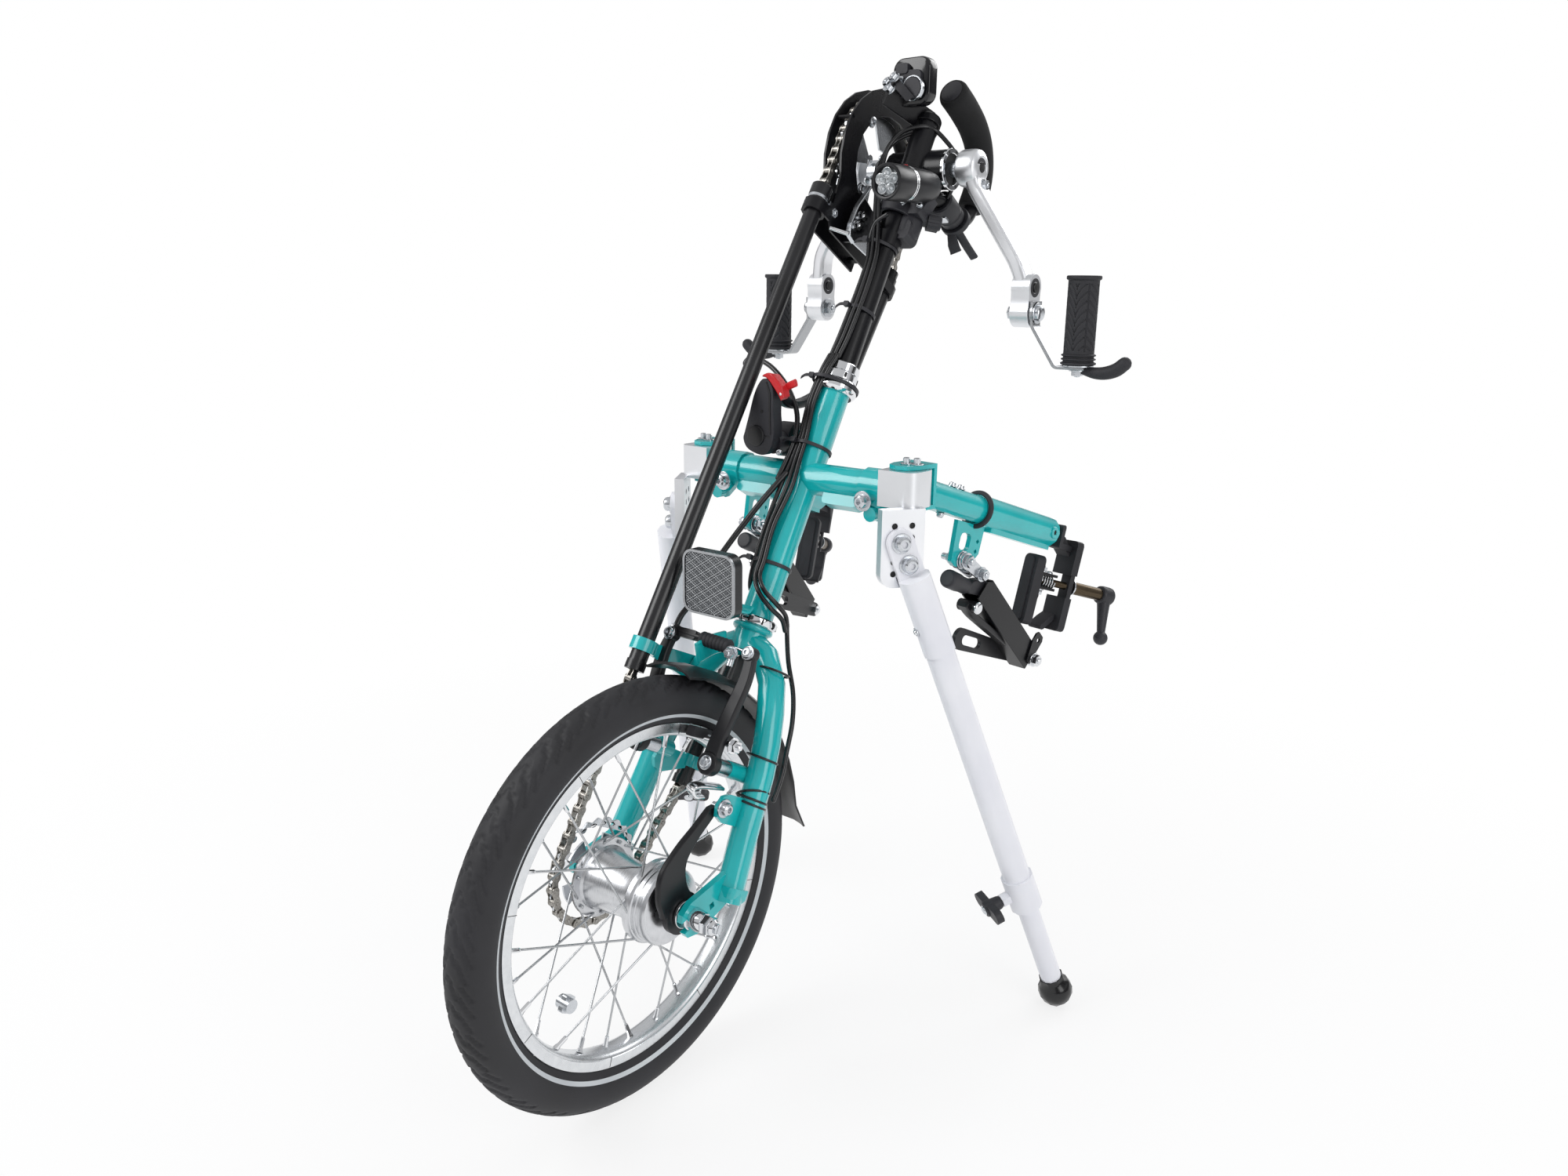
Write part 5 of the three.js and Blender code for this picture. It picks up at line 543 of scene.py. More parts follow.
def copies_tree():
    """Copies of one piece on marked points, each turned as its point says."""
    tree = bpy.data.node_groups.new("copies_on_points", "GeometryNodeTree")
    for label, kind in (("Points", "NodeSocketGeometry"), ("Piece", "NodeSocketObject")):
        tree.interface.new_socket(label, in_out="INPUT", socket_type=kind)
    tree.interface.new_socket("Size", in_out="INPUT", socket_type="NodeSocketFloat").default_value = 1.0
    tree.interface.new_socket("Finish", in_out="INPUT", socket_type="NodeSocketMaterial")
    tree.interface.new_socket("Copies", in_out="OUTPUT", socket_type="NodeSocketGeometry")
    given = add(tree, "NodeGroupInput").outputs
    shape = add(tree, "GeometryNodeObjectInfo", None, {"Object": given["Piece"]})
    way = add(tree, "GeometryNodeInputNamedAttribute", {"data_type": "FLOAT_VECTOR", "Name": "way"})
    spread = add(
        tree,
        "GeometryNodeInstanceOnPoints",
        None,
        {"Points": given["Points"], "Instance": shape.outputs["Geometry"], "Rotation": way.outputs[0]},
    )
    tree.links.new(given["Size"], spread.inputs["Scale"])
    whole = add(tree, "GeometryNodeRealizeInstances", None, {"Geometry": spread.outputs["Instances"]})
    painted = add(
        tree, "GeometryNodeSetMaterial", None,
        {"Geometry": whole.outputs["Geometry"], "Material": given["Finish"]}
    )
    add(tree, "NodeGroupOutput", None, {"Copies": painted.outputs["Geometry"]})
    return tree


COPIES = copies_tree()


def socket_name(tree, label):
    return next(s.identifier for s in tree.interface.items_tree if s.name == label and s.in_out == "INPUT")


def grown(carrier, tree, values):
    """What a tree makes of its carrier, as a plain mesh."""
    modifier = carrier.modifiers.new("grow", "NODES")
    modifier.node_group = tree
    for label, value in values.items():
        modifier[socket_name(tree, label)] = value
    bpy.context.view_layer.update()
    mesh = bpy.data.meshes.new_from_object(carrier.evaluated_get(bpy.context.evaluated_depsgraph_get()))
    bpy.data.objects.remove(carrier)
    return mesh


def copies(name, shells, spots, place, material, body, soft=35, bevel=0.0, stands_for=(), size=1.0):
    """One small piece set at many spots of a part's own frame."""
    unit_mesh = mesh_of(name + "_unit", shells)
    outward(unit_mesh)
    unit = bpy.data.objects.new(name + "_unit", unit_mesh)
    points = bpy.data.meshes.new(name + "_spots")
    points.from_pydata([tuple(spot.translation) for spot in spots], [], [])
    ways = points.attributes.new("way", "FLOAT_VECTOR", "POINT")
    ways.data.foreach_set("vector", [a for spot in spots for a in spot.to_euler("XYZ")])
    carrier = bpy.data.objects.new(name + "_carrier", points)
    for made in (unit, carrier):
        bpy.context.scene.collection.objects.link(made)
    mesh = grown(carrier, COPIES, {"Piece": unit, "Size": size, "Finish": material})
    bpy.data.objects.remove(unit)
    mesh.name = name
    mesh.transform(METRES @ place)
    if place.determinant() < 0:
        mesh.flip_normals()
    return dressed(mesh, name, material, body, bevel, soft, stands_for)


def facing(point, way):
    """A spot at a point whose own x looks along way."""
    return Matrix.Translation(point) @ Vector(way).to_track_quat("X", "Z").to_matrix().to_4x4()


def bolt_shells(radius, head, washer, lift):
    """A button-head socket bolt on its washer, standing along x from its seat."""
    seat = [(0, 0), (washer, 0), (washer, lift * 0.8), (washer - 0.4, lift), (0, lift)]
    socket, floor, top = radius * 0.42, lift + head * 0.45, lift + head
    button = [(0, lift), (radius, lift), (radius, floor), (radius * 0.9, lift + head * 0.8)]
    button += [(radius * 0.66, top), (socket, top), (socket, floor), (0, floor)]
    return [lathe(seat, "x", 28), lathe(button, "x", 28)]


def bolts(name, spots, place, body, **sizes):
    return copies(name, bolt_shells(**sizes), spots, place, zinc, body, soft=30)


def eased_line(path, reach, steps=5):
    """A line whose inner corners are rounded over a reach to both sides."""
    points = [Vector(p) for p in path]
    line = [points[0]]
    for before, corner, after in zip(points, points[1:], points[2:]):
        near = corner + (before - corner).normalized() * min(reach, (before - corner).length * 0.48)
        far = corner + (after - corner).normalized() * min(reach, (after - corner).length * 0.48)
        for k in range(steps + 1):
            t = k / steps
            line.append(near * (1 - t) ** 2 + corner * 2 * t * (1 - t) + far * t**2)
    return line + [points[-1]]


def ribbon(line, width, thickness, wide, corner=1.0, steps=2):
    """A bar of rounded rectangular section on a line, its width along a fixed direction."""
    line = [Vector(p) for p in line]
    wide = Vector(wide).normalized()
    widths, thick = each(width, line), each(thickness, line)
    last = len(line) - 1
    points = []
    for i, p in enumerate(line):
        fore = (line[min(i + 1, last)] - line[min(i, last - 1)]).normalized()
        back = (line[max(i, 1)] - line[max(i, 1) - 1]).normalized()
        way = (fore + back).normalized()
        normal = way.cross(wide).normalized()
        mitre = 1 / max(way.dot(back), 0.4)
        edge = min(corner, widths[i] * 0.49, thick[i] * 0.49)
        for u, v in rounded(widths[i], thick[i], edge, steps=steps):
            points.append(tuple(p + wide * u + normal * v * mitre))
    return points, tube_faces(len(line), 4 * (steps + 1))


def turned_on(shells, at, way):
    """Shells drawn along x, set at a point and looking along way."""
    spot = facing(at, way)
    return [placed(shell, spot) for shell in shells]


def ring_shell(inner, outer, start, end, axis="x", sides=40, ease=0.3, centre=(0, 0, 0)):
    """A plain ring with slightly eased rims."""
    profile = [
        (inner, start + ease), (inner + ease, start), (outer - ease, start), (outer, start + ease),
        (outer, end - ease), (outer - ease, end), (inner + ease, end), (inner, end - ease)
    ]
    return lathe(profile, axis, sides, closed=True, centre=centre)


def nut_shell(across, height, lift=0.0):
    """A hexagon nut or head along x, its corners turned down."""
    corner = across / math.sqrt(3)
    points = []
    for rise, share in ((0, 0.93), (0.12, 1), (0.88, 1), (1, 0.93)):
        for k in range(6):
            y, z = corner * math.cos(math.pi * k / 3), corner * math.sin(math.pi * k / 3)
            points.append((lift + height * rise, y * share, z * share))
    return points, tube_faces(4, 6)


def nut_and_bolt(across, height, washer, shank, beyond, lift=1.3):
    """A nut on its washer with the bolt's end standing out of it, along x."""
    end = lift + height + beyond
    return [
        ring_shell(0.4, washer, 0, lift, sides=28, ease=0.2),
        nut_shell(across, height, lift),
        lathe([(0, lift), (shank, lift), (shank, end - 0.6), (shank - 0.7, end), (0, end)], "x", 16),
    ]


def dome_shell(radius, height, lift=0.0, flat=0.35):
    """A domed bolt head along x."""
    profile = [(0, lift), (radius, lift), (radius, lift + height * 0.2)]
    for k in range(1, 7):
        angle = math.radians(90 * k / 6)
        reach = radius * (flat + (1 - flat) * math.cos(angle))
        profile.append((reach, lift + height * (0.2 + 0.8 * math.sin(angle))))
    profile.append((0, lift + height))
    return lathe(profile, "x", 32)


def tyre():
    """Carcass with its tread: two rows of kinked grooves that mirror each other across the crown."""
    rounds, across, repeats = 1100, 46, 28
    crown, bead = 199.4, 158.8
    groove_half, groove_edge, groove_depth = 1.75, 0.9, 1.3
    middle, half = (crown + bead) / 2, (crown - bead) / 2
    angle = np.radians(125.0) * np.linspace(-1, 1, across)
    radius = middle + half * np.cos(angle)
    wide = 21.4 * np.sin(angle)
    arc_mm = 21.0 * angle
    period = 2 * math.pi * crown / repeats
    line = np.arange(rounds) * (2 * math.pi * crown / rounds)
    s, w = np.meshgrid(line, arc_mm, indexing="ij")
    depth = np.zeros_like(s)
    # Groove lines of one repeat, as millimetres round the tyre and out from the crown
    kinks = [
        [(0, 1.2), (17, 7.0), (12, 8.6), (33, 19.0)],
        [(22, 0.6), (33, 6.4), (29, 8.0), (47, 15.5)],
        [(6, 12.5), (18, 19.5)],
    ]
    for row in kinks:
        for (s0, w0), (s1, w1) in zip(row, row[1:]):
            for flip, offset in ((1, 0.0), (-1, period / 2)):
                for wrap in (-period, 0.0, period):
                    ds, dw = s1 - s0, w1 - w0
                    u = np.mod(s + offset, period) - s0 + wrap
                    v = flip * w - w0
                    t = np.clip((u * ds + v * dw) / (ds * ds + dw * dw), 0, 1)
                    gap = np.hypot(u - t * ds, v - t * dw)
                    depth = np.maximum(depth, np.clip((groove_half - gap) / groove_edge, 0, 1))
    reach = radius[None, :] - groove_depth * depth * np.cos(angle)[None, :].clip(0.2)
    aside = wide[None, :] - groove_depth * depth * np.sin(angle)[None, :]
    round_angle = np.arange(rounds) * 2 * math.pi / rounds
    points = np.stack(
        [aside, reach * np.cos(round_angle)[:, None], reach * np.sin(round_angle)[:, None]], axis=-1
    )

    def lip(x, r):
        return [(x, r * math.cos(a), r * math.sin(a)) for a in round_angle]

    rings = [lip(-11.8, bead), lip(-12.8, 160.5)]
    rings += [[tuple(p) for p in points[:, k]] for k in range(across)]
    rings += [lip(12.8, 160.5), lip(11.8, bead)]
    flat = [p for ring in rings for p in ring]
    faces = []
    for k in range(len(rings)):
        n = (k + 1) % len(rings)
        for i in range(rounds):
            j = (i + 1) % rounds
            faces.append((k * rounds + i, k * rounds + j, n * rounds + j, n * rounds + i))
    make("tyre_with_tread", [(flat, faces)], WHEEL, tyre_rubber, "wheel", soft=60, stands_for=["tyre"])


def tyre_bands():
    """The pale reflecting ring on each sidewall, a hair proud of the rubber."""
    bands = []
    for side in (-1, 1):
        profile = [
            (164.6, side * 15.75), (168.0, side * 17.95), (168.3, side * 17.75), (164.9, side * 15.55)
        ]
        bands.append(lathe(profile, "x", 160, closed=True))
    make("tyre_reflex_rings", bands, WHEEL, reflex_tape, "wheel", soft=50)


def rim():
    """Box rim: machined brake tracks, rounded shoulders and a flat base."""
    half = [
        (145.6, 0.0), (145.6, 5.5), (146.4, 8.6), (148.2, 10.9), (149.2, 11.4), (149.6, 12.1),
        (157.0, 12.2), (158.3, 12.0), (158.5, 11.0), (157.4, 10.4), (153.0, 9.6), (152.0, 8.0),
        (151.6, 0.0)
    ]
    profile = half + [(r, -x) for r, x in reversed(half[1:-1])]
    make("rim_section", [lathe(profile, "x", 180, closed=True)], WHEEL, rim_alloy, "wheel", 0, 28, ["rim"])
    # Painted shade: thin near-black strips on both brake tracks stand for the shade in small grooves
    mark = slab([(-0.25, 148.6), (-0.25, 157.6), (0.25, 157.6), (0.25, 148.6)], 0.5, "x")
    spots = [turn(45 * k + 12, "X") @ shift(side * 12.05, 0, 0) for k in range(8) for side in (-1, 1)]
    copies("rim_wear_marks", [mark], spots, WHEEL, hollow_shade_paint, "wheel")


# Lacing: each spoke's root sits on its flange this share of a turn before or after its nipple
SPOKES = 28
SPOKE_LEAD = 0.155
FLANGE_RADIUS = 34


def spoke_lead(index):
    """Pairs of spokes lead and trail by turns."""
    return SPOKE_LEAD if index % 4 < 2 else -SPOKE_LEAD


def hub():
    """Hub shell with its drilled flanges, brake drum and driver."""
    profile = [
        (0, -46.4), (18, -46.4), (18, -44.4), (37.2, -44.4), (38, -43.8), (38, -41.6), (37.4, -41.0),
        (30.5, -40.6), (28.4, -38.6), (27.2, -34), (26.2, -20), (25.6, -4), (26.0, 6), (27.2, 15),
        (29.2, 19.4), (31.5, 20.6), (37.3, 20.8), (38, 21.4), (38, 26.2), (37.3, 27), (36.6, 28.6),
        (35.4, 29.4), (35.0, 33), (34.2, 33.6), (34.2, 37.2), (34.8, 38), (34.8, 41.2), (33.6, 43.4),
        (31.0, 44.6), (20, 44.8), (0, 44.8)
    ]
    make("hub_shell", [lathe(profile, "x", 72)], WHEEL, hub_alloy, "wheel", 0, 30, ["hub_and_spokes"])
    # Painted shade: near-black discs on the flanges stand for the shade inside the spoke holes
    holes = []
    for i in range(SPOKES):
        hub_angle = 360 * (i / SPOKES + spoke_lead(i))
        for x in ((-40.98, -44.42) if i % 2 else (27.02, 20.74)):
            holes.append(turn(hub_angle + 6, "X") @ shift(x, FLANGE_RADIUS, 0))
    bead = [lathe([(0, -0.08), (1.7, -0.08), (1.7, 0.08), (0, 0.08)], "x", 12)]
    copies("hub_flange_holes", bead, holes, WHEEL, hollow_shade_paint, "wheel")


def spokes():
    """Crossed spokes with their bends at the flanges and their nipples at the rim, four to a repeat."""
    wires, heads, nipples = [], [], []
    for i in range(4):
        outer = math.copysign(1, spoke_lead(i))
        rim_angle = 2 * math.pi * i / SPOKES
        hub_angle = rim_angle + 2 * math.pi * spoke_lead(i)
        flange = -42.6 if i % 2 else 25.6
        root = Vector((flange + outer * 2.4, *polar(FLANGE_RADIUS, hub_angle)))
        tip = Vector((0, *polar(145.8, rim_angle)))
        inside = Vector((flange - outer * 3.2, root.y, root.z))
        way = (tip - root).normalized()
        bend = root - Vector((outer * 0.6, 0, 0))
        wires.append(along([inside, bend, root + way * 2, tip], 1.05, 8))
        heads.append(ball(tuple(inside), 1.9, 10))
        back = tip - way * 13
        line = [back, back + way * 1.2, tip - way * 4, tip - way * 2.6, tip]
        nipples.append(along(line, [1.6, 2.0, 2.0, 2.6, 2.9], 8))
    spots = [turn(360 * k / 7, "X") for k in range(7)]
    copies("spoke_wires", wires + heads, spots, WHEEL, stainless, "wheel", soft=50)
    copies("spoke_nipples", nipples, spots, WHEEL, chrome, "wheel", soft=40)
    y, z = polar(112, math.radians(-118))
    magnet = [
        rod((5, y, z), (19, y, z), 6.2),
        rod((3.4, y, z), (5.1, y, z), 4.6),
        slab(rounded(11, 15, 2, y, z), 5, "x", 12),
    ]
    make("spoke_magnet", magnet, WHEEL, zinc, "wheel", 0.4)


def teeth(count, pitch_radius, seat_angle, tip=3.6, seat=4.05):
    """The outline of a roller-chain wheel, its roller seats on the pitch circle from seat_angle."""
    points = []
    step = 2 * math.pi / count
    for i in range(count):
        at = seat_angle + i * step
        inward = math.degrees(at) + 180
        points += arc(*polar(pitch_radius, at), seat, inward - 68, inward + 68, 6)
        for share, height in ((0.38, 0.86), (0.5, 1), (0.62, 0.86)):
            points.append(polar(pitch_radius + tip * height, at + step * share))
    return points


# A half-inch chain on wheels of 36 and 24 teeth
PITCH = 12.7
RING_TEETH = 36
SPROCKET_TEETH = 24
RING_R = PITCH / (2 * math.sin(math.pi / RING_TEETH))
SPROCKET_R = PITCH / (2 * math.sin(math.pi / SPROCKET_TEETH))
CENTRES = (AXLE_AT[0] - SPINDLE_AT[0], AXLE_AT[1] - SPINDLE_AT[1])
# Where the chain's front run leaves both wheels
FRONT_ANGLE = math.atan2(CENTRES[1], CENTRES[0]) - math.pi / 2
FRONT_ANGLE += math.asin((RING_R - SPROCKET_R) / math.hypot(*CENTRES))


def toothed_plates():
    """Chainring with five windows and its bolts, and the slotted sprocket with its collar."""
    windows = []
    for i in range(5):
        start, end = 360 * (i + 0.2) / 5, 360 * (i + 0.8) / 5
        windows.append(arc(0, 0, RING_R * 0.78, start, end, 10) + arc(0, 0, 24, end - 12, start + 12, 6))
    ring = [
        slab(teeth(RING_TEETH, RING_R, FRONT_ANGLE), 2.2, "x", 0, windows),
        lathe([(9, -5), (14, -5), (14, 5), (9, 5)], "x", 40, closed=True),
    ]
    make("chainring_plate", ring, RING, zinc, "cranks", 0.25, 30, ["chainring"])
    seats = [turn(72 * k, "X") @ shift(-1.1, 0, 19) @ turn(180, "Z") for k in range(5)]
    bolts("chainring_bolts", seats, RING, "cranks", radius=3.4, head=2.4, washer=4.2, lift=0.5)
    slots = []
    for i in range(5):
        at = 72 * i + 10
        slots.append(arc(0, 0, 37, at - 17, at + 17, 8) + arc(0, 0, 25, at + 15, at - 15, 8))
    plate = [
        slab(teeth(SPROCKET_TEETH, SPROCKET_R, FRONT_ANGLE), 2.2, "x", 0, slots),
        lathe([(6, -2.2), (17, -2.2), (17, 9.2), (6, 9.2)], "x", 40, closed=True),
    ]
    make("sprocket_plate", plate, SPROCKET, zinc, "sprocket", 0.25, 30, ["sprocket"])


def chain_pins():
    """The pins of the two stretches that show, as (y, z) in the steering frame."""

    def wrap(centre, radius, count, way, pins):
        made = []
        for i in range(pins + 1):
            y, z = polar(radius, FRONT_ANGLE + way * i * 2 * math.pi / count)
            made.append((centre[0] + y, centre[1] + z))
        return made

    def run(start, end):
        dy, dz = end[0] - start[0], end[1] - start[1]
        length = math.hypot(dy, dz)
        steps = [PITCH * (i + 1) / length for i in range(int(length // PITCH) + 2)]
        return [(start[0] + dy * step, start[1] + dz * step) for step in steps]

    over = wrap(SPINDLE_AT, RING_R, RING_TEETH, -1, RING_TEETH // 2)
    under = wrap(AXLE_AT, SPROCKET_R, SPROCKET_TEETH, 1, 11)
    contact = over[0]
    lean = (-math.sin(FRONT_ANGLE), math.cos(FRONT_ANGLE))

    def at(z):
        return (contact[0] + lean[0] * (z - contact[1]) / lean[1], z)

    upper = run(over[0], at(442))[::-1] + over + run(over[-1], (97, 438))
    lower = run(under[0], at(-83))[::-1] + under + run(under[-1], (43, -171))
    return upper, lower


def chain():
    """Roller chain with waisted side plates: inner and outer links by turns, rollers and riveted pins."""

    def link_plate(x, thickness):
        half, waist = 4.15, 3.0
        points = arc(0, 0, half, 65, 295, 10) + [(PITCH / 2, -waist)]
        points += arc(PITCH, 0, half, -115, 115, 10) + [(PITCH / 2, waist)]
        return slab(points, thickness, "x", x)

    outer = [link_plate(-3.9, 1.0), link_plate(3.9, 1.0)]
    inner = [link_plate(-2.55, 1.0), link_plate(2.55, 1.0)]
    inner += [rod((-2.1, y, 0), (2.1, y, 0), 3.85, sides=14) for y in (0, PITCH)]
    pin = [(0, -5.0), (1.4, -5.0), (1.8, -4.6), (1.8, 4.6), (1.4, 5.0), (0, 5.0)]
    rivets = [lathe(pin, "x", 10, centre=(0, y, 0)) for y in (0, PITCH)]
    spots = [[], []]
    for stretch in chain_pins():
        for i, (a, b) in enumerate(zip(stretch, stretch[1:])):
            lean = math.degrees(math.atan2(b[1] - a[1], b[0] - a[0]))
            spots[i % 2].append(shift(CHAIN_X, *a) @ turn(lean, "X"))
    copies(
        "chain_outer_links", outer + rivets, spots[0], HEAD, chain_steel, "steering", 40, 0,
        ["drive_chain"]
    )
    copies("chain_inner_links", inner, spots[1], HEAD, chain_steel, "steering", 40)


def socket_bolt(at, way, radius=5.2, rim=9.4):
    """Black socket bolt sunk in a dark ring: shells of the ring, the head and the hollow."""
    ring = [ring_shell(radius + 0.5, rim, -0.4, 0.5)]
    head = [lathe([(0, -0.4), (radius, -0.4), (radius, 0.9), (radius - 0.6, 1.5), (0, 1.5)], "x", 32)]
    # Painted shade: a thin near-black hexagon on the head stands for the shade in its socket
    hollow = [nut_shell(radius * 0.95, 0.3, 1.35)]
    return [turned_on(shells, at, way) for shells in (ring, head, hollow)]


# Heights of the grip's pivot and foot against the crank spindle, and how far out the grip stands
GRIP_DROP = -141.7
GRIP_FOOT = -190.9
GRIP_X = 190


def crank(side):
    """Cast crank: a round boss on the spindle, a bar that steps outwards, an end block of two bosses."""
    place = CRANK_SIDES[side]
    # The right crank starts further out, past the chain, and its boss is shorter
    shape = {"left": (47.5, 71, 64, (119, 0, -94)), "right": (70.5, 88.5, 79.5, (126, 0, -84))}
    start, end, knee, elbow = shape[side]
    boss = [
        (0, start), (15.6, start), (17.4, start + 1.4), (18.3, start + 4), (18.6, (start + end) / 2),
        (18.2, end - 6), (17.0, end - 2.6), (14.6, end - 0.8), (11.6, end), (10.4, end),
        (9.8, end - 0.8), (0, end - 0.8)
    ]
    line = eased_line([(knee, 0, 3), (knee, 0, -16), elbow, (128.4, 0, -116), (128.4, 0, -128)], 10)
    widths = [26 - 4 * min(1, max(0, -p.z) / 40) for p in line]
    arm = ribbon(line, widths, 14, (0, 1, 0), 4.2, 3)
    block = arc(0, -117, 13.4, -22, 202, 20) + [(-12.1, -129.4)]
    block += arc(0, GRIP_DROP, 14.2, 158, 382, 22) + [(12.1, -129.4)]
    shells = [lathe(boss, "x", 72), arm, slab(block, 20, "x", 128.4)]
    make(side + "_crank_forging", shells, place, anodised, "cranks", 1.1, 30, [side + "_crank"])
    faces = [((end - 0.8, 0, 0), (1, 0, 0)), ((118.4, 0, -117), (-1, 0, 0)), ((138.4, 0, -117), (1, 0, 0))]
    rings, heads, hollows = [], [], []
    for at, way in faces:
        ring, head, hollow = socket_bolt(at, way)
        rings += ring
        heads += head
        hollows += hollow
    make(side + "_crank_seals", rings, place, nylon, "cranks", soft=30)
    make(side + "_crank_socket_bolts", heads, place, black_satin, "cranks", soft=30)
    # The sockets' painted shade
    make(side + "_crank_sockets", hollows, place, hollow_shade_paint, "cranks", soft=30)
    shells = turned_on(nut_and_bolt(9, 4.5, 6.6, 2.4, 1.5), (knee + 7, 3, -17), (1, 0, 0))
    shells += turned_on([dome_shell(4.6, 3.4)], (knee - 7, 3, -17), (-1, 0, 0))
    make(side + "_crank_clamp_bolt", shells, place, zinc, "cranks", soft=30)


def grip_bracket(side):
    """Bent steel strip that turns on the crank's end block, with its bolts and rubber-covered hook."""
    place = CRANK_SIDES[side]
    face = 138.9
    plate = face + 1.7
    line = eased_line([(plate, 0, -130), (plate, 0, -154), (168, 0, -193.7), (200, 0, -193.7)], 3.5, 4)
    widths = [17 + 4 * max(0, min(1, (p.z + 154) / 12)) for p in line]
    strip = [ribbon(line, widths, 3.3, (0, 1, 0), 0.7), slab(disc(0, GRIP_DROP, 11.6, 40), 3.3, "x", plate)]
    handle = side + "_handle"
    make(side + "_grip_strip", strip, place, strip_steel, handle, 0.25, 30, [side + "_grip_bracket"])
    pivot = [ring_shell(2, 10.6, 0, 1.3), dome_shell(8.2, 5.2, 1.3)]
    shells = turned_on(pivot, (face + 3.4, 0, GRIP_DROP), (1, 0, 0))
    shells += turned_on(nut_and_bolt(12, 5.5, 10.4, 3, 1.6), (118.3, 0, GRIP_DROP), (-1, 0, 0))
    shells += turned_on(nut_and_bolt(10, 4.6, 8.5, 3, 1.2), (GRIP_X, 0, -195.3), (0, 0, -1))
    washer = [(5, -192), (15.5, -192), (15.5, GRIP_FOOT), (5, GRIP_FOOT)]
    shells += [lathe(washer, "z", 40, closed=True, centre=(GRIP_X, 0, 0))]
    make(side + "_grip_strip_bolts", shells, place, zinc, handle, soft=30)
    rest = [(198, 0, -195.6), (208, 0, -197.4), (219, 0, -197), (230, 0, -193.4), (238, 0, -187.2)]
    rest = smooth_line(rest, 6)
    swell = [4.6 + 2.2 * math.sin(math.pi * 0.62 * k / (len(rest) - 1)) for k in range(len(rest))]
    hook = [along(rest, swell, 28, True)]
    make(side + "_grip_hook", hook, place, moulded_rubber, handle, soft=50)


def grip_sleeve(side):
    """Rubber grip: ribs at its foot, a flange at its top, and raised chevrons between."""
    sides, rows = 168, 190
    core, chevron_mm, half_groove = 15.0, 8.6, 1.5
    heights = np.linspace(0, 86, rows)
    angle = np.arange(sides) * 2 * math.pi / sides
    radius = np.full(rows, core)
    for middle, half, swell in ((1.9, 1.5, 2.4), (6.1, 1.1, 1.9), (10.0, 1.1, 1.9), (84.0, 2.4, 1.9)):
        radius += swell * np.clip(1 - (np.abs(heights - middle) / half) ** 4, 0, 1)
    quarter = np.mod(angle + math.pi / 4, math.pi / 2) - math.pi / 4
    arc_mm = (np.abs(quarter) * core)[None, :]
    up = heights[:, None]
    rise = up - 3.4 * np.sqrt(arc_mm) - arc_mm * 0.35
    groove = np.abs(np.mod(rise, chevron_mm) - chevron_mm / 2)
    inside = (up > 15) & (up < 78) & (arc_mm < 10.2)
    dent = np.where(inside, np.clip((half_groove - groove) / 0.8, 0, 1) * 0.85, 0)
    seam = np.exp(-(((arc_mm - 11.2) / 0.45) ** 2)) * ((up > 13) & (up < 79)) * 0.5
    reach = radius[:, None] - dent - seam
    xs = reach * np.cos(angle)[None, :] + GRIP_X
    ys = reach * np.sin(angle)[None, :]
    zs = np.repeat(up + GRIP_FOOT, sides, axis=1)
    points = [tuple(p) for p in np.stack([xs, ys, zs], axis=-1).reshape(-1, 3)]
    shells = [(points, tube_faces(rows, sides))]
    make(
        side + "_grip_sleeve", shells, CRANK_SIDES[side], moulded_rubber, side + "_handle", 0, 40,
        [side + "_grip"]
    )


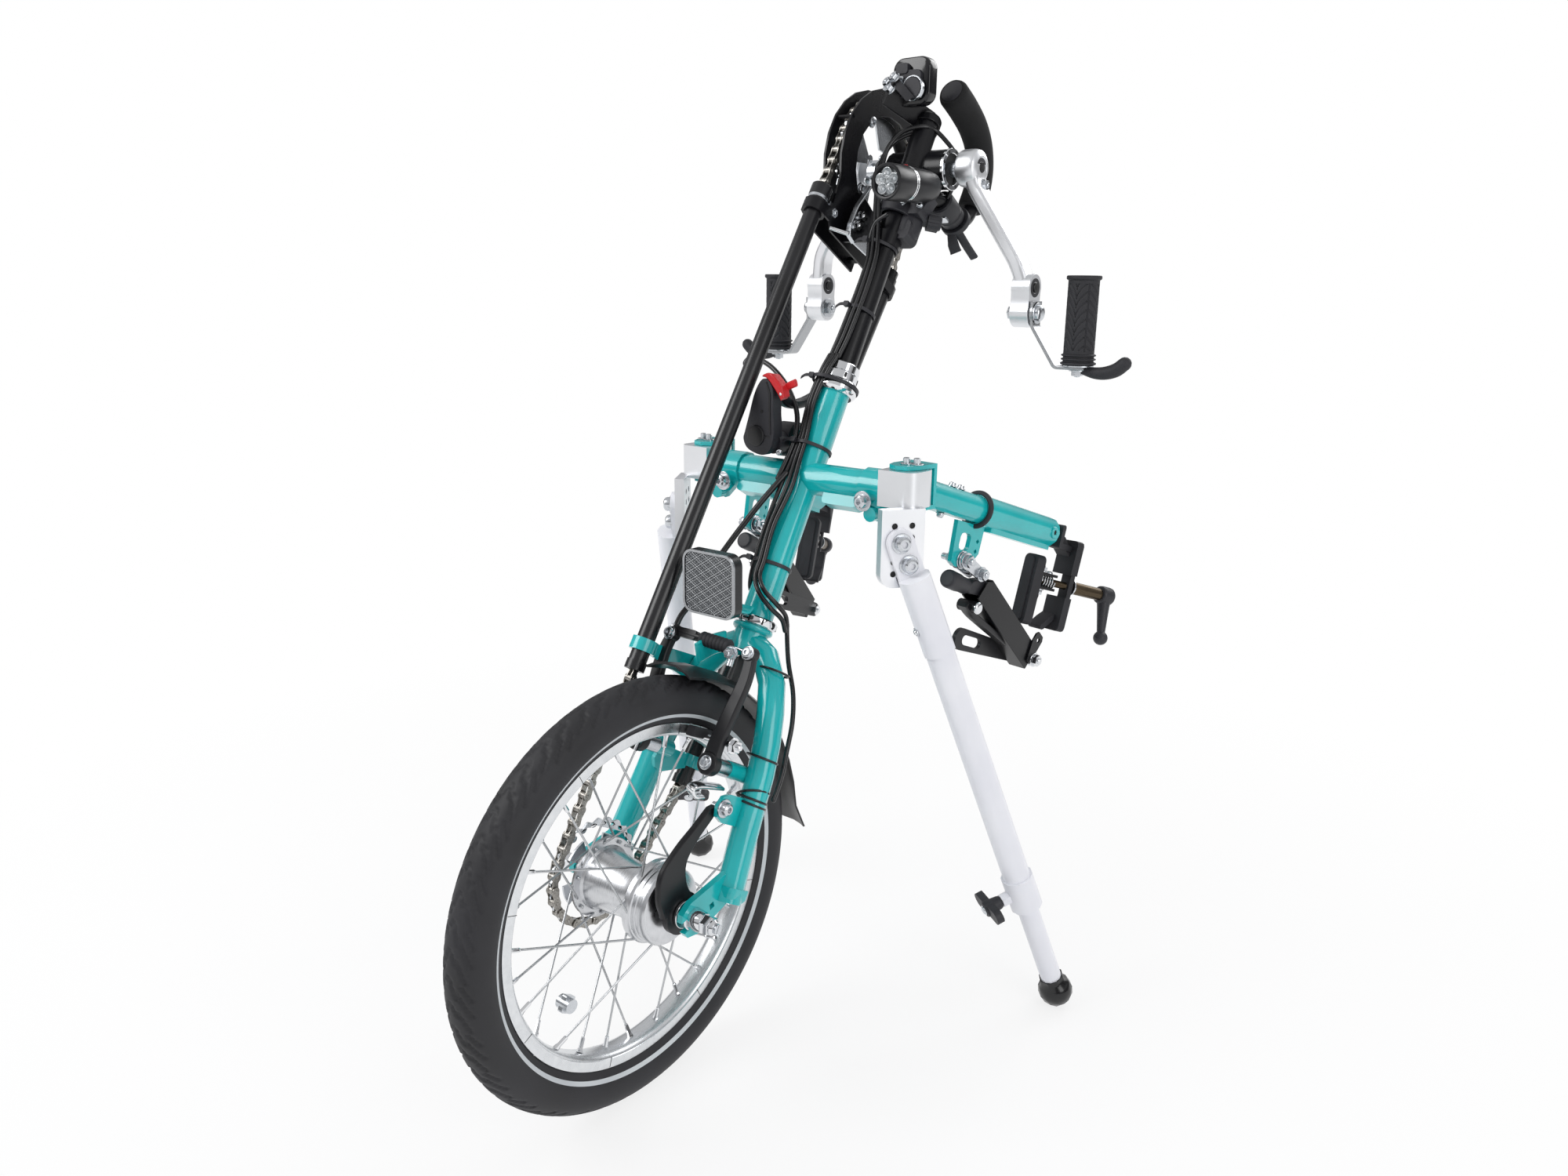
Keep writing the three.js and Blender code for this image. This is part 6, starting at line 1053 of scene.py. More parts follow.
def headlamp():
    """Torch-shaped lamp: lens head, two thin rings, a barrel with a rounded tail, and its mast clamp."""
    place = HEAD @ shift(32, -73.7, 433.6) @ UPRIGHT
    head = [(0, 6), (13.2, 6), (13.4, 1.6), (14.2, 0.4), (15.8, 0), (17.0, 1), (17.3, 3), (17.3, 29)]
    head += [(16.6, 31), (0, 31)]
    barrel = [(0, 31), (15.9, 31), (15.9, 36), (16.5, 38), (16.4, 60), (15.8, 72), (14.4, 80), (11.6, 85)]
    barrel += [(7, 86.8), (0, 87)]
    shells = [lathe(head, "y", 72), lathe(barrel, "y", 72)]
    make("headlamp_barrel", shells, place, black_satin, "steering", 0, 32, ["headlamp"])
    saddle = eased_line([(22, 6, 450), (33, 2, 455), (36, 0, 464)], 5)
    hub = [(0, -13), (10, -13), (12.5, -10), (13, 4), (11.4, 10), (8, 12.4), (0, 13)]
    clamp_shells = [
        ring_shell(14.6, 19, 442, 462, "z", 64, 0.8),
        slab(rounded(16, 18, 3, 24, 452), 17, "y", 2),
        ribbon(saddle, [15] * 7 + [17], 9, (0, 1, 0), 2),
        lathe(hub, "z", 40, centre=(15, 8, 436)),
        slab(rounded(26, 21, 6, 12, 427), 20, "y", 6),
    ]
    make("headlamp_clamp", clamp_shells, HEAD, nylon, "steering", 0.8, 34)
    rings = [
        ring_shell(15.2, 17.0, 31.4, 32.9, "y", 72, 0.25),
        ring_shell(15.2, 16.9, 34.6, 35.8, "y", 72, 0.25)
    ]
    make("headlamp_rings", rings, place, chrome, "steering", soft=30)
    mark = slab(rounded(6, 3.4, 0.8, 0, 33), 1.6, "z", 16.9)
    make("headlamp_mark", [mark], place, red_abs, "steering", 0.3)
    ring = [polar(7.9, math.radians(90 + 72 * k)) for k in range(5)]
    spots = [shift(x, 0, z) for x, z in [(0, 0), *ring]]
    cup = [(1.3, 5.4), (2.9, 4.6), (4.2, 3.0), (4.9, 1.4), (5.2, 1.5), (5.2, 5.9), (1.3, 5.9)]
    copies(
        "headlamp_reflector_cups", [lathe(cup, "y", 28, closed=True)], spots, place, lens, "steering", 40
    )
    copies("headlamp_diodes", [ball((0, 4.6, 0), 1.7, 14)], spots, place, reflex_tape, "steering", 50)
    rim = [lathe([(0, 5.9), (13.3, 5.9), (13.3, 6.3), (0, 6.3)], "y", 40)]
    make("headlamp_bowl", rim, place, lens, "steering", soft=40)
    knob_place = HEAD @ facing((27, 17, 449), (19.2, 16, 4))
    cog = []
    for k in range(18):
        cog += arc(0, 0, 9.6 if k % 2 else 8.9, 20 * k - 8, 20 * k + 8, 3)
    face = lathe([(0, 12), (7.4, 12), (7.4, 14.4), (6.6, 15.2), (0, 15.4)], "x", 36)
    knob = [slab(cog, 12, "x", 6.5), face, rod((-6, 0, 0), (1, 0, 0), 6.4)]
    make("headlamp_knob", knob, knob_place, nylon, "steering", 0.5, 30)
    seats = [facing((13, -13.2, 452), (0.3, -1, 0)), facing((30, -6.8, 452), (0.3, -1, 0))]
    bolts("headlamp_clamp_screws", seats, HEAD, "steering", radius=3.2, head=2.6, washer=4.0, lift=0.4)


def display():
    """Computer on its bracket: a domed glossy housing, a ringed disc behind it, a flat arm to the mast."""
    place = HEAD @ shift(0, -42, 571.5) @ UPRIGHT
    layers = [
        (0.80, -7.6), (0.93, -7.0), (0.99, -5.2), (1.0, -2), (1.0, 3), (0.985, 5.4), (0.93, 7.2),
        (0.82, 8.0)
    ]
    points = []
    for share, y in layers:
        inset, scale = 10 * (1 - share), 0.86 + 0.14 * share
        loop = rounded(44 - inset, 46 - inset, 12 - 0.4 * inset, steps=9)
        points += [(u * scale, y, v * scale) for u, v in loop]
    housing = (points, tube_faces(len(layers), len(loop)))
    make("display_housing", [housing], place, gloss_black, "steering", 0, 50, ["display_unit"])
    shoe = slab(rounded(30, 26, 5, -1, -3), 5, "y", -9.6)
    post = slab(rounded(14, 10, 3, -8, 12), 7, "y", -10)
    make("display_shoe", [shoe, post], place, nylon, "steering", 0.9, 32)
    disc_rim = [ring_shell(10.4, 12.2, -16.4, -12, "y", 56, 0.5, (7, 0, -8))]
    make("display_disc_rim", disc_rim, place, zinc, "steering", soft=30)
    face = lathe(
        [(0, -17.2), (9.6, -17.2), (10.4, -16.4), (10.4, -11), (0, -11)], "y", 56, centre=(7, 0, -8)
    )
    make("display_disc", [face], place, nylon, "steering", soft=30)
    arm = ribbon(
        eased_line([(0, 4, 557), (-9, -28, 553), (-15, -60, 547)], 9), 23, 3.6, (0.42, -0.32, 0.85), 1.2
    )
    cap = lathe([(0, 551), (13.9, 551), (14.1, 552), (14.1, 558), (12.6, 560.4), (0, 560.8)], "z", 48)
    make("display_arm", [arm, cap], HEAD, black_coat, "steering", 0.5, 30)
    strap = smooth_line([(-17, -52, 573), (-12, -58, 562), (-2, -58, 553), (8, -50, 545)], 5)
    strap = ribbon(strap, 9, 1.6, (0.75, 0.1, 0.6), 0.6)
    make("display_strap", [strap], HEAD, moulded_rubber, "steering", soft=40)
    shells = []
    for at in ((-19, -57, 560), (-10, -60, 563), (-12, -58, 551)):
        shells += turned_on(nut_and_bolt(8.4, 4.4, 5.6, 2.2, 1.2), at, (-0.35, -1, 0.1))
    shells.append(slab(rounded(21, 15, 3, -14.5, 560.5), 2, "y", -56))
    make("display_clamp_bolts", shells, HEAD, zinc, "steering", soft=30)


def hand_rest():
    """Foam sleeve with a flat end on its bent steel bar, the bar's collar on the mast, and the shifter."""
    bar = [(10, 11.4, 474), (20, 36, 486), (20, 76, 490), (20, 92, 500), (20, 97, 516), (20, 96, 536)]
    sleeve = [
        (20, 97, 516), (20, 96, 540), (20, 89, 560), (20, 74, 576), (20, 54, 585), (20, 26, 588),
        (20, -5, 587)
    ]
    line = smooth_line(sleeve, 12)
    radii = [15.2 - 0.5 * math.sin(5 * k / len(line)) for k in range(len(line))]
    radii[0], radii[1], radii[-2], radii[-1] = 13.6, 14.8, 14.9, 13.4
    pad = make("hand_rest_foam", [along(line, radii, 48)], HEAD, foam, "steering", soft=60)
    way = (line[-1] - line[-2]).normalized()
    cap = [lathe([(0, -1.5), (11.6, -1.5), (11.6, 0.3), (10.8, 0.9), (0, 1.1)], "x", 48)]
    make("hand_rest_cap", turned_on(cap, line[-1], way), HEAD, nylon, "steering", soft=40)
    collar = ring_shell(13.0, 16.2, 478, 496, "z", 56, 0.8)
    shells = [along(smooth_line(bar, 8), 8.0, 32), collar]
    make("hand_rest_bar", shells, HEAD, black_coat, "steering", 0, 40, ["hand_rest"])
    barrel = [
        (8.2, 38), (11.6, 38), (13.2, 39.6), (13.6, 43), (13.6, 58), (12.8, 60), (12.8, 62), (13.4, 63)
    ]
    barrel += [(13.2, 70), (12, 72), (8.2, 72)]
    barrel = lathe(barrel, "y", 48, closed=True, centre=(20, 0, 486.5))
    make("shifter_barrel", [barrel], HEAD, nylon, "steering", soft=32)
    window = slab(rounded(13, 9, 2, 20, 52), 2.4, "z", 473.6)
    make("shifter_window", [window], HEAD, zinc, "steering", 0.3)


def reflector():
    """Front reflector: dark tray, a bright frame line, crossed prism ribs in two halves, and its strip."""
    place = HEAD @ shift(0, -79, 13) @ UPRIGHT
    outline = rounded(62, 60, 11, 0, 0, 10)
    tray = slab(outline, 10, "y", 1)
    frame_line = slab(outline, 2.2, "y", -5.2, [list(reversed(rounded(57.6, 55.6, 9.4, 0, 0, 10)))])
    strip = ribbon(
        eased_line([(0, 4.2, -16), (0, 9, -23), (0, 44, -37), (0, 50, -32)], 6), 16, 2.6, (1, 0, 0), 0.6
    )
    make("reflector_tray", [tray], place, abs_black, "steering", 0.9, 35, ["front_reflector"])
    make("reflector_frame", [frame_line], place, strip_steel, "steering", 0.5, 35)
    make("reflector_strip", [strip], place, teal, "steering", 0.2, 35)
    # Painted shade: a grey sheet just behind the prism ribs stands for the shade between them
    mirror = slab(rounded(57.2, 55.2, 9.4, 0, 0, 10), 0.8, "y", -4.4)
    make("reflector_mirror", [mirror], place, prism_shade, "steering")
    # From the seam down the middle the ribs lean up and down, each cut where it meets the tray's edge
    rib_mm, slope, wide, tall, corner = 2.9, 0.62, 19.2, 18.4, 9.2
    ribs = []
    for lean in (-1, 1):
        for half in (-1, 1):
            for row in range(-16, 17):
                ends = []
                for k in range(41):
                    x = half * 28.0 * k / 40
                    z = row * rib_mm + lean * abs(x) * slope
                    inset = max(0.0, abs(x) - wide)
                    if abs(z) <= tall + math.sqrt(max(0.0, corner**2 - inset**2)):
                        ends.append((x, -5.0 - 0.12 * lean, z))
                if len(ends) > 2:
                    ribs.append(ribbon([ends[0], ends[-1]], 0.72, 0.5, (0, 0, 1), 0.1))
    make("reflector_prisms", ribs, place, prisms, "steering", soft=30)


def shift_trigger():
    """Shifter ring with its two thumb tabs."""
    ring = [(8.9, 73.2), (15.8, 73.2), (16.4, 74), (16.4, 79.4), (15.6, 80.4), (8.9, 80.4)]
    short = smooth_line([(20, 77, 474), (21, 84, 465), (23, 92, 459)], 4)
    long = smooth_line([(26, 78, 476), (30, 96, 470), (33, 114, 466)], 4)
    shells = [
        lathe(ring, "y", 48, closed=True, centre=(20, 0, 487)),
        ribbon(short, [11] * 4 + [12] * 4 + [13], 4.4, (0.9, 0, 0.4), 1.8),
        ribbon(long, 9, 5, (0.9, 0, 0.4), 2),
    ]
    make("shifter_ring", shells, HEAD, nylon, "shift_trigger", 0.6, 32, ["shift_trigger"])


def corner(side):
    """What stands on the machined block: rimmed adjusting holes, the swivel's studs, the ear's bolt."""
    body = body_of(side + "_corner_block")
    place = hanger_place(side)
    spots = [shift(u, -2, -13 - 11 * row) for u in (-8.5, 8.5) for row in range(5)]
    rim = [lathe([(2.9, -0.15), (3.4, -0.15), (3.75, 0.1), (3.75, 1.2), (2.9, 1.2)], "y", 32, closed=True)]
    copies(side + "_hanger_hole_rims", rim, spots, place, anodised, body)
    # Painted shade: a near-black disc just inside each rim stands for the shade in the hole
    hole = [lathe([(0, 1.1), (2.95, 1.1), (2.95, 1.6), (0, 1.6)], "y", 32)]
    copies(side + "_hanger_holes", hole, spots, place, hollow_shade_paint, body)
    stud = [(0, 20.6), (3.3, 20.6), (3.3, 26.4), (2.6, 27.2), (0, 27.2)]
    shells = turned_on([dome_shell(6.2, 3.6)], (0, 0, -21), (0, 0, -1))
    for centre in ((0, 0, 0), (9.3, 3.72, 0)):
        shells += [lathe(stud, "z", 24, centre=centre), ring_shell(3.4, 6.2, 21, 22.2, "z", centre=centre)]
    make(side + "_swivel_studs", shells, swivel_place(side), zinc, side + "_arm", soft=30)
    seat = [facing((86, 218.6, 537.5), (0, -1, 0))]
    bolts(side + "_ear_bolt", seat, SIDES[side], body, radius=6.6, head=6.2, washer=9.6, lift=1.6)


def leg(side):
    """Hex-socket bolts of the leg's lug, its spring button and the wing knob."""
    place = leg_place(side)
    tube, button = body_of(side + "_leg_tube"), side + "_leg_button"
    spots = [facing((0, 2.9, z), (0, -1, 0)) for z in (0, -21.7)]
    bolts(side + "_leg_bolts", spots, place, tube, radius=7.3, head=6.6, washer=9.4, lift=1.6)
    seat = turned_on([ring_shell(3.2, 4.6, -0.6, 0.5, ease=0.2)], (-15.3, 0, -84), (-1, 0, 0))
    make(button + "_seat", seat, place, zinc, tube, soft=30)
    dome = turned_on([dome_shell(2.7, 2.9)], (-14.9, 0, -84), (-1, 0, 0))
    make(button + "_dome", dome, place, chrome, button, soft=40, stands_for=[button])
    knob = place @ shift(-24.3, 0, -395)
    wing = []
    for way, angle in ((1, 0), (-1, 180)):
        wing += arc(way * 17, 0, 7.6, angle - 96, angle + 96, 14)
        wing.append((way * 1.2, way * 6.4))
    neck = lathe(
        [(0, 0.3), (5.8, 0.3), (6.6, 2), (7.6, 9.6), (8.4, 12), (8.4, 17), (7.2, 19), (0, 19.4)], "x", 36
    )
    shells = [slab(wing, 7.6, "x", -13.4), placed(neck, MIRROR)]
    make(side + "_leg_knob_wing", shells, knob, nylon, side + "_leg_knob", 1.4, 40, [side + "_leg_knob"])
    screw = turned_on([ring_shell(2.2, 5.2, 0, 0.8), dome_shell(4.2, 1.8, 0.5)], (-19.2, 0, 0), (-1, 0, 0))
    make(side + "_leg_knob_screw", screw, knob, zinc, side + "_leg_knob", soft=30)


def arm(side):
    """Rubber ring, set screws and the pierced boss of the sliding arm, and the bolt of its flange."""
    place = arm_place(side)
    ring = lathe(disc(16.5, 116, 2.8, 15), "y", 72, closed=True)
    make(side + "_arm_o_ring", [ring], place, moulded_rubber, side + "_sleeve", soft=60)
    spots = [facing((0, y, way * 13.8), (0, 0, way)) for y, way in ((68, 1), (82, 1), (60, -1))]
    bolts(side + "_arm_set_screws", spots, place, side + "_arm", radius=3.4, head=3.4, washer=4.6, lift=0.9)
    boss = turned_on([ring_shell(2.6, 6.2, -2.4, 1.0, ease=0.5)], (16, 240, 0), (1, 0, 0))
    make(side + "_arm_boss", boss, place, teal, side + "_sleeve", soft=40)
    # Painted shade: a near-black disc stands for the shade in the boss's hole
    hole = turned_on([lathe([(0, -2), (2.7, -2), (2.7, 0.1), (0, 0.1)], "x", 28)], (16, 240, 0), (1, 0, 0))
    make(side + "_arm_boss_hole", hole, place, hollow_shade_paint, side + "_sleeve", soft=30)
    shells = turned_on(
        [ring_shell(4.1, 9.4, 0, 1.6), ring_shell(4.1, 8.2, 2, 3.4)], (2.6, 108, -52), (1, 0, 0)
    )
    shells += turned_on([ring_shell(4.1, 9.4, 0, 1.6)], (-2.6, 108, -52), (-1, 0, 0))
    make(side + "_flange_washers", shells, place, zinc, side + "_sleeve", soft=30)


def docking(side):
    """Docking lever: zinc shackle, grip stub, folded cover over the lever, and the slotted plate below."""
    place = dock_place(side)
    body = side + "_docking_lever"
    shackle = []
    for x in (-6.2, 6.2):
        shackle.append(slab(capsule((0, 0), (31, 6.2), 7.0, 6.0, 16), 2.6, "x", x + math.copysign(0.8, x)))
    shackle += [rod((-8, 31, 6.2), (8, 31, 6.2), 3.4)]
    shackle += turned_on(nut_and_bolt(10, 5, 7.6, 2.6, 1.5), (8.3, 31, 6.2), (1, 0, 0))
    shackle += turned_on(nut_and_bolt(11, 5.4, 8.4, 3.4, 2.5), (8.3, 0, 0), (1, 0, 0))
    shackle += [rod((-21, 0, 0), (8, 0, 0), 3.4)] + turned_on([nut_shell(11, 5)], (-8.6, 0, 0), (-1, 0, 0))
    make(side + "_dock_shackle", shackle, place, zinc, body, 0.25, 30)
    stub = lathe(
        [(0, -1.5), (7.6, -1.5), (9.2, 0), (9.4, 3), (9.2, 16), (8.2, 23), (8.4, 31), (0, 31)], "x", 40
    )
    way = Vector((0, 47, 18.6)).normalized()
    start = Vector((0, -14.7, -29.6)) + way * 15
    grip = [placed(stub, facing(start, way))]
    joint = slab([(22, -19), (34, -17), (58, -3), (58, 9), (44, 9), (30, -3)], 13, "x", 0)
    make(side + "_dock_grip", grip + [joint], place, nylon, body, 0.9, 40)
    wall = 1.8
    cheek = [(44, -14.5), (44, 6), (52, 12.5), (176, 12.5), (176, -14.5)]
    cover = [
        slab(cheek, wall, "x", 9.6),
        slab(cheek, wall, "x", -9.6),
        ribbon([(0, 50, 12.2), (0, 176, 12.2)], 20.6, wall, (1, 0, 0), 0.6),
        ribbon([(0, 60, -14), (0, 176, -14)], 20.6, wall, (1, 0, 0), 0.6),
        slab(rounded(20.6, 27, 1, 0, -1), wall, "y", 175.4),
    ]
    ear = slab([(160, 12), (160, 22), (163, 26), (173, 26), (176, 22), (176, -8), (168, -8)], 2, "x", 11.6,
               [disc(168.5, 18.5, 2.6, 20)])
    make(side + "_dock_cover", cover + [ear], place, black_coat, body, 0.35, 30, [body])
    # Pivot of the slotted plate, at the far end of the bar
    far = 179.5
    bar = ribbon(eased_line([(0, 40, -26.5), (0, 60, -26), (0, far, -3)], 8), 13, 6, (1, 0, 0), 1.4)
    pivots = [rod((-11, 50, -22), (11, 50, -22), 6.2), rod((-12, far, 0), (12, far, 0), 5.4)]
    make(side + "_dock_bar", [bar] + pivots, place, black_satin, body, 0.4, 32)
    chrome_shells = turned_on([dome_shell(6.4, 3.4)], (11, 50, -22), (1, 0, 0))
    for way in (1, -1):
        chrome_shells += turned_on(nut_and_bolt(11, 5.4, 7.8, 3.2, 2), (way * 12, far, 0), (way, 0, 0))
    for start, end in ((4.5, 9.5), (-3, 2)):
        chrome_shells.append(ring_shell(5.5, 7.6, start, end, "x", centre=(0, far, 0)))
    make(side + "_dock_bolts", chrome_shells, place, chrome, body, soft=30)
    hanging = shift(-12.2, far, 0) @ turn(24.8, "X")
    slot = list(reversed(capsule((-78, 0), (-102, 0), 5.2, 5.2, 12)))
    loop = slab(capsule((0, 0), (-108, 0), 8.5, 11.6, 18), 4.6, "x", 0, [slot])
    make(side + "_dock_slotted_plate", [placed(loop, hanging)], place, black_satin, body, 0.7, 32)


def clamp(side):
    """Wheelchair clamp: sprung front jaw on its spindle, hex screws, and the lever handle with its ball."""
    place = clamp_place(side)
    jaw = side + "_moving_jaw"
    pad = slab(rounded(22, 76, 6.5, 0, -12), 11.6, "y", -6)
    ridge = slab(rounded(12, 70, 4, 0, -12), 3, "y", -12)
    make(side + "_front_jaw_pad", [pad, ridge], place, moulded_rubber, jaw, 1.6, 40, [jaw])
    strips = [ribbon([(0, -9, z), (0, 23, z)], [16] * 2, 3, (1, 0, 0), 0.8) for z in (7.5, -7.5)]
    strips.append(slab(rounded(16, 19, 3, 0, 0), 2.6, "y", 1.2))
    make(side + "_front_jaw_yoke", strips, place, black_satin, jaw, 0.4, 32)
    # Five turns of spring, 18 mm long
    whole = 10 * math.pi
    turns = [(6.6 * math.cos(a), 4 + 18 * a / whole, 6.6 * math.sin(a)) for a in np.linspace(0, whole, 200)]
    make(side + "_clamp_spring", [along(turns, 0.95, 10, True)], place, stainless, jaw, soft=60)
    shells = turned_on(nut_and_bolt(8.5, 4, 5.6, 2.2, 2.4), (0, 7, 9.1), (0, 0, 1))
    shells += turned_on([dome_shell(3.8, 2.6)], (0, 17, 9.1), (0, 0, 1))
    shells += turned_on(nut_and_bolt(8.5, 5, 5.6, 2.2, 4), (0, 7, -9.1), (0, 0, -1))
    make(side + "_yoke_screws", shells, place, zinc, jaw, soft=30)
    # The real thread is finer; 1.5 mm is as fine as it shows
    pitch = 1.5
    thread = [(0, 0)]
    for k in range(35):
        thread += [(4.0, k * pitch), (3.5, (k + 0.5) * pitch)]
    spindle = [lathe([*thread, (0, 52.5)], "y", 32)]
    make(side + "_clamp_spindle", spindle, place, browned_steel, jaw, soft=25)
    handle = side + "_clamp_handle"
    sleeve = lathe([(4.4, 51.5), (6.6, 51.5), (6.9, 52.2), (6.9, 94.6), (4.4, 94.6)], "y", 40, closed=True)
    make(side + "_clamp_sleeve", [sleeve], place, browned_steel, handle, 0, 30, [handle])
    washers = [ring_shell(4.5, 9.4, 49.6, 51.3, "y"), ring_shell(4.5, 7.8, 51.3, 53, "y")]
    make(side + "_clamp_washer", washers, place, zinc, handle, soft=30)
    hub = [
        (0, 94.3), (8.6, 94.3), (9.8, 95.6), (10.3, 99), (10.3, 107), (9.8, 110), (8.8, 111.2),
        (6.0, 111.3)
    ]
    hub += [(5.6, 110.6), (5.6, 108), (0, 108)]
    lean = math.radians(12)
    path = [(math.sin(lean) * d, 102.8, -math.cos(lean) * d) for d in (0, 6, 12, 22, 34, 44, 48)]
    line = smooth_line(path, 5)
    lever = along(line, [8.6 - 4.6 * min(1, k / 26) for k in range(len(line))], 32)
    shells = [lathe(hub, "y", 48), lever, ball(path[-1], 7.9, 40)]
    make(side + "_clamp_lever", shells, place, nylon, handle, 0, 50)
    # A real nut in the hub's recess, coloured with painted shade of the recess
    nut = turned_on([nut_shell(7.6, 1.8)], (0, 107.9, 0), (0, 1, 0))
    make(side + "_clamp_lever_nut", nut, place, hollow_shade_paint, handle)


def casing(name, run, body, radius=2.3, sides=14, stands_for=()):
    """A cable casing on a smooth run in the steering frame."""
    shells = [along(smooth_line(run, 6), radius, sides, True)]
    make(name, shells, HEAD, pvc, body, soft=60, stands_for=stands_for)


def headset():
    """Chrome bearing stack over the head tube and the grooved race under it."""
    upper, lower, bore = body_of("headset_upper_cup"), body_of("headset_lower_cup"), 12.9
    stack = [
        [(18.2, 241.5), (20.4, 243.2), (21.6, 245), (21.6, 248.3), (20.9, 249)],
        [(21.2, 250), (21.8, 250.6), (21.8, 252.8), (20.6, 254.3)],
        [(18.4, 254.8), (18.9, 255.4), (18.9, 262.6), (18.2, 263.2)],
        [(16.9, 263.7), (17.5, 264.3), (17.5, 272), (16.4, 273.2)],
    ]
    rings = [lathe([(bore, part[0][1]), *part, (bore, part[-1][1])], "z", 84, True) for part in stack]
    make("headset_upper_rings", rings, HEAD, chrome, upper, 0, 30, ["headset_upper_cup"])
    # Painted shade: near-black rings in the gaps between the chrome rings
    seams = []
    for reach, low in ((20.4, 248.9), (17.6, 254), (16.6, 262.9)):
        seams.append(
            lathe([(bore, low), (reach, low), (reach, low + 1.1), (bore, low + 1.1)], "z", 60, True)
        )
    make("headset_seams", seams, HEAD, hollow_shade_paint, upper)

    # Painted shade: near-black slabs stand for the shade in the cups' notches, knurls and grooves
    def marks(name, outline, thickness, out, count, first, body):
        spots = [turn(360 / count * k + first, "Z") for k in range(count)]
        copies(name, [slab(outline, thickness, "y", out)], spots, HEAD, hollow_shade_paint, body)

    marks("headset_notches", rounded(2.6, 5.4, 0.8, 0, 259.4), 0.9, -18.6, 6, -8, upper)
    marks("headset_knurls", rounded(1.4, 7, 0.5, 0, 268), 0.6, -17.3, 6, 14, upper)
    race = [(13.2, -4.8), (19.4, -4.8), (20.9, -3.6), (21.6, -1.4), (21.6, 2.4), (20.8, 3.7), (16.1, 4.1)]
    race = lathe([*race, (13.2, 4.1)], "z", 84, True)
    make("headset_lower_race", [race], HEAD, chrome, lower, 0, 30, ["headset_lower_cup"])
    marks("headset_lower_grooves", rounded(1.8, 5.6, 0.7, 0, -0.4), 0.6, -21.4, 10, 20, lower)
    seat = lathe(
        [(0, -11), (17.4, -11), (19.4, -9.4), (19.9, -8), (19.9, -6.2), (19.2, -5.2), (0, -5.2)], "z", 72
    )
    make("crown_race_seat", [seat], HEAD, teal, "steering", 0, 35)


def bottom_bracket():
    """Notched alloy cup, its shaded bore and the spindle."""
    centre = (0, *SPINDLE_AT)
    body = body_of("mast")
    cup = [ring_shell(15.6, 20.6, 33.4, 36.8, "x", 72, 0.5, centre)]
    make("bracket_cup", cup, HEAD, chrome, body, soft=30)
    # Painted shade: near-black slabs stand for the shade in the cup's notches
    dent = [slab(rounded(2.6, 3.4, 0.8, 0, 17.9), 0.9, "x", 36.6)]
    spots = [shift(*centre) @ turn(45 * k + 10, "X") for k in range(8)]
    copies("bracket_cup_notches", dent, spots, HEAD, hollow_shade_paint, body)
    # Painted shade: a near-black disc stands for the shade in the bore
    bore = lathe([(0, 33.6), (15.7, 33.6), (15.7, 34.4), (0, 34.4)], "x", 48, centre=centre)
    make("bracket_bore", [bore], HEAD, hollow_shade_paint, body)
    spindle = rod((34, *SPINDLE_AT), (48.5, *SPINDLE_AT), 8.4, sides=40)
    make("crank_spindle", [spindle], HEAD, zinc, "cranks")


def front_run(z):
    """Point of the chain's front run at a height on the steering axis."""
    top = Vector(SPINDLE_AT) + Vector(polar(RING_R, FRONT_ANGLE))
    low = Vector(AXLE_AT) + Vector(polar(SPROCKET_R, FRONT_ANGLE))
    share = (z - low.y) / (top.y - low.y)
    return Vector((CHAIN_X, low.x + share * (top.x - low.x), z))


def chain_cover():
    """Tube-end rings, the guard's screws, its bent zinc bracket and the tube's clip."""
    top = front_run(442)
    way = (top - front_run(200)).normalized()
    tube = body_of("chain_tube_front")
    guard = body_of("chain_guard")
    clips = [ring_shell(9.1, 10.7, -16, -12.6), ring_shell(9.1, 10.7, -22.4, -18.6)]
    make("front_tube_clips", turned_on(clips, top, way), HEAD, zinc, tube, soft=30)
    sleeve = [ring_shell(7.2, 11, -12.4, 0.4, ease=0.8), ring_shell(9.1, 10.4, -18.6, -15.8)]
    make("front_tube_sleeve", turned_on(sleeve, top, way), HEAD, pvc, tube, soft=40)
    tab = [slab([(-50, 431), (-40, 431), (-37, 424), (-40, 415), (-46, 415), (-50, 419)], 2, "x", -47.4)]
    tab += turned_on(nut_and_bolt(8.6, 4.4, 6, 2.4, 1.6), (-46.4, -43.4, 421), (1, 0, 0))
    make("front_tube_clip_bolt", tab, HEAD, zinc, guard, 0.3, 30)
    spots = [facing((-46.4, -31.6, 537.4), (1, 0, 0)), facing((-46.4, -12.6, 470.5), (1, 0, 0))]
    bolts("guard_screws", spots, HEAD, guard, radius=4.8, head=3.2, washer=6.4, lift=1)
    plate = [(-27, 408), (-13.4, 405.6), (15, 408), (8, 436), (-2, 452), (-16, 440), (-26, 425)]
    edge = [(-18.1, 468.5), (-27.7, 439), (-29.2, 416.9), (-26.9, 407.7), (-13.4, 405.4)]
    edge = ribbon(eased_line([(-30, y, z) for y, z in edge], 4), 6, 2, (1, 0, 0), 0.7)
    make("guard_bracket", [slab(plate, 2, "x", -31.5), edge], HEAD, zinc, guard, 0.3, 30)
    shells = []
    for y, z in ((-17, 434.1), (-18.8, 422), (-8, 421)):
        shells += turned_on(nut_and_bolt(8, 4, 5.4, 2.2, 1.4), (-30.5, y, z), (1, 0, 0))
    shells += [rod((-46, -38, 407.9), (-30, -26, 407.9), 2)]
    make("guard_bracket_bolts", shells, HEAD, chrome, guard, soft=30)


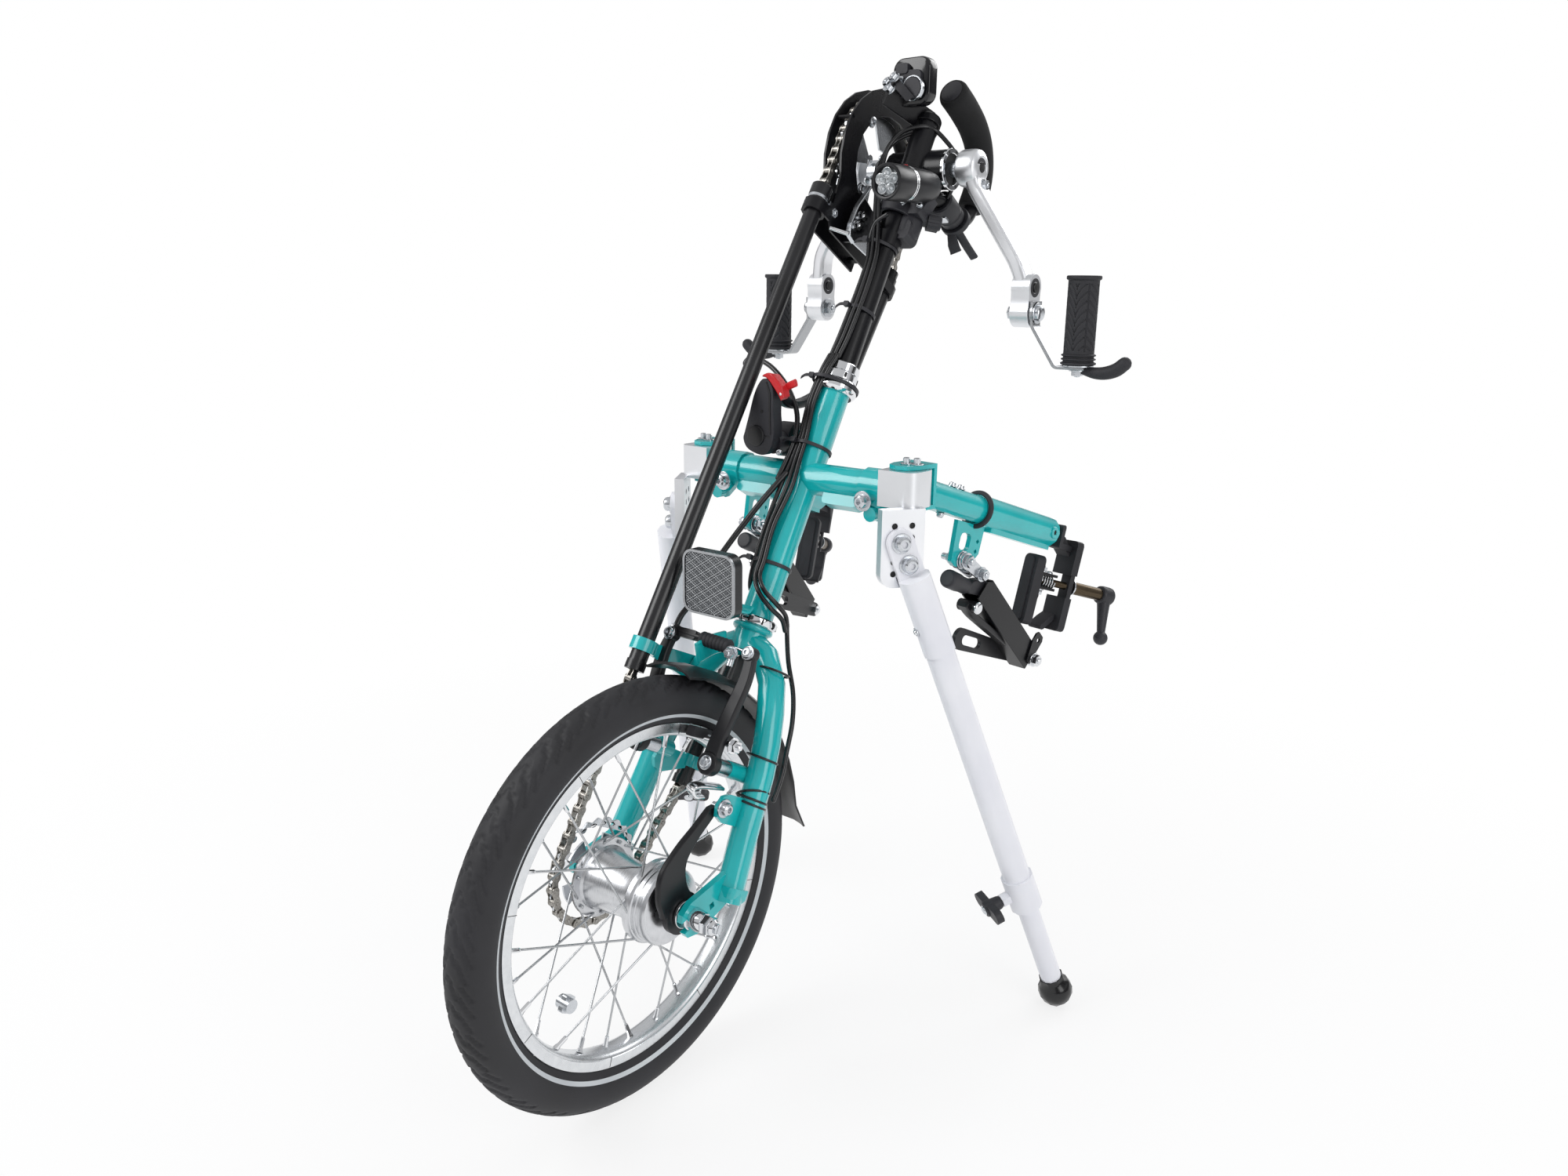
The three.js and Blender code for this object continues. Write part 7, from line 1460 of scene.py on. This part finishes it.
def cables():
    """Casings held to the mast, head tube and fork, with their loops to the shifter and the levers."""
    mast_runs = [
        [
            (2.5, -16, 276), (6.5, -16.5, 304), (7.5, -18, 384), (0, -18.5, 414), (-13, -19, 452),
            (-24, -18, 495), (-23, -20, 513), (-16.7, -20, 526), (-4.5, -18, 536), (7.2, -10, 542.4),
            (12.3, 0, 545), (21.9, 10, 539.3), (33, 20, 527.8), (35, 30, 508), (28, 38, 490)
        ],
        [
            (-3, -16, 276), (0.8, -17, 304), (2, -18, 384), (-5.5, -18, 414), (-17, -18, 452),
            (-27.6, -17, 488), (-27, -16, 512), (-22, -14, 524), (-12, -10, 534), (-2, -4, 541)
        ],
        [
            (-8, -15, 276), (-4.8, -16, 304), (-2.6, -17, 384), (-8, -17, 405), (-6, -20, 424),
            (6, -22, 432)
        ]
    ]
    for index, run in enumerate(mast_runs):
        casing("mast_cable_%d" % (index + 1), run, "steering", stands_for=() if index else ["mast_cables"])
    frame_runs = [
        [
            (3.2, -19.4, 276), (-0.2, -21, 260), (-5, -20, 227), (0, -19, 187), (1.5, -19.5, 163),
            (5, -21.5, 135), (0, -22, 92), (2.6, -21.5, 57), (4.5, -22.6, 41), (16, -23.6, 28),
            (26.4, -12, 19.5), (27.8, 6, 13.4), (27.4, 14.5, 5)
        ],
        [
            (-2, -19, 276), (-5.2, -20.5, 260), (-9.6, -19, 227), (-4.6, -18.6, 187), (-4, -19, 163),
            (-1, -22, 135), (-5, -21.6, 92), (-2.2, -22, 57), (0, -23, 39), (12, -24.2, 24),
            (24, -16, 14), (29, 1, 8), (29.2, 11, 0)
        ],
        [
            (-7, -18, 276), (-10, -18.5, 260), (-13.6, -17, 227), (-9.3, -17, 187), (-9, -18, 163),
            (-8.4, -21.6, 133), (-12, -19, 92), (-13.4, -15, 57), (-15.4, -10, 40), (-15.8, -4, 30),
            (-14, 8, 22)
        ],
        [
            (-92.5, -30, 250), (-100, -30, 256), (-95, -30, 262.3), (-73, -28, 257.7),
            (-53.5, -25, 246.4), (-35, -22, 230), (-20, -20, 209), (-14, -19, 188), (-14, -19, 165),
            (-14.5, -22, 140)
        ]
    ]
    for index, run in enumerate(frame_runs):
        radius = 2.6 if index == 3 else 2.3
        casing(
            "frame_cable_%d" % (index + 1), run, "frame", radius,
            stands_for=() if index else ["frame_cables"]
        )
    thick = [
        (-6, -23, 146), (-12, -27, 128), (-20, -31, 105), (-36, -34, 62), (-44, -38, 30), (-45, -44, 0),
        (-49, -49, -18), (-50, -50, -31)
    ]
    casing("rim_brake_cable", thick, "steering", 2.9, 16)
    # Each tie's body, its height, its tube's radius and where its casings lie
    ties = [
        ("steering", 405.4, 12.7, (-3, -17)), ("steering", 331.6, 12.7, (2, -17.4)),
        ("frame", 250.5, 21.6, (-7, -21)), ("frame", 181.7, 15.9, (-4, -19)),
        ("frame", 57.4, 15.9, (-8, -18))
    ]
    for index, (body, z, radius, (x, y)) in enumerate(ties):
        band = []
        for k in range(48):
            angle = 2 * math.pi * k / 48
            out = radius + 0.9 + 5.6 * max(0, math.cos(angle - math.atan2(y, x))) ** 6
            band.append((out * math.cos(angle), out * math.sin(angle), z))
        band.append(band[0])
        strap = ribbon(band, 3.6, 1.3, (0, 0, 1), 0.4)
        head = slab(rounded(6, 5, 1, x - 8, z), 4.6, "y", y - 3.4)
        tail = smooth_line([(x - 10, y - 4, z), (x - 15, y - 5, z - 1), (x - 19, y - 5, z - 4)], 3)
        tail = ribbon(tail, 3.2, 1.1, (0, 0, 1), 0.3)
        make("cable_tie_%d" % (index + 1), [strap, head, tail], HEAD, nylon, body, 0.3, 35)
    back = [
        (27.5, 13, 7), (27.3, 18, -1), (42, 15, -28), (60, 13.5, -56), (69.5, 13.5, -82),
        (74, 13.5, -110), (77, 13, -126), (79, 11, -142), (80, 9, -154)
    ]
    casing("gear_cable", back, "steering", stands_for=["fork_cable"])
    hoop = [(14.6 + y, z) for y, z in (polar(1.15, math.radians(30 * k)) for k in range(12))]
    loops = ((41, 42, 0.0), (59.6, 122, 0.01), (62.6, 155, -0.41), (62.8, 159.5, 0.01), (63, 164, 0.03))
    for index, (x, drop, lean) in enumerate(loops):
        shells = turned_on([lathe(hoop, "x", 48, closed=True)], (x, 0, -drop), (lean, 0.05, 1))
        make("cable_loop_%d" % (index + 1), shells, HEAD, pvc, "steering", soft=60)


def brake():
    """Linear-pull rim brake: two blades on their studs, ribbed boot, bent pipe and the pads' hardware."""
    line = [
        (48.4, -52, -36), (51.2, -52, -52), (51.4, -52, -66), (48, -52, -92), (44.6, -52, -120),
        (44, -52, -141)
    ]
    for side, place in FORK_SIDES.items():
        body = body_of(side + "_brake_arm")
        smooth = smooth_line(line, 6)
        widths = [11 + 5.5 * (k / (len(smooth) - 1)) ** 1.2 for k in range(len(smooth))]
        blade = ribbon(smooth, widths, 8, (1, 0, 0), 2, 3)
        low = [(0, -57.4), (9.4, -57.4), (10.6, -56.2), (10.8, -50), (10.6, -47.4), (0, -47.4)]
        low = lathe(low, "y", 48, centre=(44, 0, -141.5))
        high = lathe([(0, -57), (6.2, -57), (7, -56), (7, -48), (0, -48)], "y", 40, centre=(48.4, 0, -38))
        shells = [blade, low, high]
        make(side + "_brake_blade", shells, place, black_satin, body, 0.6, 40, [side + "_brake_arm"])
        collar = [rod((44, -47.5, -141.5), (44, -27, -141.5), 7.6, sides=32)]
        make(side + "_brake_stud", collar, place, zinc, body, 0.3, 30)
        seats = [facing((44, -57.4, -141.5), (0, -1, 0)), facing((48.4, -57, -38), (0, -1, 0))]
        bolts(side + "_brake_bolts", seats, place, body, radius=5.2, head=3.4, washer=6.6, lift=1)
        pad = ribbon(
            [(18.2, -61, -119), (18.2, -36.6, -117.4), (18.2, -12, -119)], 9.6, 9.4, (0, 0, 1), 2.2, 3
        )
        make(side + "_brake_pad", [pad], place, moulded_rubber, body, 0.4, 40)
        stud = [rod((22, -42, -120), (60, -42, -120), 3.2)]
        stud += turned_on(
            [ring_shell(3.2, 7.6, 0, 2.4), ring_shell(3.2, 6.4, 2.4, 4.4)], (33, -42, -120), (1, 0, 0)
        )
        stud += turned_on(nut_and_bolt(10.5, 5.4, 7.8, 3, 3), (54.5, -42, -120), (1, 0, 0))
        make(side + "_pad_hardware", stud, place, chrome, body, soft=30)
    rib_mm = 4.4
    ribs = [(0, 0)]
    for start in (k * rib_mm for k in range(8)):
        ribs += [(6.0, start), (6.9, start + 1.4), (6.9, start + 2.6), (5.8, start + 4.2)]
    ribs.append((0, 8 * rib_mm))
    body = body_of("right_brake_arm")
    pipe_end = (-14, -50, -34.6)
    boot = turned_on([lathe(ribs, "x", 40)], pipe_end, (1, 0, -0.04))
    make("brake_boot", boot, HEAD, moulded_rubber, body, soft=45)
    pipe = along(
        smooth_line([pipe_end, (-30, -50, -34.2), (-42, -50, -33.6), (-49, -50, -31.5)], 6), 4.2, 24, True
    )
    holder = slab(rounded(26, 9, 2.4, -33, -34), 8, "y", -50)
    make("brake_pipe", [pipe, holder], HEAD, black_satin, body, 0.8, 40)
    ferrule = [lathe([(0, 0), (3.4, 0), (4, 1), (4, 6), (3, 7.4), (0, 8)], "x", 28)]
    ferrule = turned_on(ferrule, (-47, -50, -32), (-1, 0, 0.2))
    anchor = turned_on(nut_and_bolt(9.5, 5, 6.6, 2.8, 3.4), (27, -53, -41), (0.2, -1, -0.3))
    anchor += [rod((25, -50, -35), (47, -50, -37), 1.2), rod((27, -50, -40), (27, -50, -53), 3.1)]
    make("brake_cable_anchor", ferrule + anchor, HEAD, zinc, body_of("left_brake_arm"), soft=30)
    clip = [
        (48, -30, -158), (49, -50, -160), (49, -64, -162), (50, -73, -166), (50, -68, -171),
        (50, -56, -170)
    ]
    clip = ribbon(smooth_line(clip, 6), 10, 3.4, (1, 0, -0.3), 1.4, 3)
    make("lever_clip", [clip], HEAD, chrome, "steering", 0, 50)


def fork_ends():
    """Hub brake's reaction arm in its slotted lug, dropouts with washers, and the chromed axle nuts."""
    axis = (0, *AXLE_AT)
    body = body_of("hub_brake_arm")
    line = [
        (55, -40, -268), (55, -57, -256), (55, -67, -236), (55, -60, -212), (55, -49, -192),
        (55, -40, -174)
    ]
    smooth = smooth_line(line, 6)
    widths = [44 - 26 * (k / (len(smooth) - 1)) ** 0.75 for k in range(len(smooth))]
    blade = ribbon(smooth, widths, 6.4, (0, 0.86, 0.5), 2, 3)
    hub_disc = slab(disc(*AXLE_AT, 19.4, 48), 6.4, "x", 55)
    make("reaction_arm", [blade, hub_disc], HEAD, black_satin, body, 0.8, 40, ["hub_brake_arm"])
    lug = (-37.5, -174.2)
    seat = [facing((64.4, *lug), (1, 0, 0))]
    bolts("reaction_bolt", seat, HEAD, body, radius=6.2, head=5.4, washer=8.6, lift=1.4)
    make("reaction_bolt_shank", [rod((52, *lug), (66, *lug), 3.2)], HEAD, zinc, body)
    for name, place in FORK_SIDES.items():
        shells = [
            ring_shell(5.2, 12.6, 58.6, 61.8, "x", 56, 0.5, axis),
            ring_shell(5.2, 11.4, 69.4, 71.6, "x", 56, 0.5, axis),
            lathe(
                [(5.2, 71.6), (9.8, 71.6), (10.2, 72.4), (9.6, 79), (8.4, 84), (5.2, 84)], "x", 48, True,
                centre=axis
            ), placed(nut_shell(15.4, 9, 84), Matrix.Translation(axis)),
            lathe([(0, 84), (7.2, 84), (7.2, 94.6), (5.6, 97), (0, 97.2)], "x", 40, centre=axis)
        ]
        make(
            name + "_axle_nut", shells, place, chrome, "steering", 0.2, 30,
            ["axle"] if name == "left" else ()
        )
        slot = slab(rounded(1.4, 8, 0.3, *AXLE_AT), 0.4, "x", 99.5)
        end = rod((46, *AXLE_AT), (99.4, *AXLE_AT), 4.6)
        make(name + "_axle_end", [end, slot], place, zinc, "steering", 0.2, 30)
        crimp = ribbon(
            [(72.4, 0, -238), (73, 2, -247), (73.4, 4, -252)], [27.2, 28, 25], [26.6, 22, 12], (0, 1, 0),
            6, 5
        )
        make(name + "_blade_crimp", [crimp], place, teal, "steering", 0.6, 45)
    tab = ribbon(eased_line([(-10, -22, -28), (-10, -38, -36), (-10, -55, -50)], 6), 4, 20, (1, 0, 0), 1)
    make("crown_gusset", [tab], HEAD, teal, "steering", 0.6, 40)


def parking_lever():
    """Parking lever: rounded body with a pivot boss, lid seam and screw, its hooked blade and red latch."""
    body = body_of("brake_lever_body")
    face = [
        (-26.8, 3), (-25, 9), (-19, 28), (-13, 47), (-6.5, 58.5), (-1.5, 62.5), (4, 61.5), (9, 55),
        (10.5, 46), (10.4, 30)
    ]
    face += [(11.6, 20), (11.2, 6), (7, -6), (0, -11.5), (-12.5, -10.5), (-22.9, -5.5)]
    front = slab(smooth_outline(face), 9, "y", -37.5)
    back = slab(smooth_outline([(x * 0.82, z * 0.94) for x, z in face]), 9, "y", -30.5)
    clamp_band = [
        rod((-10, 0, 0), (10, 0, 0), 17.6, sides=48), rod((1, -30, -1), (1, -8, -1), 10.5, sides=40)
    ]
    make(
        "parking_lever_body", [front, back] + clamp_band, LEVER, nylon, body, 3.0, 45,
        ["brake_lever_body"]
    )
    boss = [(0, -43.6), (9.2, -43.6), (10.2, -43.2), (10.5, -42.2), (10.5, -40), (0, -40)]
    boss = lathe(boss, "y", 56, centre=(-10.5, 0, 6.6))
    seam = ribbon([(0.2, -42.3, 7.2), (6, -42.4, 6.6), (11.4, -40, 6.2)], 1.1, 0.9, (0, 0, 1), 0.3)
    rib = [(2, -42.2, 60), (6.2, -42.4, 50), (6.6, -42.4, 36), (7, -42.4, 20), (7.4, -42.2, 9)]
    rib = ribbon(smooth_line(rib, 5), 1.6, 1.6, (1, 0, 0), 0.6)
    make("parking_lever_lid", [boss, seam, rib], LEVER, abs_black, body, 0.3, 40)
    screw = turned_on(
        bolt_shells(radius=2.4, head=1.8, washer=3.2, lift=0.5), (9.4, -30, -9.4), (0.6, -0.7, -0.3)
    )
    make("parking_lever_screw", screw, LEVER, zinc, body, soft=30)
    # Painted shade: a near-black disc on the lid stands for the shade in a small hole
    dot = turned_on(
        [lathe([(0, 0), (1.5, 0), (1.5, 0.4), (0, 0.4)], "x", 20)], (-3.2, -42, 30.9), (0, -1, 0)
    )
    make("parking_lever_dot", dot, LEVER, hollow_shade_paint, body)
    blade = smooth_line(
        [(0, -19, 46), (0, -8, 38), (0, 4, 35), (0, 20, 35.6), (0, 34, 38.4), (0, 47, 42)], 6
    )
    widths = [9 + 4 * min(1, abs(k - len(blade) / 2) / len(blade)) for k in range(len(blade))]
    shells = [ribbon(blade, 12, widths, (1, 0, 0), 3.4, 4), rod((-5.8, -17, 46), (5.8, -17, 46), 5)]
    lever, lock = body_of("brake_lever"), body_of("parking_lock")
    make("parking_lever_blade", shells, LEVER, black_satin, lever, 0.8, 50, ["brake_lever"])
    latch = smooth_line(
        [(-2, -35, 64.5), (5, -36, 65), (11.5, -36, 59.5), (17, -35, 52), (19.6, -34, 44.5)], 6
    )
    widths = [5, 5.6, 6.4, 7, 7.4, 7.6] + [8] * 6 + [8.4] * 6 + [8, 7.6, 7.2, 6.8, 6.4, 6, 5.6]
    latch = ribbon(latch, widths, 12, (0.8, 0, 0.6), 2, 4)
    wing = smooth_line([(16, -29, 54), (22, -29, 57), (28.5, -29, 59.6)], 5)
    wing = ribbon(wing, 7.4, 4.6, (-0.3, 0, 1), 2, 4)
    make("parking_latch", [latch, wing], LEVER, red_abs, lock, 0.5, 45, ["parking_lock"])
    pip = turned_on([dome_shell(1.5, 0.9)], (18.7, -40.4, 48.8), (0, -1, 0))
    make("parking_latch_pin", pip, LEVER, chrome, lock)


tyre()
tyre_bands()
rim()
hub()
spokes()
toothed_plates()
chain()
for side in SIDES:
    crank(side)
    grip_bracket(side)
    grip_sleeve(side)
    corner(side)
    leg(side)
    arm(side)
    docking(side)
    clamp(side)
headset()
bottom_bracket()
chain_cover()
cables()
brake()
fork_ends()
parking_lever()
headlamp()
display()
hand_rest()
reflector()
shift_trigger()

SKINS = {
    "main_frame": (teal, 0.5),
    "fork": (teal, 0.4),
    "mast": (black_coat, 0.4),
    "chain_tube_front": (pvc, 0.3),
    "chain_tube_rear": (pvc, 0.3),
    "chain_guard": (black_coat, 0.3),
    "mudguard": (abs_black, 0.3),
}
for side in SIDES:
    SKINS.update(
        {
            side + "_corner_block": (anodised, 0.8),
            side + "_leg_tube": (white_coat, 0.4),
            side + "_leg_inner_tube": (white_coat, 0.0),
            side + "_leg_foot": (foot_rubber, 0.0),
            side + "_arm_bracket": (teal, 0.5),
            side + "_arm_sleeve": (teal, 0.4),
            side + "_fixed_jaw": (moulded_rubber, 0.8),
        }
    )
for node, (material, bevel) in SKINS.items():
    eased(node, material, bevel)


def studio():
    """A pale floor that keeps the shadow, and a white room with one darker band for metals to mirror."""
    corners = [(-60, -60, 0), (60, -60, 0), (60, 60, 0), (-60, 60, 0)]
    floor_mesh = mesh_of("floor", [(corners, [(0, 1, 2, 3)])])
    floor = bpy.data.objects.new("floor", floor_mesh)
    bpy.context.scene.collection.objects.link(floor)
    material, tree, principled, place = surface(
        "floor_paper", {"Base Color": linear("#F3F3F4"), "Roughness": 0.9}
    )
    rays = add(tree, "ShaderNodeLightPath")
    seen = add(tree, "ShaderNodeMath", {"operation": "MAXIMUM"}, {0: rays.outputs["Is Camera Ray"]})
    tree.links.new(rays.outputs["Is Glossy Ray"], seen.inputs[1])
    # The sweep of paper fades into the white wall a metre away
    away = add(tree, "ShaderNodeVectorMath", {"operation": "LENGTH"}, {0: place})
    fade = add(
        tree,
        "ShaderNodeMapRange",
        {"From Min": 0.35, "From Max": 1.25, "To Min": 0.8, "To Max": 1.0},
        {"Value": away.outputs["Value"]},
    )
    share = add(
        tree, "ShaderNodeMath", {"operation": "MULTIPLY"}, {0: seen.outputs[0], 1: fade.outputs["Result"]}
    )
    glow = add(tree, "ShaderNodeEmission", {"Color": linear("#FFFFFF"), "Strength": 1.0})
    mixed = add(
        tree,
        "ShaderNodeMixShader",
        None,
        {0: share.outputs[0], 1: principled.outputs["BSDF"], 2: glow.outputs["Emission"]},
    )
    output = next(n for n in tree.nodes if n.type == "OUTPUT_MATERIAL")
    tree.links.new(mixed.outputs["Shader"], output.inputs["Surface"])
    floor_mesh.materials.append(material)

    world = bpy.data.worlds.new("white_room")
    bpy.context.scene.world = world
    world.use_nodes = True
    tree = world.node_tree
    tree.nodes.clear()
    way = add(tree, "ShaderNodeTexCoord")
    axes = add(tree, "ShaderNodeSeparateXYZ", None, {"Vector": way.outputs["Generated"]})
    stops = [(0, (0.55, 0.55, 0.56, 1)), (1, (1, 1, 1, 1))]
    for height, level in ((0.05, 0.24), (0.16, 0.2), (0.3, 0.9)):
        stops.append((height, (level, level, level * 1.02, 1)))
    bands = add(tree, "ShaderNodeValToRGB", None, {"Fac": axes.outputs["Z"]}, stops)
    room = add(tree, "ShaderNodeBackground", {"Strength": 0.62}, {"Color": bands.outputs["Color"]})
    white = add(tree, "ShaderNodeBackground", {"Color": linear("#FFFFFF"), "Strength": 1.0})
    rays = add(tree, "ShaderNodeLightPath")
    mixed = add(
        tree,
        "ShaderNodeMixShader",
        None,
        {0: rays.outputs["Is Camera Ray"], 1: room.outputs["Background"], 2: white.outputs["Background"]},
    )
    add(tree, "ShaderNodeOutputWorld", None, {"Surface": mixed.outputs["Shader"]})


def softbox(name, at, target, size, power):
    light = bpy.data.lights.new(name, "AREA")
    light.shape = "RECTANGLE"
    light.size, light.size_y = size
    light.energy = power
    lamp = bpy.data.objects.new(name, light)
    lamp.location = at
    lamp.rotation_euler = (Vector(target) - Vector(at)).to_track_quat("-Z", "Y").to_euler()
    bpy.context.scene.collection.objects.link(lamp)


def camera():
    """The photograph's view: its place, angle and lens, measured from the wheel's outline."""
    azimuth, elevation, roll = (math.radians(a) for a in (38.104, 14.89, 0.739))
    photo_width, focal_length, sensor = 2000, 1438.9, 36
    level = math.cos(elevation)
    back = Vector((math.sin(azimuth) * level, -math.cos(azimuth) * level, math.sin(elevation)))
    right = (-back).cross(Vector((0, 0, 1))).normalized()
    up = right.cross(-back)
    tilted_right = right * math.cos(roll) + up * math.sin(roll)
    tilted_up = up * math.cos(roll) - right * math.sin(roll)
    data = bpy.data.cameras.new("camera")
    data.sensor_width = sensor
    data.lens = sensor * focal_length / photo_width
    data.clip_start = 0.01
    seen = bpy.data.objects.new("camera", data)
    turned = Matrix((tilted_right, tilted_up, back)).transposed().to_4x4()
    seen.matrix_world = Matrix.Translation((0.6665, -0.8190, 0.7277)) @ turned
    bpy.context.scene.collection.objects.link(seen)
    bpy.context.scene.camera = seen


studio()
softbox("key", (-1.3, -1.7, 2.1), (0, 0, 0.5), (1.4, 1.4), 34)
softbox("fill", (2.3, -0.6, 1.3), (0, 0, 0.45), (1.2, 1.6), 16)
softbox("back", (0.4, 2.2, 1.9), (0, 0, 0.5), (1.6, 1.0), 18)
camera()
bpy.context.scene.view_settings.view_transform = "Standard"
